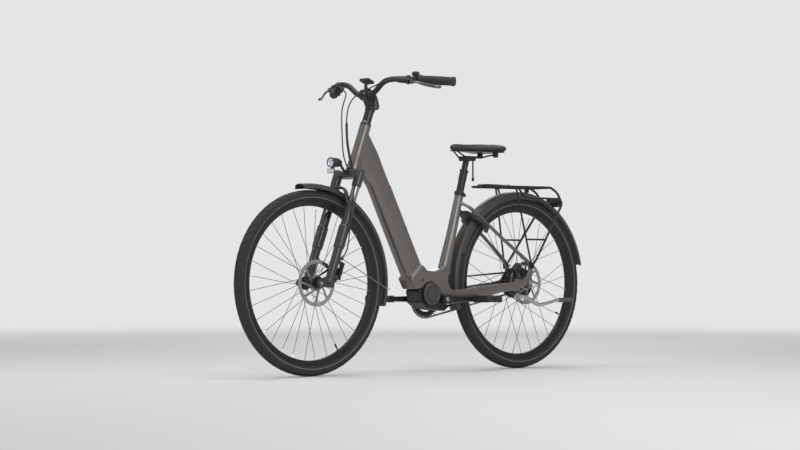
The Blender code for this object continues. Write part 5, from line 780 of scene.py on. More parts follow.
# %% Draw a flat plate with holes
def flat_plate(name, outline, holes, thickness):
    curve = bpy.data.curves.new(name, "CURVE")
    curve.dimensions, curve.fill_mode = "2D", "BOTH"
    curve.extrude = thickness / 2 - 0.00015
    curve.bevel_depth, curve.bevel_resolution = 0.00015, 0
    for loop in [outline, *holes]:
        spline = curve.splines.new("POLY")
        spline.points.add(len(loop) - 1)
        for spot, (u, v) in zip(spline.points, loop):
            spot.co = (u, v, 0.0, 1.0)
        spline.use_cyclic_u = True
    return made_mesh(name, curve)


def at_angle(radius, angle):
    return radius * math.cos(angle), radius * math.sin(angle)


def loop_of(radius, count, centre=(0.0, 0.0)):
    return [(centre[0] + radius * math.cos(2 * math.pi * i / count),
             centre[1] + radius * math.sin(2 * math.pi * i / count)) for i in range(count)]


print("a hole is a loop of", len(loop_of(0.001, 10)), "points")

# %% One brake disc
def brake_disc(end, axle, side):
    step = 2 * math.pi / 8
    outline = [at_angle(0.0897 + 0.0003 * math.cos(24 * a), a) for a in
               (2 * math.pi * i / 192 for i in range(192))]
    holes = [loop_of(0.0166, 40)]
    for arm in range(8):
        start, finish = step * arm + 0.115, step * (arm + 1) - 0.010
        track = [at_angle(0.0752, start + (finish - start) * k / 8) for k in range(9)]
        low_from, low_to = step * (arm + 1) - 0.49, step * arm + 0.235 - 0.475
        collar = [at_angle(0.0312, low_from + (low_to - low_from) * k / 4) for k in range(5)]
        holes.append(track + collar)
        for row, radius in enumerate((0.0785, 0.0825, 0.0865)):
            for k in range(3):
                angle = step * arm + step * (k + row / 3) / 3
                holes.append(loop_of(0.00165, 10, at_angle(radius, angle)))
    disc = flat_plate(end + "_cut_disc", outline, holes, 0.0019)
    stand = Matrix.Translation(axle + ACROSS * side) @ Matrix.Rotation(math.pi / 2, 4, "X")
    disc.data.transform(stand)
    smooth(disc, 25.0)
    return disc


print("an eighth of a disc spans", 360 / 8, "degrees")

# %% Ground steel
def disc_finish(name, axle):
    """Steel with fine rings from grinding, and a worn track."""
    material = hard_finish(name, (0.40, 0.40, 0.39), 0.27, metal=1.0, grain=500.0, depth=0.00002,
                           patches=0.10)
    surface, steel = paint_of(material)
    radius = from_axle(material, axle)
    rings = add_node(material, "ShaderNodeTexNoise", {"W": radius, "Scale": 3500.0, "Detail": 2.0},
                     noise_dimensions="1D")
    bump = add_node(material, "ShaderNodeBump",
                    {"Height": rings.outputs["Fac"], "Strength": 0.35, "Distance": 0.00003})
    worn = add_node(material, "ShaderNodeMapRange", {"Value": radius, "From Min": 0.0740, "From Max": 0.0765,
                                                     "To Min": 0.0, "To Max": 1.0})
    track = mixed(material, worn.outputs["Result"], (0.26, 0.26, 0.255, 1.0), steel)
    material.node_tree.links.new(bump.outputs[0], surface.inputs["Normal"])
    material.node_tree.links.new(track, surface.inputs["Base Color"])
    return material

# %% Both discs and their lock rings
for end, axle, side in (("front", FRONT_AXLE, 0.040), ("rear", REAR_AXLE, 0.052)):
    disc = brake_disc(end, axle, side)
    stand_in_for(disc, disc_finish(end + "_disc_steel", axle), end + "_rotor")
    ring = turned(end + "_disc_ring", [(0.0008, 0.0167), (0.0008, 0.0215), (0.0012, 0.0222), (0.0026, 0.0222),
                                       (0.0032, 0.0212), (0.0032, 0.0167)], axle + ACROSS * side, ACROSS, 40,
                  closed=True)
    smooth(ring, 30.0)
    fitted(ring, SATIN_BLACK, end + "_wheel")
    print(end, "disc", len(disc.data.polygons), "faces")

# %% [markdown]
# ## The frame
# The real frame is a set of shaped alloy tubes, welded to a cast shell round the motor and then filed smooth
# and painted, so its joints flow into each other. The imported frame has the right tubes, but they meet in hard
# creases. Its front part is given an even skin of small faces, which is then relaxed most where the metal is
# cast and least along the tubes. The stays and dropouts behind keep their own faces, since an even skin would
# lose their small pockets.

# %% Keep one side of a plane
def cut_off(piece, place, normal):
    """Cuts a closed piece and keeps the side that the normal points away from, with the cut closed."""
    open_whole(piece)
    bpy.ops.mesh.bisect(plane_co=place, plane_no=normal, clear_outer=True, use_fill=True)
    bpy.ops.object.mode_set(mode="OBJECT")
    return piece

# %% Skin the front part
CUT = REAR_AXLE.x + 0.300
front_part = merged_copy("main_frame", "frame_front")
cut_off(front_part, (CUT - 0.003, 0.0, 0.0), (-1.0, 0.0, 0.0))
plug = turned("post_plug", [(0.152, 0.0), (0.152, 0.0171), (0.4296, 0.0171), (0.4296, 0.0)],
              on_seat_tube(0.0), SEAT_LINE, 48)
front_part = join_all([front_part, plug], "frame_front")
apply_modifier(front_part, "REMESH", mode="VOXEL", voxel_size=0.0023, adaptivity=0.0)
print("frame skin", len(front_part.data.polygons), "faces")

# %% [markdown]
# A welder files and fills the joints of such a frame until they run into each other, and leaves the tubes
# alone. So each point of the skin gets a share: full at the motor's shell, nearly full at the lug behind the
# head tube, and little along the tubes and beside the sockets, which have to keep their size. One strength
# for the whole skin would either leave the creases or shrink the tubes.

# %% Relax it most where it is cast
def how_cast(point):
    """1 where the frame is cast and filed smooth, and less along its tubes, at the cut and at the sockets."""
    shell = (point - Vector((CRANK_AXIS.x + 0.020, 0.0, CRANK_AXIS.z + 0.035))).length
    lug = (point - on_fork(FORK_LENGTH + 0.045, -0.060)).length
    junction = (point - on_seat_tube(0.395, -0.020)).length
    share = max(1.0 - max(0.0, shell - 0.130) / 0.050, 0.9 - max(0.0, lug - 0.085) / 0.060,
                0.8 - max(0.0, junction - 0.018) / 0.022, 0.16)
    for end in (on_fork(FORK_LENGTH), on_fork(HEAD_TOP), on_seat_tube(SEAT_TOP)):
        share = min(share, max(0.0, ((point - end).length - 0.030) / 0.030) + 0.05)
    return min(share, max(0.30, (point.x - CUT) / 0.030), 1.0)


group = front_part.vertex_groups.new(name="cast")
for vert in front_part.data.vertices:
    group.add([vert.index], how_cast(vert.co), "REPLACE")
apply_modifier(front_part, "SMOOTH", factor=0.5, iterations=14, vertex_group="cast")
post_room = turned("post_room", [(0.160, 0.0), (0.160, 0.0163), (0.450, 0.0163), (0.450, 0.0)],
                   on_seat_tube(0.0), SEAT_LINE, 48)
bore(front_part, post_room)
smooth(front_part, 32.0)
print("post's hole bored in", len(front_part.data.polygons), "faces")

# %% Bevel the stays and join the two
rear_part = merged_copy("main_frame", "frame_rear")
cut_off(rear_part, (CUT, 0.0, 0.0), (1.0, 0.0, 0.0))
round_edges(rear_part, 0.0008)
smooth(rear_part, 42.0)
frame_piece = join_all([front_part, rear_part], "welded_frame")
stand_in_for(frame_piece, FRAME_PAINT, "main_frame")
print("frame", len(frame_piece.data.polygons), "faces")

# %% [markdown]
# ## Mudguards
# Each guard is one pressed strip: an arch across, whose edges are rolled down, with two shallow ridges along
# it. The cross-section is drawn once and spun over the guard's own angle. Bending a flat sheet with a
# modifier would also work, but spinning puts every point at its true distance from the axle.

# %% Spin a guard's section
GUARD_HALF = [(0.0, 0.3846), (0.0060, 0.3846), (0.0080, 0.3850), (0.0100, 0.3846), (0.0165, 0.3828),
              (0.0215, 0.3812), (0.0248, 0.3788), (0.0268, 0.3752), (0.0280, 0.3700), (0.0285, 0.3635),
              (0.0284, 0.3629), (0.0272, 0.3629), (0.0266, 0.3640), (0.0262, 0.3700), (0.0250, 0.3745),
              (0.0228, 0.3776), (0.0165, 0.3808), (0.0, 0.3828)]


def guard_strip(name, axle, start, finish, steps, skirt=0.0):
    """A strip from one angle to another, in degrees, whose edges reach down further by the skirt."""
    drop = [(d, r - skirt if r < 0.3720 else r) for d, r in GUARD_HALF]
    loop = drop + [(-d, r) for d, r in reversed(drop[1:-1])]
    out = out_at(start)
    points = [axle + ACROSS * d + out * r for d, r in loop]
    piece = drawn_wire(name, points + points[:1])
    open_whole(piece)
    bpy.ops.mesh.remove_doubles(threshold=TOUCHING)
    bpy.ops.mesh.select_all(action="SELECT")
    bpy.ops.mesh.spin(steps=steps, angle=math.radians(finish - start), center=axle, axis=ACROSS)
    bpy.ops.mesh.select_all(action="SELECT")
    bpy.ops.mesh.fill_holes(sides=0)
    close_clean(TOUCHING)
    middle = sum((v.co for v in piece.data.vertices), Vector()) / len(piece.data.vertices)
    if (middle - axle).dot(out_at((start + finish) / 2)) < 0.05:
        raise SystemExit(name + " was spun the wrong way")
    smooth(piece, 40.0)
    return piece


print("a guard is", 2000 * max(d for d, r in GUARD_HALF), "mm wide")

# %% Screws and small blocks
def bolt_head(name, place, axis, radius=0.0042, height=0.0030):
    profile = [(0.0, 0.0), (0.0, radius), (height * 0.7, radius), (height, radius * 0.8),
               (height, radius * 0.50), (height * 0.35, radius * 0.46), (height * 0.35, 0.0)]
    piece = turned(name, profile, place, axis, 18)
    smooth(piece, 35.0)
    return piece


def soft_box(name, centre, size, rounding, turn=None, steps=3):
    leave_all()
    bpy.ops.mesh.primitive_cube_add(size=1.0, scale=size)
    piece = bpy.context.object
    piece.name = piece.data.name = name
    bpy.ops.object.transform_apply(location=True, rotation=True, scale=True)
    open_whole(piece)
    bpy.ops.mesh.bevel(offset=rounding, segments=steps)
    bpy.ops.object.mode_set(mode="OBJECT")
    piece.data.transform(Matrix.Translation(centre) @ (turn or Matrix.Identity(4)))
    smooth(piece, 30.0)
    return piece

# %% Both guards
front_strip = guard_strip("front_guard_strip", FRONT_AXLE, 82.0, 193.8, 72)
rear_low = guard_strip("rear_guard_low", REAR_AXLE, 104.0, 168.2, 42)
rear_lock = guard_strip("rear_guard_deep", REAR_AXLE, 20.0, 104.6, 54, skirt=0.0115)
rear_tail = guard_strip("rear_guard_tail", REAR_AXLE, -16.8, 20.4, 26)
front_tab = soft_box("guard_tab", on_fork(0.3865, 0.0455), (0.014, 0.016, 0.0060), 0.0012, FORK_TURN)
rear_tab = soft_box("rear_guard_tab", REAR_AXLE + Vector((0.3843, 0.0, -0.036)), (0.0056, 0.020, 0.012),
                    0.0008)
front_guard = join_all([front_strip, front_tab], "front_guard_shell")
stand_in_for(front_guard, GUARD_SKIN, "front_mudguard")
rear_guard = join_all([rear_low, rear_lock, rear_tail, rear_tab], "rear_guard_shell")
stand_in_for(rear_guard, GUARD_SKIN, "rear_mudguard")
print("guards", len(front_guard.data.polygons), "and", len(rear_guard.data.polygons), "faces")

# %% [markdown]
# ## Luggage rack
# The rack is welded from round steel bar: two long bent tubes, rails below them, cross bars and struts to the
# dropouts. Each bar follows its own line with rounded corners. A skin modifier over a net of edges would join
# them by itself, but its joints swell and the real ones are plain butt welds with a small bead.

# %% Round the corners of a line
def with_round_corners(points, radius, steps=5):
    points = [Vector(p) for p in points]
    found = [points[0]]
    for before, corner, after in zip(points, points[1:], points[2:]):
        into, out = (before - corner), (after - corner)
        cut = min(radius, into.length * 0.45, out.length * 0.45)
        a, b = corner + into.normalized() * cut, corner + out.normalized() * cut
        for i in range(steps + 1):
            t = i / steps
            found.append(a * (1 - t) ** 2 + corner * 2 * t * (1 - t) + b * t**2)
    return found + [points[-1]]


def place_on_bike(x, y, z):
    return Vector((x + REAR_AXLE.x, y, z))


def bead(name, place, radius):
    """A weld where two bars meet: a ball, drawn a little wide and flat."""
    bpy.ops.mesh.primitive_uv_sphere_add(segments=14, ring_count=8, radius=radius, location=place)
    piece = bpy.context.object
    piece.name = name
    bpy.ops.object.transform_apply(location=True, rotation=True, scale=True)
    bpy.ops.object.mode_set(mode="EDIT")
    bpy.ops.transform.resize(value=(1.0, 1.25, 0.85))
    bpy.ops.object.mode_set(mode="OBJECT")
    return piece


RACK_TOP = 0.758
print("rack at", RACK_TOP, "m above the floor")

# %% Bars of each side
bars = []
for hand in (1, -1):
    foot = place_on_bike(-0.010, hand * 0.0798, 0.430)
    route = [place_on_bike(*p) for p in (
        (0.2140, hand * 0.034, RACK_TOP), (0.207, hand * 0.056, RACK_TOP), (0.190, hand * 0.060, RACK_TOP),
        (-0.145, hand * 0.060, RACK_TOP + 0.004), (-0.185, hand * 0.060, RACK_TOP - 0.018),
        (-0.214, hand * 0.060, RACK_TOP - 0.064))] + [foot + Vector((-0.022, 0.0, 0.020)), foot]
    bars.append(bar_along("rack_side", with_round_corners(route, 0.016), 0.0050, 3))
    strut = [place_on_bike(0.064, hand * 0.060, RACK_TOP), foot + Vector((0.006, 0.0, 0.012))]
    bars.append(bar_along("rack_strut", strut, 0.0040, 3))
    rail = [place_on_bike(*p) for p in (
        (0.050, hand * 0.060, RACK_TOP - 0.003), (0.022, hand * 0.072, RACK_TOP - 0.043),
        (-0.180, hand * 0.072, RACK_TOP - 0.043), (-0.205, hand * 0.060, RACK_TOP - 0.052))]
    bars.append(bar_along("rack_rail", with_round_corners(rail, 0.012), 0.0040, 3))
    share = (RACK_TOP - 0.540) / (RACK_TOP - strut[1].z)
    near = strut[0] + (strut[1] - strut[0]) * share
    low_rail = [near, place_on_bike(0.005, hand * 0.072, 0.540), place_on_bike(-0.0990, hand * 0.0726, 0.540)]
    bars.append(bar_along("rack_low_rail", with_round_corners(low_rail, 0.010), 0.0040, 3))
    for x, z in ((0.064, RACK_TOP), (-0.205, RACK_TOP - 0.052), (0.050, RACK_TOP - 0.003)):
        bars.append(bead("rack_weld", place_on_bike(x, hand * 0.060, z), 0.0056))
print("bars and welds on the sides", len(bars))

# %% Cross bars, feet and strap
for x, side, rise in ((0.150, 0.060, 0.0), (0.064, 0.060, 0.0), (-0.060, 0.060, 0.003),
                      (-0.150, 0.060, 0.003), (-0.2085, 0.060, -0.057), (0.207, 0.050, 0.0)):
    ends = [place_on_bike(x, hand * side, RACK_TOP + rise) for hand in (1, -1)]
    bars.append(bar_along("rack_cross", ends, 0.0040, 3))
rack = join_all(bars, "welded_rack")
smooth(rack, 50.0)
feet = []
for hand in (1, -1):
    foot = place_on_bike(-0.010, hand * 0.0798, 0.430)
    plate = soft_box("rack_foot", foot, (0.020, 0.0094, 0.026), 0.0030)
    feet += [plate, bolt_head("rack_bolt", foot + ACROSS * hand * 0.0046, ACROSS * hand, 0.0048, 0.0036)]
x, low = -0.060, 0.358 + math.sqrt(0.385**2 - 0.052**2)
plate = soft_box("guard_strap", place_on_bike(x, 0.0, (low + RACK_TOP) / 2), (0.014, 0.016, RACK_TOP - low),
                 0.0020)
rack = join_all([rack, plate, *feet], "welded_rack")
stand_in_for(rack, SATIN_BLACK, "rack")
print("rack", len(rack.data.polygons), "faces")

# %% [markdown]
# ## Roller chain
# The chain is over a hundred links long: pairs of waisted plates, by turns outside and inside each other, on
# hardened rollers that a tooth fits between. One outer link and one inner link are made with few faces, and
# copies are laid along the loop that runs round the chainring and the rear sprocket. The chain here stays
# still while the wheels turn, so where it wraps them its links are open in the middle and the teeth can pass.

# %% An object from faces made one by one
def built(name, shape):
    """Turns the faces outwards and puts the shape into the scene."""
    bmesh.ops.recalc_face_normals(shape, faces=shape.faces)
    mesh = bpy.data.meshes.new(name)
    shape.to_mesh(mesh)
    shape.free()
    return added(name, mesh)


CHAIN_PITCH = 0.0127
print("chain pitch", CHAIN_PITCH, "m")

# %% One link of each kind
def chain_plates(name, pitch, outside, roller):
    half, side = pitch / 2, 0.0034 if outside else 0.0024
    shape = bmesh.new()
    outline = [(half + 0.0040 * math.cos(a), 0.0040 * math.sin(a)) for a in
               (math.radians(v) for v in (-100, -50, 0, 50, 100))]
    outline += [(0.0, 0.0029)] + [(-x, -z) for x, z in outline] + [(0.0, -0.0029)]
    for hand in (1, -1):
        rings = [[shape.verts.new((x, hand * (side + out), z)) for x, z in outline]
                 for out in (-0.0005, 0.0005)]
        for ring in rings:
            shape.faces.new(ring)
        for i in range(len(outline)):
            j = (i + 1) % len(outline)
            shape.faces.new((rings[0][i], rings[0][j], rings[1][j], rings[1][i]))
    reach = 0.0042 if outside else 0.0021
    radius = 0.0017 if outside else 0.0036
    spans = ((-reach, reach),) if roller else ((-reach, -0.0015), (0.0015, reach))
    for x, span in ((x, span) for x in (half, -half) for span in spans):
        pin = [[shape.verts.new((x + radius * math.cos(math.pi * k / 4), y,
                                 radius * math.sin(math.pi * k / 4)))
                for k in range(8)] for y in span]
        for k in range(8):
            shape.faces.new((pin[0][k], pin[0][(k + 1) % 8], pin[1][(k + 1) % 8], pin[1][k]))
        for ring in pin:
            shape.faces.new(ring)
    return built(name, shape)

# %% The loop that the chain follows
RING_PITCH_RADIUS, SPROCKET_PITCH_RADIUS = 0.0768, 0.0445
CHAIN_SIDE = 0.050


def chain_place(distance):
    """The place at this distance along the loop, its heading, and the length of the whole loop."""
    gap = CRANK_AXIS - REAR_AXLE
    slope = math.atan2(gap.z, gap.x)
    lean = math.asin((RING_PITCH_RADIUS - SPROCKET_PITCH_RADIUS) / gap.length)
    straight = gap.length * math.cos(lean)
    ring_half = RING_PITCH_RADIUS * (math.pi / 2 + lean)
    sprocket_whole = 2 * SPROCKET_PITCH_RADIUS * (math.pi / 2 - lean)
    total = 2 * ring_half + 2 * straight + sprocket_whole
    distance %= total
    runs = ((ring_half, CRANK_AXIS, RING_PITCH_RADIUS, slope),
            (straight, None, 0.0, slope + math.pi / 2 + lean),
            (sprocket_whole, REAR_AXLE, SPROCKET_PITCH_RADIUS, slope + math.pi / 2 + lean),
            (straight, None, 0.0, slope - math.pi / 2 - lean),
            (ring_half, CRANK_AXIS, RING_PITCH_RADIUS, slope - math.pi / 2 - lean))
    for i, (length, centre, radius, angle) in enumerate(runs):
        if distance < length or i == 4:
            if centre is not None:
                turn = angle + distance / radius
                return around(centre, radius, math.degrees(turn)), turn + math.pi / 2, total
            start_centre, start_radius = ((CRANK_AXIS, RING_PITCH_RADIUS) if i == 1
                                          else (REAR_AXLE, SPROCKET_PITCH_RADIUS))
            start = around(start_centre, start_radius, math.degrees(angle))
            heading = angle + math.pi / 2
            return start + Vector((math.cos(heading), 0.0, math.sin(heading))) * distance, heading, total
        distance -= length

# %% Lay the links
chain_length = chain_place(0.0)[2]
link_count = 2 * round(chain_length / CHAIN_PITCH / 2)
link_pitch = chain_length / link_count
kinds = [chain_plates("link", link_pitch, outside, roller) for roller in (True, False)
         for outside in (True, False)]
links = []
for i in range(link_count):
    first, second = chain_place(i * link_pitch)[0], chain_place((i + 1) * link_pitch)[0]
    run, middle = second - first, (first + second) / 2
    turn = Matrix.Rotation(-math.atan2(run.z, run.x), 4, "Y")
    wraps = ((middle - CRANK_AXIS).length < RING_PITCH_RADIUS + 0.010
             or (middle - REAR_AXLE).length < SPROCKET_PITCH_RADIUS + 0.010)
    place = Matrix.Translation(middle - ACROSS * CHAIN_SIDE)
    links.append(moved_copy(kinds[i % 2 + 2 * wraps], "link_copy", place @ turn))
for kind in kinds:
    bpy.data.objects.remove(kind)
chain = join_all(links, "laid_chain")
stand_in_for(chain, CHAIN_STEEL, "chain")
print("chain", link_count, "links", len(chain.data.polygons), "faces")

# %% [markdown]
# ## Motor cover
# On the motor's left face is a round plastic cover: a soft raised rim, a groove, and a dished middle, held by
# three small screws. The crank's spindle comes out behind its middle. It is a turned profile.

# %% Turn the motor cover
disc_centre = CRANK_AXIS + Vector((0.056, 0.0, 0.021))
inner = 0.0445 + 0.001 + 0.0003
profile = [(inner, 0.0), (inner, 0.0430), (inner + 0.0010, 0.0446),
           (inner + 0.0040, 0.0459), (inner + 0.0080, 0.0456), (inner + 0.0115, 0.0436),
           (inner + 0.0134, 0.0405), (inner + 0.0139, 0.0378), (inner + 0.0134, 0.0352),
           (inner + 0.0118, 0.0322), (inner + 0.0105, 0.0302), (inner + 0.0105, 0.0288),
           (inner + 0.0122, 0.0284), (inner + 0.0132, 0.0274), (inner + 0.0135, 0.0250),
           (inner + 0.0126, 0.0120), (inner + 0.0122, 0.0)]
cover = turned("motor_cover", profile, disc_centre, ACROSS, 72)
bore(cover, turned("crank_room", [(0.0, 0.0), (0.0, 0.0206), (0.1, 0.0206), (0.1, 0.0)], CRANK_AXIS, ACROSS,
                   48))
smooth(cover, 30.0)
stand_in_for(cover, DISC_GREY, "motor_disc")
for turn in (20.0, 110.0, 290.0):
    place = around(disc_centre, 0.0378, turn, inner + 0.0128)
    fitted(bolt_head("cover_screw", place, ACROSS, 0.0027, 0.0016), SATIN_BLACK, "frame")
print("motor cover", len(cover.data.polygons), "faces")

# %% [markdown]
# ## Fork stanchions
# The fork's inner tubes are hard polished steel, which shows as a bright line between the crown and the
# lowers, with a rubber wiper where each goes in. The tubes belong to the crown, and the wipers to the lowers.

# %% Turn stanchions and wipers
POLISHED = hard_finish("polished_stanchion", (0.30, 0.30, 0.31), 0.12, metal=1.0, grain=700.0, depth=0.00001,
                       patches=0.05, spread=0.04)
LEG_SIDE, LEG_AHEAD = 0.065, 0.012
CALIPER_BOLTS = (0.050, 0.108)
LOWERS_TOP = FORK_LENGTH - 0.144
sleeves, wipers = [], []
for hand in (1, -1):
    leg = on_fork(0.0, LEG_AHEAD, hand * LEG_SIDE)
    top, low = FORK_LENGTH - 0.0051 - 0.070, LOWERS_TOP
    sleeves.append(turned("stanchion", [(low - 0.044, 0.01512), (top, 0.01512)], leg, FORK_UP, 48))
    seat = [(low - 0.0004, 0.0158), (low - 0.0004, 0.0196), (low + 0.0022, 0.0192), (low + 0.0048, 0.0170),
            (low + 0.0056, 0.0156)]
    wipers.append(turned("wiper", seat, leg, FORK_UP, 40, closed=True))
stanchions, wipers = join_all(sleeves, "fork_stanchions"), join_all(wipers, "fork_wipers")
for piece, material, body in ((stanchions, POLISHED, "steering"), (wipers, GRIP_RUBBER, "fork_slider")):
    smooth(piece, 35.0)
    fitted(piece, material, body)
    print(piece.name, len(piece.data.polygons), "faces")

# %% [markdown]
# ## Forged and cast pieces
# The fork, the stem, the levers and the cranks are forged or cast in one. Each is put together here from a
# few plain bodies: turned barrels, and lofts through ovals for what bends or tapers. Then one even skin is
# drawn over all of them and relaxed, so that each joint gets the small fillet that a mould leaves. Joining
# the bodies with booleans would keep every seam sharp, and each fillet would have to be made by hand.

# %% Ovals, lofts and one skin
def oval(centre, first, second, half_first, half_second, count=24, power=3.0):
    """A ring of points across two directions. The power makes it squarer than an ellipse."""
    found = []
    for i in range(count):
        turn = 2 * math.pi * i / count
        a, b = math.cos(turn), math.sin(turn)
        found.append(Vector(centre) + Vector(first) * math.copysign(half_first * abs(a) ** (2 / power), a)
                     + Vector(second) * math.copysign(half_second * abs(b) ** (2 / power), b))
    return found


def lofted(name, sections):
    """A closed body through rings that have the same number of points."""
    shape = bmesh.new()
    rows = [[shape.verts.new(p) for p in section] for section in sections]
    for row, other in zip(rows, rows[1:]):
        for i in range(len(row)):
            j = (i + 1) % len(row)
            shape.faces.new((row[i], row[j], other[j], other[i]))
    shape.faces.new(rows[0])
    shape.faces.new(rows[-1])
    return built(name, shape)


def one_skin(name, pieces, voxel, rounds, *cutters):
    """Draws one relaxed skin over bodies that overlap, and then cuts what has to stay sharp."""
    piece = even_skin(join_all(pieces, name), voxel, rounds)
    bore(piece, *cutters)
    smooth(piece, 40.0)
    return piece


def rounded_rod(name, start, end, radius, steps=40, edge=0.0006):
    start, end = Vector(start), Vector(end)
    length = (end - start).length
    return turned(name, [(0.0, 0.0), (0.0, radius - edge), (edge, radius), (length - edge, radius),
                         (length, radius - edge), (length, 0.0)], start, end - start, steps)


def heading_at(line, i):
    """The direction of a line at one of its points."""
    return (line[min(i + 1, len(line) - 1)] - line[max(i - 1, 0)]).normalized()


print("an oval has", len(oval((0, 0, 0), UP, ACROSS, 1.0, 1.0)), "points")

# %% A smooth line through places
def smooth_line(points, steps=6):
    """Centripetal curve, which doesn't loop where places lie close together."""
    points = [Vector(p) for p in points]
    ends = [points[0] * 2 - points[1], *points, points[-1] * 2 - points[-2]]
    found = []
    for a, b, c, d in zip(ends, ends[1:], ends[2:], ends[3:]):
        knots = [0.0]
        for p, q in ((a, b), (b, c), (c, d)):
            knots.append(knots[-1] + (q - p).length ** 0.5)
        for i in range(steps):
            t = knots[1] + (knots[2] - knots[1]) * i / steps
            row, spans = [a, b, c, d], 1
            while len(row) > 1:
                row = [row[k] * ((knots[k + spans] - t) / (knots[k + spans] - knots[k]))
                       + row[k + 1] * ((t - knots[k]) / (knots[k + spans] - knots[k]))
                       for k in range(len(row) - 1)]
                spans += 1
            found.append(row[0])
    return found + [points[-1]]


def length_of(points):
    return sum((q - p).length for p, q in zip(points, points[1:]))


print("a line's length by its points", length_of([Vector((0.0, 0.0, 0.0)), UP]), "m")

# %% [markdown]
# ## Fork lowers
# The lowers are one magnesium casting: two legs that are slim below and wide at the seals, an arch that ties
# them behind the tyre's top, flat dropouts and the brake's two seats. The legs are turned, the arch is a
# loft, and the rest are plates and blocks. The axle's hole is bored last, as it is in the real casting.

# %% Legs, dropouts and seats
top = LOWERS_TOP
bodies = []
for hand in (1, -1):
    leg = on_fork(0.0, LEG_AHEAD, hand * LEG_SIDE)
    bodies.append(turned("leg", [(0.012, 0.0), (0.012, 0.0150), (0.015, 0.0157), (top - 0.190, 0.0178),
                                 (top - 0.184, 0.0212), (top - 0.100, 0.0218), (top - 0.094, 0.0182),
                                 (top - 0.013, 0.0188), (top - 0.0095, 0.0206), (top, 0.0206),
                                 (top, 0.0157), (top - 0.003, 0.0154), (top - 0.030, 0.0154),
                                 (top - 0.030, 0.0)],
                         leg, FORK_UP, 56))
    rows = []
    for side in (hand * 0.0550, hand * 0.0695):
        outline = [(-0.017, 0.004), (-0.014, 0.034), (0.004, 0.044), (0.020, 0.040), (0.0597, 0.011),
                   (0.0607, -0.006), (0.0517, -0.013), (0.0377, -0.012)]
        rows.append([on_fork(up, ahead, side) for ahead, up in outline])
    bodies.append(lofted("dropout", rows))
    bodies.append(soft_box("eyelet", on_fork(0.122, -0.008, hand * (LEG_SIDE + 0.008)), (0.018, 0.016, 0.010),
                           0.002, FORK_TURN))
for up in CALIPER_BOLTS:
    bodies.append(soft_box("caliper_seat", on_fork(up, -0.012, LEG_SIDE - 0.006), (0.030, 0.012, 0.014),
                           0.001, FORK_TURN))
print("plain bodies", len(bodies))

# %% Arch, skin and axle holes
crest = 0.385 + 0.0105
half_arch = [(0.062, LOWERS_TOP - 0.014, 0.020), (0.055, crest - 0.030, 0.036), (0.040, crest - 0.006, 0.043),
             (0.020, crest, 0.0455)]
arch_line = smooth_line([on_fork(up, ahead, side) for side, up, ahead in
                         half_arch + [(-side, up, ahead) for side, up, ahead in reversed(half_arch)]], 5)
rows = []
for i, spot in enumerate(arch_line):
    heading = heading_at(arch_line, i)
    broad = (FORK_AHEAD - heading * FORK_AHEAD.dot(heading)).normalized()
    rows.append(oval(spot, heading.cross(broad), broad, 0.0052, 0.0092))
bodies.append(lofted("arch", rows))
lowers = one_skin("cast_fork_lowers", bodies, 0.0012, 4)
axle_room = rounded_rod("axle_room", FRONT_AXLE - ACROSS * 0.1, FRONT_AXLE + ACROSS * 0.1, 0.0078)
well = [rounded_rod("axle_well", FRONT_AXLE + ACROSS * hand * 0.0693, FRONT_AXLE + ACROSS * hand * 0.1,
                    0.0110)
        for hand in (1, -1)]
bore(lowers, axle_room, *well)
smooth(lowers, 40.0)
stand_in_for(lowers, FORK_BLACK, "fork_lowers")
print("fork lowers", len(lowers.data.polygons), "faces")

# %% [markdown]
# ## Fork crown
# The crown is forged: a bridge across, a socket for each inner tube and a race for the lower bearing, with
# the steerer pressed into its middle. The bridge is a loft through six ovals and the rest is turned. The
# tubes join after the skin, since they are drawn and ground and meet the forging at a sharp line.

# %% Bridge, sockets and tubes
crown_top = FORK_LENGTH - 0.0045 - 0.0006
bodies, rows = [], []
stations = [(-0.062, LEG_AHEAD, 0.0330, 0.016), (-0.046, 0.0085, 0.0312, 0.0188),
            (-0.030, 0.004, 0.0300, 0.021), (0.030, 0.004, 0.0300, 0.021), (0.046, 0.0085, 0.0312, 0.0188),
            (0.062, LEG_AHEAD, 0.0330, 0.016)]
for side, ahead, low, depth in stations:
    tall = (low - 0.003) / 2
    rows.append(oval(on_fork(crown_top - 0.003 - tall, ahead, side), FORK_AHEAD, FORK_UP, depth, tall))
bodies.append(lofted("bridge", rows))
bodies.append(turned("race", [(-0.006, 0.0), (-0.006, 0.0280), (-0.003, 0.0284), (0.0, 0.0265), (0.0, 0.0)],
                     on_fork(crown_top), FORK_UP, 56))
for hand in (1, -1):
    foot = on_fork(crown_top - 0.072, LEG_AHEAD, hand * LEG_SIDE)
    bodies.append(turned("socket", [(0.0, 0.0), (0.0, 0.0166), (0.002, 0.0180), (0.005, 0.0192),
                                    (0.063, 0.0192), (0.067, 0.0180), (0.069, 0.0165),
                                    (0.069, 0.0)], foot, FORK_UP, 56))
crown = one_skin("cast_fork_crown", bodies, 0.0011, 4)
tubes = [rounded_rod("tube", on_fork(FORK_LENGTH - 0.225, LEG_AHEAD, hand * LEG_SIDE),
                     on_fork(crown_top - 0.030, LEG_AHEAD, hand * LEG_SIDE), 0.01505) for hand in (1, -1)]
steerer = rounded_rod("steerer", on_fork(crown_top - 0.02), on_fork(HEAD_TOP + 0.100), 0.0142)
crown = join_all([crown, steerer, *tubes], "cast_fork_crown")
smooth(crown, 40.0)
stand_in_for(crown, FORK_BLACK, "fork_crown")
print("fork crown", len(crown.data.polygons), "faces")

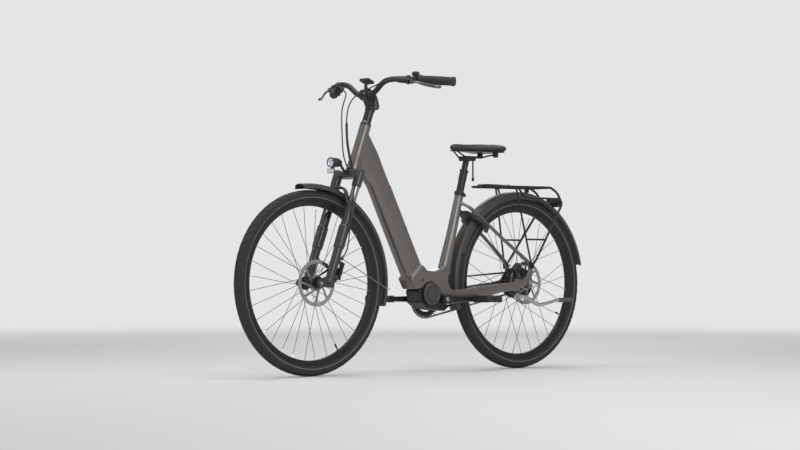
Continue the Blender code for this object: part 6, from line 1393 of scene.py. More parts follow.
# %% Caps on the fork's tubes
for hand in (1, -1):
    knob = turned("fork_top_cap", [(0.0, 0.0128), (0.0014, 0.0134), (0.0034, 0.0130), (0.0040, 0.0122),
                                   (0.0040, 0.0060), (0.0060, 0.0056), (0.0062, 0.0050), (0.0062, 0.0)],
                  on_fork(crown_top - 0.0032, LEG_AHEAD, hand * LEG_SIDE), FORK_UP, 40)
    smooth(knob, 32.0)
    fitted(knob, SATIN_BLACK, "steering")
print("caps", len(knob.data.polygons), "faces each")

# %% [markdown]
# ## Headset covers
# Above and below the head tube a glossy cover keeps the rain out of each bearing. The upper one steps inwards
# twice, and the lower one has a groove for its seal. Both are closed profiles, turned.

# %% Turn both covers
for node, place, profile in (
    ("lower_headset", on_fork(FORK_LENGTH - 0.0003),
     [(0.0, 0.0152), (0.0, 0.0270), (-0.0006, 0.0275), (-0.0018, 0.0275), (-0.0021, 0.0268),
      (-0.0024, 0.0275), (-0.0040, 0.0275), (-0.0045, 0.0270), (-0.0045, 0.0152)]),
    ("upper_headset", on_fork(HEAD_TOP + 0.0003),
     [(0.0, 0.0152), (0.0, 0.0220), (0.0006, 0.0225), (0.0040, 0.0225), (0.0046, 0.0220), (0.0050, 0.0212),
      (0.0060, 0.0212), (0.0075, 0.0207), (0.0110, 0.0193), (0.0136, 0.0187), (0.0145, 0.0182),
      (0.0145, 0.0152)]),
):
    ring = turned(node + "_cover", profile, place, FORK_UP, 64, closed=True)
    smooth(ring, 28.0)
    stand_in_for(ring, GLOSS_BLACK, node)
    print(ring.name, len(ring.data.polygons), "faces")

# %% [markdown]
# ## Cranks
# A crank is forged flat and thick at its boss, waisted along the arm and round again at the pedal's eye. The
# arm is a loft through ovals. The left one gets a turned boss. The right one also carries a spider of four
# arms that the chainring is bolted to. A drawing cut out and given thickness would keep square edges all
# along.

# %% A crank arm
CRANK_LENGTH = 0.170


def crank_arm(hand, forward):
    """A loft from the boss to the eye, and the eye's own place."""
    start = CRANK_AXIS + ACROSS * (hand * 0.072)
    end = start + Vector((forward * CRANK_LENGTH, hand * 0.006, 0.0))
    along = (end - start).normalized()
    across = along.cross(UP).normalized()
    rows = []
    for distance, tall, thick in ((-0.0165, 0.0060, 0.0060), (-0.0150, 0.0095, 0.0078),
                                  (-0.0110, 0.0130, 0.0084), (-0.0050, 0.0158, 0.0086),
                                  (0.004, 0.0165, 0.0086), (0.018, 0.0156, 0.0083), (0.036, 0.0138, 0.0079),
                                  (0.070, 0.0124, 0.0073), (0.110, 0.0112, 0.0066), (0.140, 0.0106, 0.0062),
                                  (0.156, 0.0112, 0.0063), (0.166, 0.0132, 0.0065), (0.174, 0.0130, 0.0065),
                                  (0.180, 0.0098, 0.0062), (0.183, 0.0060, 0.0050)):
        rows.append(oval(start + along * distance, UP, across, tall, thick, 28))
    return lofted("arm", rows), end


print("crank", CRANK_LENGTH, "m from boss to eye")

# %% Left crank
arm, eye = crank_arm(1, -1)
boss = turned("boss", [(0.0575, 0.0), (0.0575, 0.0175), (0.0585, 0.0185), (0.0825, 0.0185), (0.0840, 0.0170),
                       (0.0840, 0.0)], CRANK_AXIS, ACROSS, 48)
left_crank = one_skin("forged_left_crank", [arm, boss], 0.0010, 4)
spindle = rounded_rod("spindle", eye, eye + ACROSS * 0.108, 0.0054)
left_crank = join_all([left_crank, spindle], "forged_left_crank")
stand_in_for(left_crank, SATIN_BLACK, "left_crank")
print("left crank", len(left_crank.data.polygons), "faces")

# %% Right crank and its spider
arm, eye = crank_arm(-1, 1)
axle = rounded_rod("axle", CRANK_AXIS + ACROSS * 0.062, CRANK_AXIS - ACROSS * 0.076, 0.0095)
spider = turned("spider", [(-0.0557, 0.0), (-0.0557, 0.0250), (-0.0548, 0.0268), (-0.0515, 0.0278),
                           (-0.0515, 0.0)],
                CRANK_AXIS, ACROSS, 56)
bodies = [arm, axle, spider]
for i in range(4):
    turn = 90.0 * (i + 0.5)
    out = out_at(turn)
    side_way = out.cross(ACROSS)
    rows = [oval(CRANK_AXIS + out * reach + ACROSS * -0.0536, side_way, ACROSS, half, 0.0020, 20)
            for reach, half in ((0.018, 0.0100), (0.034, 0.0085), (0.048, 0.0072), (0.056, 0.0070),
                                (0.0598, 0.0050))]
    bodies.append(lofted("spider_arm", rows))
right_crank = one_skin("forged_right_crank", bodies, 0.0010, 3)
spindle = rounded_rod("spindle", eye, eye - ACROSS * 0.108, 0.0054)
right_crank = join_all([right_crank, spindle], "forged_right_crank")
stand_in_for(right_crank, SATIN_BLACK, "right_crank")
print("right crank", len(right_crank.data.polygons), "faces")

# %% Crank and chainring bolts
for name, place, axis, radius in (("left_crank_bolt", CRANK_AXIS + ACROSS * 0.0836, ACROSS, 0.0095),
                                  ("right_crank_bolt", CRANK_AXIS - ACROSS * 0.0800, -ACROSS, 0.0095)):
    fitted(bolt_head(name, place, axis, radius, 0.0030), BRUSHED_STEEL, "crankset")
for i in range(4):
    bolt = bolt_head("ring_bolt", around(CRANK_AXIS, 0.0545, 90.0 * (i + 0.5), -0.0553), -ACROSS, 0.0044,
                     0.0014)
    fitted(bolt, BRUSHED_STEEL, "crankset")
print("bolts", len(bolt.data.polygons), "faces each")

# %% [markdown]
# ## Side stand
# The stand's leg is a bent alloy bar that grows thinner towards its rubber foot, with a disc round its pivot.
# It lies folded along the chainstay. The bar is a loft along a smooth line, under one skin with the disc.

# %% Forge the leg
STAND_PIVOT = Vector((-0.4779, 0.0715, 0.3015))
lean = math.radians(15.0)
stand_axis = Vector((0.0, -math.cos(lean), -math.sin(lean)))
line = smooth_line([STAND_PIVOT - stand_axis * 0.003 + Vector((-0.004, 0.0, 0.0)),
                    STAND_PIVOT + Vector((-0.043, 0.0150, -0.004)),
                    STAND_PIVOT + Vector((-0.100, 0.0280, -0.034)),
                    STAND_PIVOT + Vector((-0.200, 0.0290, -0.018)),
                    STAND_PIVOT + Vector((-0.215, 0.0290, -0.0165)),
                    STAND_PIVOT + Vector((-0.306, 0.0290, -0.015))], 8)
rows, run_so_far, whole = [], 0.0, length_of(line)
for i, spot in enumerate(line):
    heading = heading_at(line, i)
    run_so_far += (spot - line[i - 1]).length if i else 0.0
    first = heading.cross(ACROSS).normalized()
    radius = 0.0088 - 0.0018 * run_so_far / whole
    rows.append(oval(spot, first, heading.cross(first), radius, radius, 28, 2.2))
hub_disc = rounded_rod("hub_disc", STAND_PIVOT + stand_axis * 0.0045, STAND_PIVOT - stand_axis * 0.0095,
                       0.0115, 48, 0.0012)
leg = one_skin("forged_stand_leg", [lofted("leg", rows), hub_disc], 0.0009, 4)
pin_room = rounded_rod("pin_room", STAND_PIVOT - stand_axis * 0.03, STAND_PIVOT + stand_axis * 0.03, 0.0054)
bore(leg, pin_room)
smooth(leg, 40.0)
stand_in_for(leg, BARE_ALLOY, "kickstand_leg")
print("stand leg", len(leg.data.polygons), "faces")

# %% Rubber foot and pivot bolt
foot_start = STAND_PIVOT + Vector((-0.222, 0.0290, -0.0163))
foot_end = STAND_PIVOT + Vector((-0.3062, 0.0290, -0.015))
foot_long = (foot_end - foot_start).length
foot = turned("stand_foot_sleeve", [(0.0, 0.0068), (0.0, 0.0090), (0.0016, 0.0097), (0.010, 0.0097),
                                    (0.012, 0.0091), (0.014, 0.0097), (0.020, 0.0096), (0.022, 0.0090),
                                    (0.024, 0.0095), (foot_long - 0.004, 0.0086), (foot_long - 0.001, 0.0074),
                                    (foot_long, 0.0050),
                                    (foot_long, 0.0)], foot_start, foot_end - foot_start, 40)
smooth(foot, 30.0)
fitted(foot, SLEEVE_GREY, "stand")
bolt = bolt_head("stand_bolt", STAND_PIVOT - stand_axis * 0.0128, -stand_axis, 0.0078, 0.0032)
fitted(bolt, BRUSHED_STEEL, "frame")
print("foot", round(foot_long, 4), "m long")

# %% [markdown]
# ## Seatpost
# The post is a polished black tube with a ring of marks, and a sprung inner tube slides in it. The collar
# that pinches the seat tube round it has a split and one bolt behind.

# %% Draw the post
low, high = SEAT_TOP - 0.130, SEAT_TOP + 0.108
post = turned("drawn_seatpost", [(0.0, 0.0132), (0.0, 0.0150), (0.001, 0.0158), (high - low - 0.046, 0.0158),
                                 (high - low - 0.0452, 0.0166), (high - low - 0.007, 0.0166),
                                 (high - low - 0.0062, 0.0188), (high - low - 0.0012, 0.0186),
                                 (high - low, 0.0178), (high - low, 0.0129), (high - low - 0.006, 0.0129)],
              on_seat_tube(low), SEAT_UP, 64, closed=True)
smooth(post, 30.0)
stand_in_for(post, SATIN_BLACK, "seatpost")
print("post", round(high - low, 4), "m long")

# %% Collar and its bolt
collar = turned("collar_ring", [(0.0003, 0.0162), (0.0003, 0.0208), (0.0010, 0.0215), (0.0136, 0.0215),
                                (0.0143, 0.0208), (0.0143, 0.0162)], on_seat_tube(SEAT_TOP), SEAT_UP, 64,
                closed=True)
lugs = [soft_box("collar_lug", on_seat_tube(0.4373, -0.0245, side), (0.010, 0.0080, 0.0126), 0.0012,
                 SEAT_TURN)
        for side in (0.0049, -0.0049)]
collar = join_all([collar, *lugs], "seat_collar")
smooth(collar, 32.0)
stand_in_for(collar, SATIN_BLACK, "seat_clamp")
bolt = bolt_head("collar_bolt", on_seat_tube(0.4373, -0.0255, 0.0088), ACROSS, 0.0038, 0.0030)
fitted(bolt, BRUSHED_STEEL, "frame")
print("collar", len(collar.data.polygons), "faces")

# %% [markdown]
# The head is forged on top of the sprung tube. It is a block with two grooves that the saddle's rails lie in,
# and a long bolt hangs through it behind. The block and the tube get one skin, and the grooves are bored
# after it, so that the rails fit.

# %% Head with its rail grooves
level = on_seat_tube(high + 0.084).z - 0.0275 - 0.0045
middle = on_seat_tube(high + 0.052).x
shaft = turned("shaft", [(0.0, 0.0), (0.0, 0.0119), (0.0006, 0.0125), (0.132, 0.0125), (0.135, 0.0148),
                         (0.146, 0.0150), (0.146, 0.0)], on_seat_tube(high - 0.090), SEAT_UP, 48)
yoke = soft_box("yoke", Vector((middle - 0.004, 0.0, level)), (0.050, 0.056, 0.020), 0.0045, steps=4)
ear = soft_box("ear", Vector((middle - 0.028, 0.0, level - 0.004)), (0.024, 0.012, 0.010), 0.0020)
head = one_skin("seat_yoke", [shaft, yoke, ear], 0.0010, 3)
rails = [rounded_rod("rail_room", (middle - 0.1, side, level + 0.0045), (middle + 0.1, side, level + 0.0045),
                     0.0038) for side in (0.022, -0.022)]
bore(head, *rails)
hanging = turned("hanging_bolt", [(-0.092, 0.0), (-0.092, 0.0045), (-0.091, 0.0055), (-0.079, 0.0055),
                                  (-0.078, 0.0045), (-0.078, 0.0032), (0.003, 0.0032), (0.004, 0.0028),
                                  (0.004, 0.0)],
                 (middle - 0.036, 0.0, level), UP, 32)
head = join_all([head, hanging], "seat_yoke")
smooth(head, 35.0)
stand_in_for(head, SATIN_BLACK, "seat_head")
print("head", len(head.data.polygons), "faces")

# %% [markdown]
# ## Brake hoses
# A hydraulic hose is a 5 mm tube stiff enough to keep wide curves. One runs from the left lever down to the
# front brake, and the other from the right lever into a port in the frame. Each is a round tube along a
# smooth line through the places where the imported hose lies. Each crosses a joint, but here it is tied to
# no piece and stays where it is drawn. A cloth or rope simulation would also work, but it would wander
# off its clips.

# %% The two hoses
FRONT_HOSE = [(0.2944, 0.1819, 1.1465), (0.2990, 0.1730, 1.1474), (0.3052, 0.1600, 1.1472),
              (0.3233, 0.1086, 1.1310), (0.3472, 0.0560, 1.1070), (0.3722, 0.0296, 1.0850),
              (0.3910, 0.0195, 1.0520), (0.3979, 0.0136, 1.0093), (0.3973, 0.0120, 0.9549),
              (0.3957, 0.0130, 0.9146), (0.3943, 0.0190, 0.8770), (0.3966, 0.0334, 0.8350),
              (0.4016, 0.0520, 0.7943), (0.4101, 0.0696, 0.7622), (0.4204, 0.0840, 0.7266),
              (0.4315, 0.0902, 0.6741), (0.4418, 0.0920, 0.6173), (0.4490, 0.0915, 0.5619),
              (0.4510, 0.0870, 0.5200), (0.4500, 0.0780, 0.4920), (0.4500, 0.0665, 0.4730),
              (0.4545, 0.0545, 0.4580), (0.4614, 0.0460, 0.4450), (0.4680, 0.0425, 0.4330),
              (0.4738, 0.0418, 0.4181)]
REAR_HOSE = [(0.2944, -0.1819, 1.1465), (0.2990, -0.1730, 1.1474), (0.3052, -0.1600, 1.1472),
             (0.3192, -0.1102, 1.1302), (0.3397, -0.0600, 1.1042), (0.3673, -0.0367, 1.0770),
             (0.3860, -0.0290, 1.0400), (0.3925, -0.0243, 0.9967), (0.3896, -0.0250, 0.9414),
             (0.3807, -0.0326, 0.8960), (0.3678, -0.0410, 0.8565), (0.3530, -0.0437, 0.8250),
             (0.3430, -0.0420, 0.8060), (0.3330, -0.0375, 0.7970), (0.3229, -0.0324, 0.7949)]
for name, places, node, bodies, start, end in (
    ("front_hose_tube", FRONT_HOSE, "front_brake_hose", ("steering", "fork_slider"),
     on_fork(0.440, 0.0, 0.0), on_fork(0.190, 0.0, 0.0)),
    ("rear_hose_tube", REAR_HOSE, "rear_brake_hose", ("frame", "steering"),
     (0.3330, -0.0380, 0.8020), (0.3890, -0.0260, 0.9900)),
):
    line = smooth_line(places)
    hose = bar_along(name, line, 0.0025, 3)
    smooth(hose, 60.0)
    hose.data.materials.append(HOSE_SKIN)
    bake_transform(hose)
    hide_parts(node)
    print(name, round(length_of(line), 3), "m long")

# %% [markdown]
# ## Handlebar
# The bar is one bent alloy tube, thicker where the stem grips it, that rises and sweeps back to the grips. A
# tube along a line with rounded corners gives the bends, and a short turned sleeve gives the thick middle.

# %% Bend the bar
BAR_CENTRE = Vector((0.2872, 0.0, 1.1002))
half_bar = [(0.2872, 0.020, 1.1002), (0.2872, 0.036, 1.1002), (0.2887, 0.058, 1.1102),
            (0.2882, 0.105, 1.1442), (0.2897, 0.145, 1.1512), (0.2618, 0.1833, 1.1529),
            (0.2248, 0.2425, 1.1471), (0.1514, 0.3599, 1.1356)]
route = [(x, -y, z) for x, y, z in reversed(half_bar)] + half_bar
bar = bar_along("bent_bar", with_round_corners(route, 0.022, 6), 0.0111, 6)
smooth(bar, 60.0)
middle = turned("bar_middle", [(-0.0400, 0.0084), (-0.0350, 0.0112), (-0.0310, 0.0138), (-0.0265, 0.0157),
                               (0.0265, 0.0157), (0.0310, 0.0138), (0.0350, 0.0112), (0.0400, 0.0084)],
                BAR_CENTRE, ACROSS, 40)
smooth(middle, 40.0)
bar = join_all([bar, middle], "bent_bar")
stand_in_for(bar, SATIN_BLACK, "handlebar")
print("bar", len(bar.data.polygons), "faces")

# %% [markdown]
# ## Grips
# A grip is soft rubber over a hard sleeve, with a collar at its inner end, fine rings round it to hold on to
# and a smooth cap at its outer end. It is a turned profile whose rings are cut into it, one every four
# millimetres.

# %% Turn the grips
def grip_line(hand):
    """A grip's inner and outer end and the direction between them, left for 1 and right for -1."""
    inner, outer = Vector((0.2248, hand * 0.2425, 1.1471)), Vector((0.1482, hand * 0.3650, 1.1352))
    return inner, outer, (outer - inner).normalized()


for hand, word, start in ((1, "left", 0.0), (-1, "right", 0.029)):
    inner, outer, run = grip_line(hand)
    length = (outer - inner).length
    profile = [(start, 0.0113), (start, 0.0176), (start + 0.0008, 0.0182), (start + 0.0095, 0.0184),
               (start + 0.0105, 0.0180), (start + 0.0122, 0.0164)]
    place = start + 0.016
    while place < length - 0.020:
        swell = 0.0164 + 0.0011 * math.sin(math.pi * (place - start) / (length - start))
        profile += [(place, swell), (place + 0.0006, swell - 0.0006), (place + 0.0016, swell - 0.0006),
                    (place + 0.0022, swell)]
        place += 0.0042
    profile += [(length - 0.0150, 0.0166), (length - 0.0130, 0.0182), (length - 0.0095, 0.0188),
                (length - 0.0015, 0.0180), (length - 0.0004, 0.0165), (length, 0.0140), (length, 0.0)]
    grip = turned(word + "_turned_grip", profile, inner, run, 48)
    smooth(grip, 30.0)
    stand_in_for(grip, GRIP_RUBBER, word + "_grip")
    bolt = bolt_head(word + "_grip_end_bolt", outer - run * 0.0022, run, 0.0052, 0.0020)
    fitted(bolt, BARE_ALLOY, "steering")
print("grips", len(grip.data.polygons), "faces")

# %% [markdown]
# ## Headlight
# The lamp is a short round housing with cooling ribs, a clear domed lens set in its front rim, and the
# reflector that the law asks for below it. The housing is turned, and the lens is a shallow dome with a
# faceted reflector behind it. Clear plastic needs something to show, so the reflector is bright and the lens
# thin.

# %% Clear and coloured plastics
def clear_plastic(name, colour, roughness=0.04, transmission=0.95):
    material = new_material(name)
    place = add_node(material, "ShaderNodeTexCoord")
    waves = add_node(material, "ShaderNodeTexNoise", {"Vector": place.outputs["Object"], "Scale": 260.0,
                                                      "Detail": 1.0})
    bump = add_node(material, "ShaderNodeBump", {"Height": waves.outputs["Fac"], "Strength": 0.2,
                                                 "Distance": 0.0001})
    tint = mixed(material, waves.outputs["Fac"], rgba(colour, 0.94), rgba(colour, 1.04))
    surface = add_node(material, "ShaderNodeBsdfPrincipled",
                       {"Base Color": tint, "Roughness": roughness, "IOR": 1.49,
                        "Transmission Weight": transmission, "Normal": bump.outputs[0]})
    add_node(material, "ShaderNodeOutputMaterial", {"Surface": surface.outputs[0]})
    return material


CLEAR_LENS = clear_plastic("clear_lamp_lens", (0.95, 0.97, 1.0))
MIRROR = hard_finish("lamp_mirror", (0.86, 0.87, 0.88), 0.10, metal=1.0, grain=300.0, depth=0.0001,
                     patches=0.04, spread=0.04)
RED_LENS = clear_plastic("red_lamp_lens", (0.42, 0.016, 0.014), 0.12, transmission=0.25)
PRISM_WHITE = clear_plastic("prism_reflector", (0.82, 0.84, 0.86), 0.16, transmission=0.2)
print("finishes", len(bpy.data.materials))

# %% Turn the lamp
LAMP_AXIS = (1.0, 0.0, 0.0)
lamp_centre = on_fork(FORK_LENGTH - 0.009, 0.104)
profile = [(-0.0340, 0.0), (-0.0340, 0.0075), (-0.0330, 0.0100), (-0.0305, 0.0150), (-0.0280, 0.0162)]
for i in range(4):
    ring = -0.0270 + 0.0042 * i
    profile += [(ring, 0.0166 + 0.0007 * i), (ring + 0.0004, 0.0158 + 0.0007 * i),
                (ring + 0.0016, 0.0159 + 0.0007 * i), (ring + 0.0020, 0.0169 + 0.0007 * i)]
profile += [(-0.0080, 0.0194), (0.0080, 0.0203), (0.0130, 0.0205), (0.0138, 0.0203), (0.0140, 0.0196),
            (0.0140, 0.0188), (0.0115, 0.0184), (0.0090, 0.0184)]
housing = turned("lamp_housing", profile, lamp_centre, LAMP_AXIS, 48, across=UP)
smooth(housing, 32.0)
mirror = turned("lamp_mirror", [(0.0095, 0.0183), (0.0060, 0.0165), (0.0000, 0.0120), (-0.0040, 0.0065),
                                (-0.0045, 0.0030), (-0.0020, 0.0028), (-0.0015, 0.0)], lamp_centre,
                LAMP_AXIS, 16, across=UP)
lens = turned("lamp_lens", [(0.0100, 0.0), (0.0100, 0.0184), (0.0118, 0.0184), (0.0126, 0.0150),
                            (0.0134, 0.0080), (0.0136, 0.0)], lamp_centre, LAMP_AXIS, 48, across=UP)
smooth(lens, 30.0)
print("lamp", len(housing.data.polygons), "faces")

# %% Reflector below the lamp
plate = soft_box("lamp_reflector_tray", lamp_centre + Vector((0.0092, 0.0, -0.0335)), (0.0062, 0.044, 0.018),
                 0.0016)
neck = soft_box("lamp_neck", lamp_centre + Vector((0.002, 0.0, -0.022)), (0.012, 0.010, 0.012), 0.0014)
face = soft_box("lamp_reflector", lamp_centre + Vector((0.0126, 0.0, -0.0335)), (0.0018, 0.0400, 0.0142),
                0.0006)
housing = join_all([housing, plate, neck], "lamp_housing")
stand_in_for(housing, LAMP_BLACK, "headlight")
for piece, material in ((mirror, MIRROR), (lens, CLEAR_LENS), (face, PRISM_WHITE)):
    fitted(piece, material, "steering")
    print(piece.name, len(piece.data.polygons), "faces")

# %% [markdown]
# ## Rear lamp
# The rear lamp is a flat housing under the rack's tail, with one wide red lens over rows of prisms.

# %% Rear lens
rear_face = REAR_AXLE + Vector((-0.2085 - 0.0040 - 0.0003 - 0.022, 0.0, 0.702 - 0.358))
lens = soft_box("rear_lens", rear_face + Vector((0.0014, 0.0, 0.0)), (0.0034, 0.0640, 0.0290), 0.0014)
fitted(lens, RED_LENS, "frame")
low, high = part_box("rear_light")
print("rear lamp from", tuple(round(v, 4) for v in low), "to", tuple(round(v, 4) for v in high))

# %% [markdown]
# ## Stem
# The stem is forged: a short arm runs up and ahead from a collar on the steerer to a barrel round the bar,
# and a closed hood fills the angle below it. A plate with four bolts closes the barrel in front, a teardrop
# cheek with two sunk screws lies on each side, and below it are the spacers. The arm is a loft, the hood is
# the hull of three rods, and both get one skin with the barrel and the collar. Booleans would leave a seam at
# each joint.

# %% Arm, collar and barrel
stem_base = on_fork(HEAD_TOP + 0.083, -0.003)
reach = (BAR_CENTRE - stem_base).normalized()
square = Vector((-reach.z, 0.0, reach.x))
reach_length = (BAR_CENTRE - stem_base).length
rows = [oval(stem_base + reach * (reach_length * share), ACROSS, square, wide, tall, 28)
        for share, wide, tall in ((0.0, 0.0203, 0.0230), (0.2, 0.0198, 0.0218), (0.4, 0.0195, 0.0203),
                                  (0.6, 0.0196, 0.0190), (0.8, 0.0205, 0.0178), (1.0, 0.0214, 0.0170))]
low = HEAD_TOP + 0.0145 + 0.0006
collar = turned("collar", [(0.0470, 0.0), (0.0470, 0.0198), (0.0480, 0.0205), (0.0910, 0.0196),
                           (0.0945, 0.0182), (0.0960, 0.0150), (0.0960, 0.0)], on_fork(low), FORK_UP, 48)
barrel = rounded_rod("barrel", BAR_CENTRE - ACROSS * 0.0222, BAR_CENTRE + ACROSS * 0.0222, 0.0218, 48, 0.0010)
turn = Matrix.Rotation(-math.atan2(reach.z, reach.x), 4, "Y")
slots = [soft_box("slot", stem_base + reach * (reach_length * 0.50) + ACROSS * (side * 0.0215),
                  (0.0045, 0.008, 0.014), 0.0018, turn) for side in (1, -1)]
print("stem arm", round(reach_length, 4), "m long")

# %% Hood, skin and the bar's hole
drop_foot = Vector((0.2505, 0.0, 1.0560))
hood = join_all([rounded_rod("hood", place - ACROSS * 0.0182, place + ACROSS * 0.0182, radius, 32, 0.0016)
                 for place, radius in ((drop_foot, 0.0142),
                                       (drop_foot + Vector((0.0024, 0.0, 0.0425)), 0.0026),
                                       (BAR_CENTRE, 0.0170))], "hood")
open_whole(hood)
bpy.ops.mesh.convex_hull()
bpy.ops.object.mode_set(mode="OBJECT")
bodies = [lofted("arm", rows), collar, barrel, hood]
stem_piece = one_skin("forged_stem", bodies, 0.0009, 4, *slots)
bore(stem_piece, rounded_rod("bar_room", BAR_CENTRE - ACROSS * 0.04, BAR_CENTRE + ACROSS * 0.04, 0.0159))
smooth(stem_piece, 40.0)
stand_in_for(stem_piece, SATIN_BLACK, "stem")
print("stem", len(stem_piece.data.polygons), "faces")

# %% Faceplate and its four bolts
plate = turned("stem_faceplate", [(-0.0205, 0.0162), (-0.0205, 0.0222), (-0.0195, 0.0232), (0.0195, 0.0232),
                                  (0.0205, 0.0222), (0.0205, 0.0162)], BAR_CENTRE, ACROSS, 64, closed=True)
cut_off(plate, BAR_CENTRE + reach * 0.0026, -reach)
round_edges(plate, 0.0004)
smooth(plate, 32.0)
fitted(plate, SATIN_BLACK, "steering")
for side in (0.0135, -0.0135):
    for high in (0.0160, -0.0160):
        place = BAR_CENTRE + ACROSS * side + square * high + reach * 0.0146
        fitted(bolt_head("faceplate_bolt", place, reach, 0.0036, 0.0034), BRUSHED_STEEL, "steering")
print("faceplate", len(plate.data.polygons), "faces")

# %% Teardrop cheeks and their sunk screws
SCREW_PLACES = ((0.0, -0.0030), (0.0008, 0.0120))
drop = [(0.0150 * math.cos(a), 0.0150 * math.sin(a))
        for a in (math.radians(160 + 220 * k / 20) for k in range(21))]
drop += [(0.0080, 0.0300), (0.0048, 0.0430), (0.0030, 0.0452), (0.0008, 0.0440), (-0.0062, 0.0300)]
for hand in (1, -1):
    cheek = flat_plate("stem_cheek", drop, [loop_of(0.0056, 24, place) for place in SCREW_PLACES], 0.0044)
    cheek.data.transform(Matrix.Translation(drop_foot + ACROSS * hand * 0.0193)
                         @ Matrix.Rotation(math.pi / 2, 4, "X"))
    round_edges(cheek, 0.0007, 30.0)
    smooth(cheek, 32.0)
    fitted(cheek, DISC_GREY, "steering")
    for u, v in SCREW_PLACES:
        bolt = bolt_head("pinch_bolt", drop_foot + Vector((u, hand * 0.0180, v)), ACROSS * hand, 0.0042,
                         0.0018)
        fitted(bolt, BRUSHED_STEEL, "steering")
print("cheek", len(cheek.data.polygons), "faces")

# %% Spacers
rings = []
for start, finish in ((0.0002, 0.0098), (0.0100, 0.0198), (0.0200, 0.0298), (0.0300, 0.0468)):
    profile = [(start, 0.0150), (start, 0.0176), (start + 0.0005, 0.0181), (finish - 0.0005, 0.0181),
               (finish, 0.0176), (finish, 0.0150)]
    rings.append(turned("spacer", profile, on_fork(low), FORK_UP, 64, closed=True))
spacers = join_all(rings, "stem_spacers")
smooth(spacers, 32.0)
fitted(spacers, SPACER_GREY, "steering")
print("spacers", len(spacers.data.polygons), "faces")

# %% [markdown]
# ## Screen
# The display is a small flat block on a neck that rises from the stem and is tilted towards the rider. Its
# face is one pane of dark glass, with a long button below it. The neck is a loft and the block a box with
# round edges, under one skin. The pane and the button are laid on top, so that their edges stay crisp.

# %% Neck, block and glass
tilt = Matrix.Rotation(math.radians(-24.0), 4, "Y")
screen_centre = BAR_CENTRE + Vector((-0.004, 0.0, 0.054))
rows = [oval(BAR_CENTRE + Vector((x, 0.0, z)), Vector((1.0, 0.0, 0.0)), ACROSS, half, half * 1.25, 20, 2.5)
        for x, z, half in ((0.0, 0.0216, 0.0074), (0.0, 0.0250, 0.0070), (0.0004, 0.0290, 0.0062),
                           (0.0014, 0.0340, 0.0055), (0.0010, 0.0400, 0.0052), (-0.0015, 0.0470, 0.0060),
                           (-0.0040, 0.0530, 0.0070))]
block = soft_box("block", screen_centre, (0.0370, 0.0535, 0.0110), 0.0030, tilt, 4)
screen_body = one_skin("screen_body", [lofted("neck", rows), block], 0.0006, 3)
stand_in_for(screen_body, BLACK_PLASTIC, "display")
pane = soft_box("screen_pane", screen_centre + tilt @ Vector((0.0014, 0.0, 0.0052)), (0.0285, 0.0470, 0.0012),
                0.0005, tilt)
fitted(pane, SCREEN_GLASS, "steering")
button = soft_box("screen_button", screen_centre + tilt @ Vector((-0.0158, 0.0, 0.0052)),
                  (0.0026, 0.0160, 0.0016), 0.0006, tilt)
fitted(button, GRIP_RUBBER, "steering")
print("screen", len(screen_body.data.polygons), "faces")

# %% [markdown]
# ## Brake levers
# A hydraulic lever has a clamp round the bar, a master cylinder ahead of it with a flat lid on its reservoir,
# and a forked end whose pin carries the blade. The cylinder is turned and the web lofted, under one skin. The
# fork's slot is cut last, so that it stays sharp. The blade is a loft that curves out to a hooked tip for two
# fingers.

# %% Where a lever sits
LEVER_AHEAD = Vector((0.8474, 0.5298, 0.0))


def mirrored(place, hand):
    return Vector((place[0], hand * place[1], place[2]))


def lever_places(hand):
    """The clamp's centre, the pin, and both ends of the cylinder's axis."""
    inner, outer, run = grip_line(hand)
    return (inner - run * 0.044, mirrored((0.26757, 0.24569, 1.1368), hand),
            mirrored((0.2942, 0.1824, 1.1464), hand), mirrored((0.2667, 0.2357, 1.1395), hand))


print("left lever's pin", tuple(round(v, 4) for v in lever_places(1)[1]))

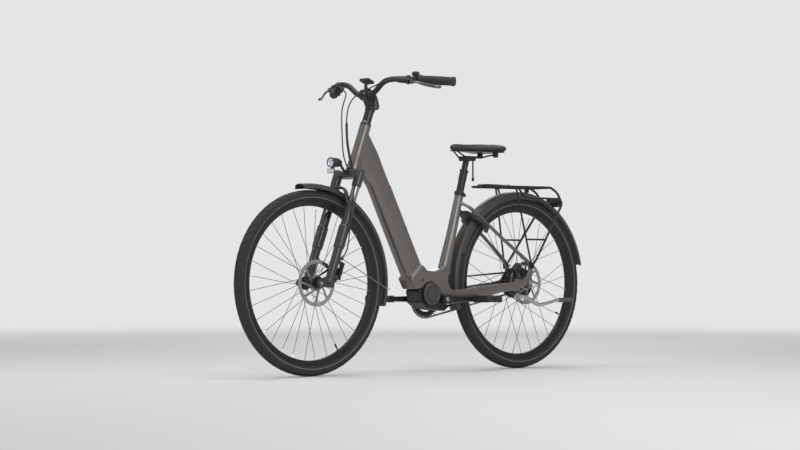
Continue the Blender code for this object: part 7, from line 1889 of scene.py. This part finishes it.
# %% Clamp, cylinder and fork end
def lever_mount(hand, word):
    run, ahead = grip_line(hand)[2], mirrored(LEVER_AHEAD, hand)
    neck, pivot, start, end = lever_places(hand)
    along = (end - start).normalized()
    long = (end - start).length
    ring = turned("ring", [(-0.0070, 0.0117), (-0.0070, 0.0148), (-0.0060, 0.0156), (0.0060, 0.0156),
                           (0.0070, 0.0148), (0.0070, 0.0117)], neck, run, 48, closed=True)
    barrel = turned("barrel", [(0.0, 0.0), (0.0, 0.0062), (0.0008, 0.0070), (0.0060, 0.0080),
                               (0.0100, 0.0098), (0.0200, 0.0103), (long - 0.002, 0.0110), (long, 0.0102),
                               (long, 0.0)],
                    start, along, 40)
    lid = soft_box("lid", start + along * (long * 0.56) + UP * 0.0058, (0.0135, 0.0330, 0.0080), 0.0022,
                   Matrix.Rotation(math.atan2(along.y, along.x) - math.pi / 2, 4, "Z"))
    web = lofted("web", [oval(neck + ahead * out - UP * down, run, UP, wide, tall, 20)
                         for out, down, wide, tall in (
        (0.0105, 0.000, 0.0064, 0.0066), (0.018, 0.002, 0.0056, 0.0058), (0.030, 0.0065, 0.0066, 0.0060))])
    fork_end = rounded_rod("fork_end", pivot - UP * 0.0085, pivot + UP * 0.0085, 0.0098, 40, 0.0010)
    bridge = rounded_rod("bridge", end - run * 0.004, pivot, 0.0080, 24)
    ear = soft_box("ear", neck - UP * 0.0170, (0.0100, 0.0120, 0.0080), 0.0014,
                   Matrix.Rotation(math.atan2(run.y, run.x) - math.pi / 2, 4, "Z"))
    slot = rounded_rod("slot", pivot - UP * 0.0041, pivot + UP * 0.0041, 0.0135)
    wedge = soft_box("wedge", pivot + run * 0.012 + ahead * 0.010, (0.030, 0.030, 0.0082), 0.0002)
    name = word + "_master_cylinder"
    mount = one_skin(name, [barrel, lid, web, fork_end, bridge, ear], 0.0007, 3, slot, wedge)
    pin = rounded_rod("pin", pivot - UP * 0.0080, pivot + UP * 0.0080, 0.0023, 20)
    smooth(ring, 32.0)
    return stand_in_for(join_all([mount, ring, pin], name), SATIN_BLACK, word + "_lever_mount")


for hand, word in ((1, "left"), (-1, "right")):
    mount = lever_mount(hand, word)
    print(mount.name, len(mount.data.polygons), "faces")

# %% Lever screws and hose nuts
for hand, word in ((1, "left"), (-1, "right")):
    ahead = mirrored(LEVER_AHEAD, hand)
    neck, pivot, start, end = lever_places(hand)
    along = (end - start).normalized()
    long = (end - start).length
    for name, place, axis, radius, tall in (
        ("_pivot_screw", pivot + UP * 0.0083, UP, 0.0046, 0.0018),
        ("_clamp_screw", neck - UP * 0.0170 + ahead * 0.0046, ahead, 0.0030, 0.0026),
        ("_lid_screw_1", start + along * (long * 0.36) + UP * 0.0094, UP, 0.0017, 0.0010),
        ("_lid_screw_2", start + along * (long * 0.76) + UP * 0.0094, UP, 0.0017, 0.0010),
    ):
        fitted(bolt_head(word + name, place, axis, radius, tall), BRUSHED_STEEL, "steering")
    nut = turned(word + "_hose_nut", [(-0.0110, 0.0027), (-0.0110, 0.0040), (-0.0100, 0.0046),
                                      (0.0006, 0.0050), (0.0006, 0.0027)], start, along, 24, closed=True)
    smooth(nut, 30.0)
    fitted(nut, SATIN_BLACK, "steering")
print("nuts", len(nut.data.polygons), "faces each")

# %% Blades
def blade_rings(places):
    """Ovals that grow taller and thinner along the blade, and close at its tip."""
    rings = []
    for i, spot in enumerate(places):
        heading = heading_at(places, i)
        across = heading.cross(UP).normalized()
        share = i / (len(places) - 1)
        tall = 0.0035 + 0.0024 * min(1.0, max(0.0, (share - 0.12) / 0.25))
        thick = 0.0041 - 0.0011 * min(1.0, share * 1.6) + 0.0012 * max(0.0, (share - 0.72) / 0.28)
        if share > 0.96:
            tall, thick = tall * 0.72, thick * 0.72
        rings.append(oval(spot, across, across.cross(heading), thick, tall, 20, 2.4))
    return rings


for hand, word in ((1, "left"), (-1, "right")):
    run, ahead, pivot = grip_line(hand)[2], mirrored(LEVER_AHEAD, hand), lever_places(hand)[1]
    places = smooth_line([pivot + run * a + ahead * b + UP * c for a, b, c in
                          ((0.000, 0.0000, 0.000), (0.018, 0.0085, -0.001), (0.040, 0.0150, -0.006),
                           (0.075, 0.0190, -0.013), (0.108, 0.0225, -0.017), (0.120, 0.0270, -0.017),
                           (0.126, 0.0300, -0.017))], 5)
    eye = rounded_rod("eye", pivot - UP * 0.0036, pivot + UP * 0.0036, 0.0082, 40, 0.0008)
    blade = one_skin(word + "_lever_blade", [lofted("blade", blade_rings(places)), eye], 0.0006, 3)
    bore(blade, rounded_rod("bore", pivot - UP * 0.02, pivot + UP * 0.02, 0.0027, 24))
    smooth(blade, 40.0)
    stand_in_for(blade, LEVER_ALLOY, word + "_brake_lever")
    print(blade.name, len(blade.data.polygons), "faces")

# %% [markdown]
# ## Buttons and hose fittings
# Small fittings tell the eye how big everything else is: a button on the remote, a window on the gear
# shifter, the nut where each hose is screwed in, and the spiral wrap that protects the hose where it rubs the
# head tube.

# %% Buttons and window on the bar
inner, outer, run = grip_line(1)
remote_centre = inner - run * 0.014 + UP * 0.0215 - LEVER_AHEAD * 0.002
facing = Matrix.Rotation(math.atan2(run.y, run.x) - math.pi / 2, 4, "Z")
for name, offset, size in (("remote_top_button", (0.0015, 0.0, 0.0079), (0.0120, 0.0150, 0.0020)),
                           ("remote_light_bar", (-0.0088, 0.0, 0.0080), (0.0022, 0.0130, 0.0012))):
    piece = soft_box(name, remote_centre + facing @ Vector(offset), size, 0.0006, facing)
    fitted(piece, GRIP_RUBBER if "button" in name else SCREEN_GLASS, "steering")
inner, outer, run = grip_line(-1)
window_turn = Matrix.Rotation(math.atan2(run.y, run.x) + math.pi / 2, 4, "Z")
window = soft_box("gear_window", inner - run * 0.0050 + UP * 0.0222, (0.0150, 0.0070, 0.0030), 0.0010,
                  window_turn)
fitted(window, SCREEN_GLASS, "steering")
print("window", len(window.data.polygons), "faces")

# %% [markdown]
# The spiral wrap is a strip of hard plastic, wound round the hose by hand. Its path is a helix about the
# hose's own line: many short steps along it, each turned a little further, and a bar is drawn along them. A
# screw modifier makes straight springs, and this one has to follow the hose's bend.

# %% Wind the wrap
wrapped = [p for p in smooth_line(FRONT_HOSE, 14) if 0.800 < p.z < 0.985]
coil, turned_by = [], 0.0
for i, spot in enumerate(wrapped[:-1]):
    heading = (wrapped[i + 1] - spot).normalized()
    first = heading.cross(ACROSS).normalized()
    second = heading.cross(first)
    span = (wrapped[i + 1] - spot).length
    pieces = max(2, int(span / 0.0005))
    for k in range(pieces):
        turned_by += 2 * math.pi * (span / pieces) / 0.0034
        coil.append(spot + heading * (span * k / pieces) + first * (0.0041 * math.cos(turned_by))
                    + second * (0.0041 * math.sin(turned_by)))
wrap = bar_along("spiral_hose_wrap", coil, 0.0015, 1)
smooth(wrap, 60.0)
fitted(wrap, HOSE_SKIN, "steering")
print("wrap", len(wrap.data.polygons), "faces")

# %% Brake bolts and the nut at the brake
for up in CALIPER_BOLTS:
    bolt = bolt_head("caliper_bolt", on_fork(up, -0.0402, 0.059), -FORK_AHEAD, 0.0042, 0.0034)
    fitted(bolt, BRUSHED_STEEL, "fork_slider")
hose_end = Vector(FRONT_HOSE[-1])
hose_run = (hose_end - Vector(FRONT_HOSE[-2])).normalized()
nut = turned("caliper_hose_nut", [(-0.0120, 0.0027), (-0.0120, 0.0040), (-0.0108, 0.0046), (0.0010, 0.0048),
                                  (0.0010, 0.0027)], hose_end, hose_run, 24, closed=True)
smooth(nut, 30.0)
fitted(nut, BRUSHED_STEEL, "fork_slider")
print("nut", len(nut.data.polygons), "faces")

# %% [markdown]
# ## Pedals
# A city pedal is a moulded body with four windows, ribbed rubber strips that hold the shoe, and a cap on its
# bearing. The strips are soft boxes sunk into the body, with small ribs across them.

# %% Strips and caps
for hand, forward, word in ((1, -1, "left"), (-1, 1, "right")):
    pedal_centre = CRANK_AXIS + Vector((forward * CRANK_LENGTH, hand * (0.078 + 0.059), 0.0))
    strips = []
    for ahead in (1, -1):
        for high in (1, -1):
            strip = soft_box("strip", pedal_centre + Vector((ahead * 0.0355, 0.0, high * 0.0124)),
                             (0.0086, 0.0860, 0.0026), 0.0008, steps=2)
            strips.append(strip)
            for k in range(9):
                place = pedal_centre + Vector((ahead * 0.0355, (k - 4) * 0.0094, high * 0.0133))
                strips.append(soft_box("rib", place, (0.0074, 0.0030, 0.0016), 0.0004, steps=1))
    treads = join_all(strips, word + "_pedal_treads")
    smooth(treads, 30.0)
    fitted(treads, GRIP_RUBBER, word + "_pedal_body")
    cap = bolt_head(word + "_pedal_cap", pedal_centre + ACROSS * hand * 0.0488, ACROSS * hand, 0.0082, 0.0016)
    fitted(cap, SATIN_BLACK, word + "_pedal_body")
    washer = turned(word + "_pedal_washer", [(0.0064, 0.0055), (0.0064, 0.0088), (0.0070, 0.0092),
                                             (0.0086, 0.0090), (0.0092, 0.0080), (0.0092, 0.0055)],
                    CRANK_AXIS + Vector((forward * CRANK_LENGTH, hand * 0.078, 0.0)), ACROSS * hand, 32,
                    closed=True)
    smooth(washer, 30.0)
    fitted(washer, BRUSHED_STEEL, "crankset")
print("pedal treads", len(treads.data.polygons), "faces")

# %% [markdown]
# ## Valves and frame fittings
# Each rim has its valve, a threaded stem with a cap, between two spokes. On each side of the frame there are
# a screw in the motor shell and two thin ridges along the seat tube, which the drawing die leaves. The valves
# are turned, and each ridge is a thin bar sunk into the tube. A bump could fake the ridges, but not at the
# outline.

# %% Valves
for end, axle, angle in (("front", FRONT_AXLE, 241.9), ("rear", REAR_AXLE, 208.1)):
    out = out_at(angle)
    profile = [(0.2975, 0.0), (0.2975, 0.0040), (0.2950, 0.0040)]
    for k in range(8):
        place = 0.2940 - 0.0014 * k
        profile += [(place, 0.0029), (place - 0.0007, 0.0025)]
    profile += [(0.2810, 0.0026), (0.2805, 0.0036), (0.2690, 0.0036), (0.2680, 0.0030), (0.2680, 0.0)]
    valve = turned(end + "_valve", profile, axle, out, 20)
    smooth(valve, 30.0)
    fitted(valve, SATIN_BLACK, end + "_wheel")
print("valves", len(valve.data.polygons), "faces each")

# %% Shell screws and ridges
for hand in (1, -1):
    screw = bolt_head("shell_screw", Vector((0.0236, hand * 0.0436, 0.3699)), ACROSS * hand, 0.0046, 0.0026)
    fitted(screw, SATIN_BLACK, "frame")
    for ahead in (0.0052, -0.0052):
        ridge = bar_along("seat_tube_ridge", [on_seat_tube(up, ahead, hand * side) for up, side in
                                              ((0.175, 0.0206), (0.255, 0.0184), (0.330, 0.0176),
                                               (0.405, 0.0168))],
                          0.0015, 2)
        smooth(ridge, 50.0)
        fitted(ridge, FRAME_PAINT, "frame")
print("ridges", len(ridge.data.polygons), "faces each")

# %% [markdown]
# ## Saddle
# The saddle is foam in a stretched cover: wide and crowned behind, narrow at the nose, with a channel down
# its middle and its sides pulled in under the edge. Its skin is lofted from cross-sections, turned into even
# small faces, and then blown up a little as cloth under pressure, so that the cover is taut between its
# seams. The channel and the seams come after that, since the even faces would lose them. A plain smoothed
# loft would be quicker, but it looks moulded and not stretched.

# %% Width along the saddle
SADDLE_LEVEL, SADDLE_TAIL = 0.90238, -0.4331
WIDTHS = [(0.0, 0.050), (0.012, 0.076), (0.035, 0.0905), (0.065, 0.090), (0.095, 0.0745), (0.130, 0.0490),
          (0.165, 0.0325), (0.210, 0.0235), (0.245, 0.0185), (0.262, 0.0080)]


def half_width(x):
    for (a, low), (b, high) in zip(WIDTHS, WIDTHS[1:]):
        if x <= b:
            share = (x - a) / (b - a)
            share = share * share * (3 - 2 * share)
            return low + (high - low) * share
    return WIDTHS[-1][1]


print("widest", 2 * max(w for x, w in WIDTHS), "m")

# %% Loft the foam
def saddle_section(x, count=40):
    """One cross-section: flat below, crowned above, and thinner towards the tail and the nose."""
    half = half_width(x)
    end = min(1.0, min(x + 0.002, 0.264 - x) / 0.022)
    thick = 0.0290 * math.sqrt(max(0.0, 1 - (1 - end) ** 2)) * 0.97 + 0.002
    droop = -0.004 * (x / 0.262) ** 2 + 0.004 * max(0.0, 0.06 - x) / 0.06
    points = []
    for i in range(count):
        angle = 2 * math.pi * (i + 0.5) / count
        across, rise = math.cos(angle), math.sin(angle)
        y = half * abs(across) ** 0.75 * (1 if across > 0 else -1)
        if rise < 0:
            y *= 0.92
            z = SADDLE_LEVEL + 0.0005 + 0.0024 * (1 + rise)
        else:
            z = SADDLE_LEVEL + 0.0035 + 0.86 * thick * rise**0.62 * (1.0 - 0.10 * abs(across)) + droop * end
        points.append(Vector((SADDLE_TAIL + x, y, z)))
    return points


STATIONS = [0.0, 0.003, 0.008, 0.015, 0.024, 0.036, 0.050, 0.065, 0.080, 0.095, 0.110, 0.125, 0.140, 0.155,
            0.170, 0.190, 0.210, 0.228, 0.242, 0.252, 0.258, 0.262]
saddle = lofted("saddle_cover", [saddle_section(x) for x in STATIONS])
apply_modifier(saddle, "REMESH", mode="VOXEL", voxel_size=0.0032)
apply_modifier(saddle, "SMOOTH", factor=0.5, iterations=4)
print("saddle skin", len(saddle.data.polygons), "faces")

# %% Blow it up as cloth
SWELL_LIMIT = 0.0016
rest = [v.co.copy() for v in saddle.data.vertices]
take(saddle)
pinned = saddle.vertex_groups.new(name="held")
for vert in saddle.data.vertices:
    if vert.co.z < SADDLE_LEVEL + 0.0042:
        pinned.add([vert.index], 1.0, "REPLACE")
cloth = saddle.modifiers.new("cloth", "CLOTH")
cloth.settings.quality = 6
cloth.settings.mass = 0.3
cloth.settings.tension_stiffness = cloth.settings.compression_stiffness = 25.0
cloth.settings.use_pressure = True
cloth.settings.uniform_pressure_force = 4.0
cloth.settings.vertex_group_mass = "held"
cloth.settings.effector_weights.gravity = 0.0
for count in range(1, 16):
    bpy.context.scene.frame_set(count)
take(saddle)
bpy.ops.object.modifier_apply(modifier="cloth")
bpy.context.scene.frame_set(1)
moved = 0.0
for vert, before in zip(saddle.data.vertices, rest):
    step = vert.co - before
    moved = max(moved, step.length)
    if step.length > SWELL_LIMIT:
        vert.co = before + step.normalized() * SWELL_LIMIT
apply_modifier(saddle, "SMOOTH", factor=0.5, iterations=14)
print("cloth moved at most", round(moved * 1000, 2), "mm before the limit")

# %% Channel and seams
def soft_step(value, low, high):
    share = max(0.0, min(1.0, (value - low) / (high - low)))
    return share * share * (3 - 2 * share)


SEAM_WIDTH = 0.0014
saddle.vertex_groups.clear()
apply_modifier(saddle, "SUBSURF", levels=1, render_levels=1)
seat_shape = bmesh.new()
seat_shape.from_mesh(saddle.data)
seat_shape.normal_update()
for vert in seat_shape.verts:
    x, side = vert.co.x - SADDLE_TAIL, abs(vert.co.y)
    facing = soft_step(vert.normal.z, 0.2, 0.7)
    channel = (soft_step(x, 0.030, 0.060) * (1 - soft_step(x, 0.165, 0.215))
               * (1 - soft_step(side, 0.003, 0.015)))
    seam_line = half_width(max(0.0, min(0.262, x))) * 0.80
    seam = (math.exp(-((side - seam_line) / SEAM_WIDTH) ** 2) * soft_step(x, 0.012, 0.030)
            * (1 - soft_step(x, 0.235, 0.252)))
    bridge = math.exp(-((x - 0.150 - side * 0.5) / SEAM_WIDTH) ** 2) * (1 if side < seam_line else 0)
    vert.co -= vert.normal * facing * (0.0042 * channel + 0.0009 * max(seam, bridge))
seat_shape.to_mesh(saddle.data)
seat_shape.free()
smooth(saddle, 60.0)
fit_low, fit_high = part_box("saddle_pad")
print("packed pad", tuple(round(v, 4) for v in fit_low), tuple(round(v, 4) for v in fit_high))

# %% Stretched cover
def cover_finish():
    material = new_material("stretched_saddle_cover")
    place = add_node(material, "ShaderNodeTexCoord")
    pebbles = add_node(material, "ShaderNodeTexVoronoi", {"Vector": place.outputs["Object"], "Scale": 1150.0},
                       feature="SMOOTH_F1")
    creases = add_node(material, "ShaderNodeTexNoise", {"Vector": place.outputs["Object"], "Scale": 190.0,
                                                        "Detail": 5.0})
    broad = add_node(material, "ShaderNodeTexNoise", {"Vector": place.outputs["Object"], "Scale": 14.0,
                                                      "Detail": 3.0})
    height = add_node(material, "ShaderNodeMath", {0: pebbles.outputs["Distance"], 1: creases.outputs["Fac"]},
                      operation="ADD")
    bump = add_node(material, "ShaderNodeBump", {"Height": height.outputs[0], "Strength": 0.55,
                                                 "Distance": 0.00022})
    colour = mixed(material, broad.outputs["Fac"], (0.016, 0.016, 0.017, 1.0), (0.027, 0.027, 0.028, 1.0))
    rough = add_node(material, "ShaderNodeMapRange",
                     {"Value": creases.outputs["Fac"], "From Min": 0.3, "From Max": 0.7,
                      "To Min": 0.42, "To Max": 0.62})
    surface = add_node(material, "ShaderNodeBsdfPrincipled",
                       {"Base Color": colour, "Roughness": rough.outputs["Result"],
                        "Sheen Weight": 0.08, "Sheen Roughness": 0.4, "Normal": bump.outputs[0]})
    add_node(material, "ShaderNodeOutputMaterial", {"Surface": surface.outputs[0]})
    return material


stand_in_for(saddle, cover_finish(), "saddle_pad")
seen = [v.co for v in saddle.data.vertices]
print("saddle", [round(f(getattr(c, a) for c in seen), 4) for a in "xyz" for f in (min, max)])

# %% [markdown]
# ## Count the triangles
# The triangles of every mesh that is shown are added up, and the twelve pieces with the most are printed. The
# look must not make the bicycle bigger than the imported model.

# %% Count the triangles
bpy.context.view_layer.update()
shown = sorted(((sum(len(f.vertices) - 2 for f in o.data.polygons), o.name) for o in bpy.context.scene.objects
                if o.type == "MESH" and not o.hide_render), reverse=True)
print("triangles", sum(count for count, name in shown), "most in", shown[:12])
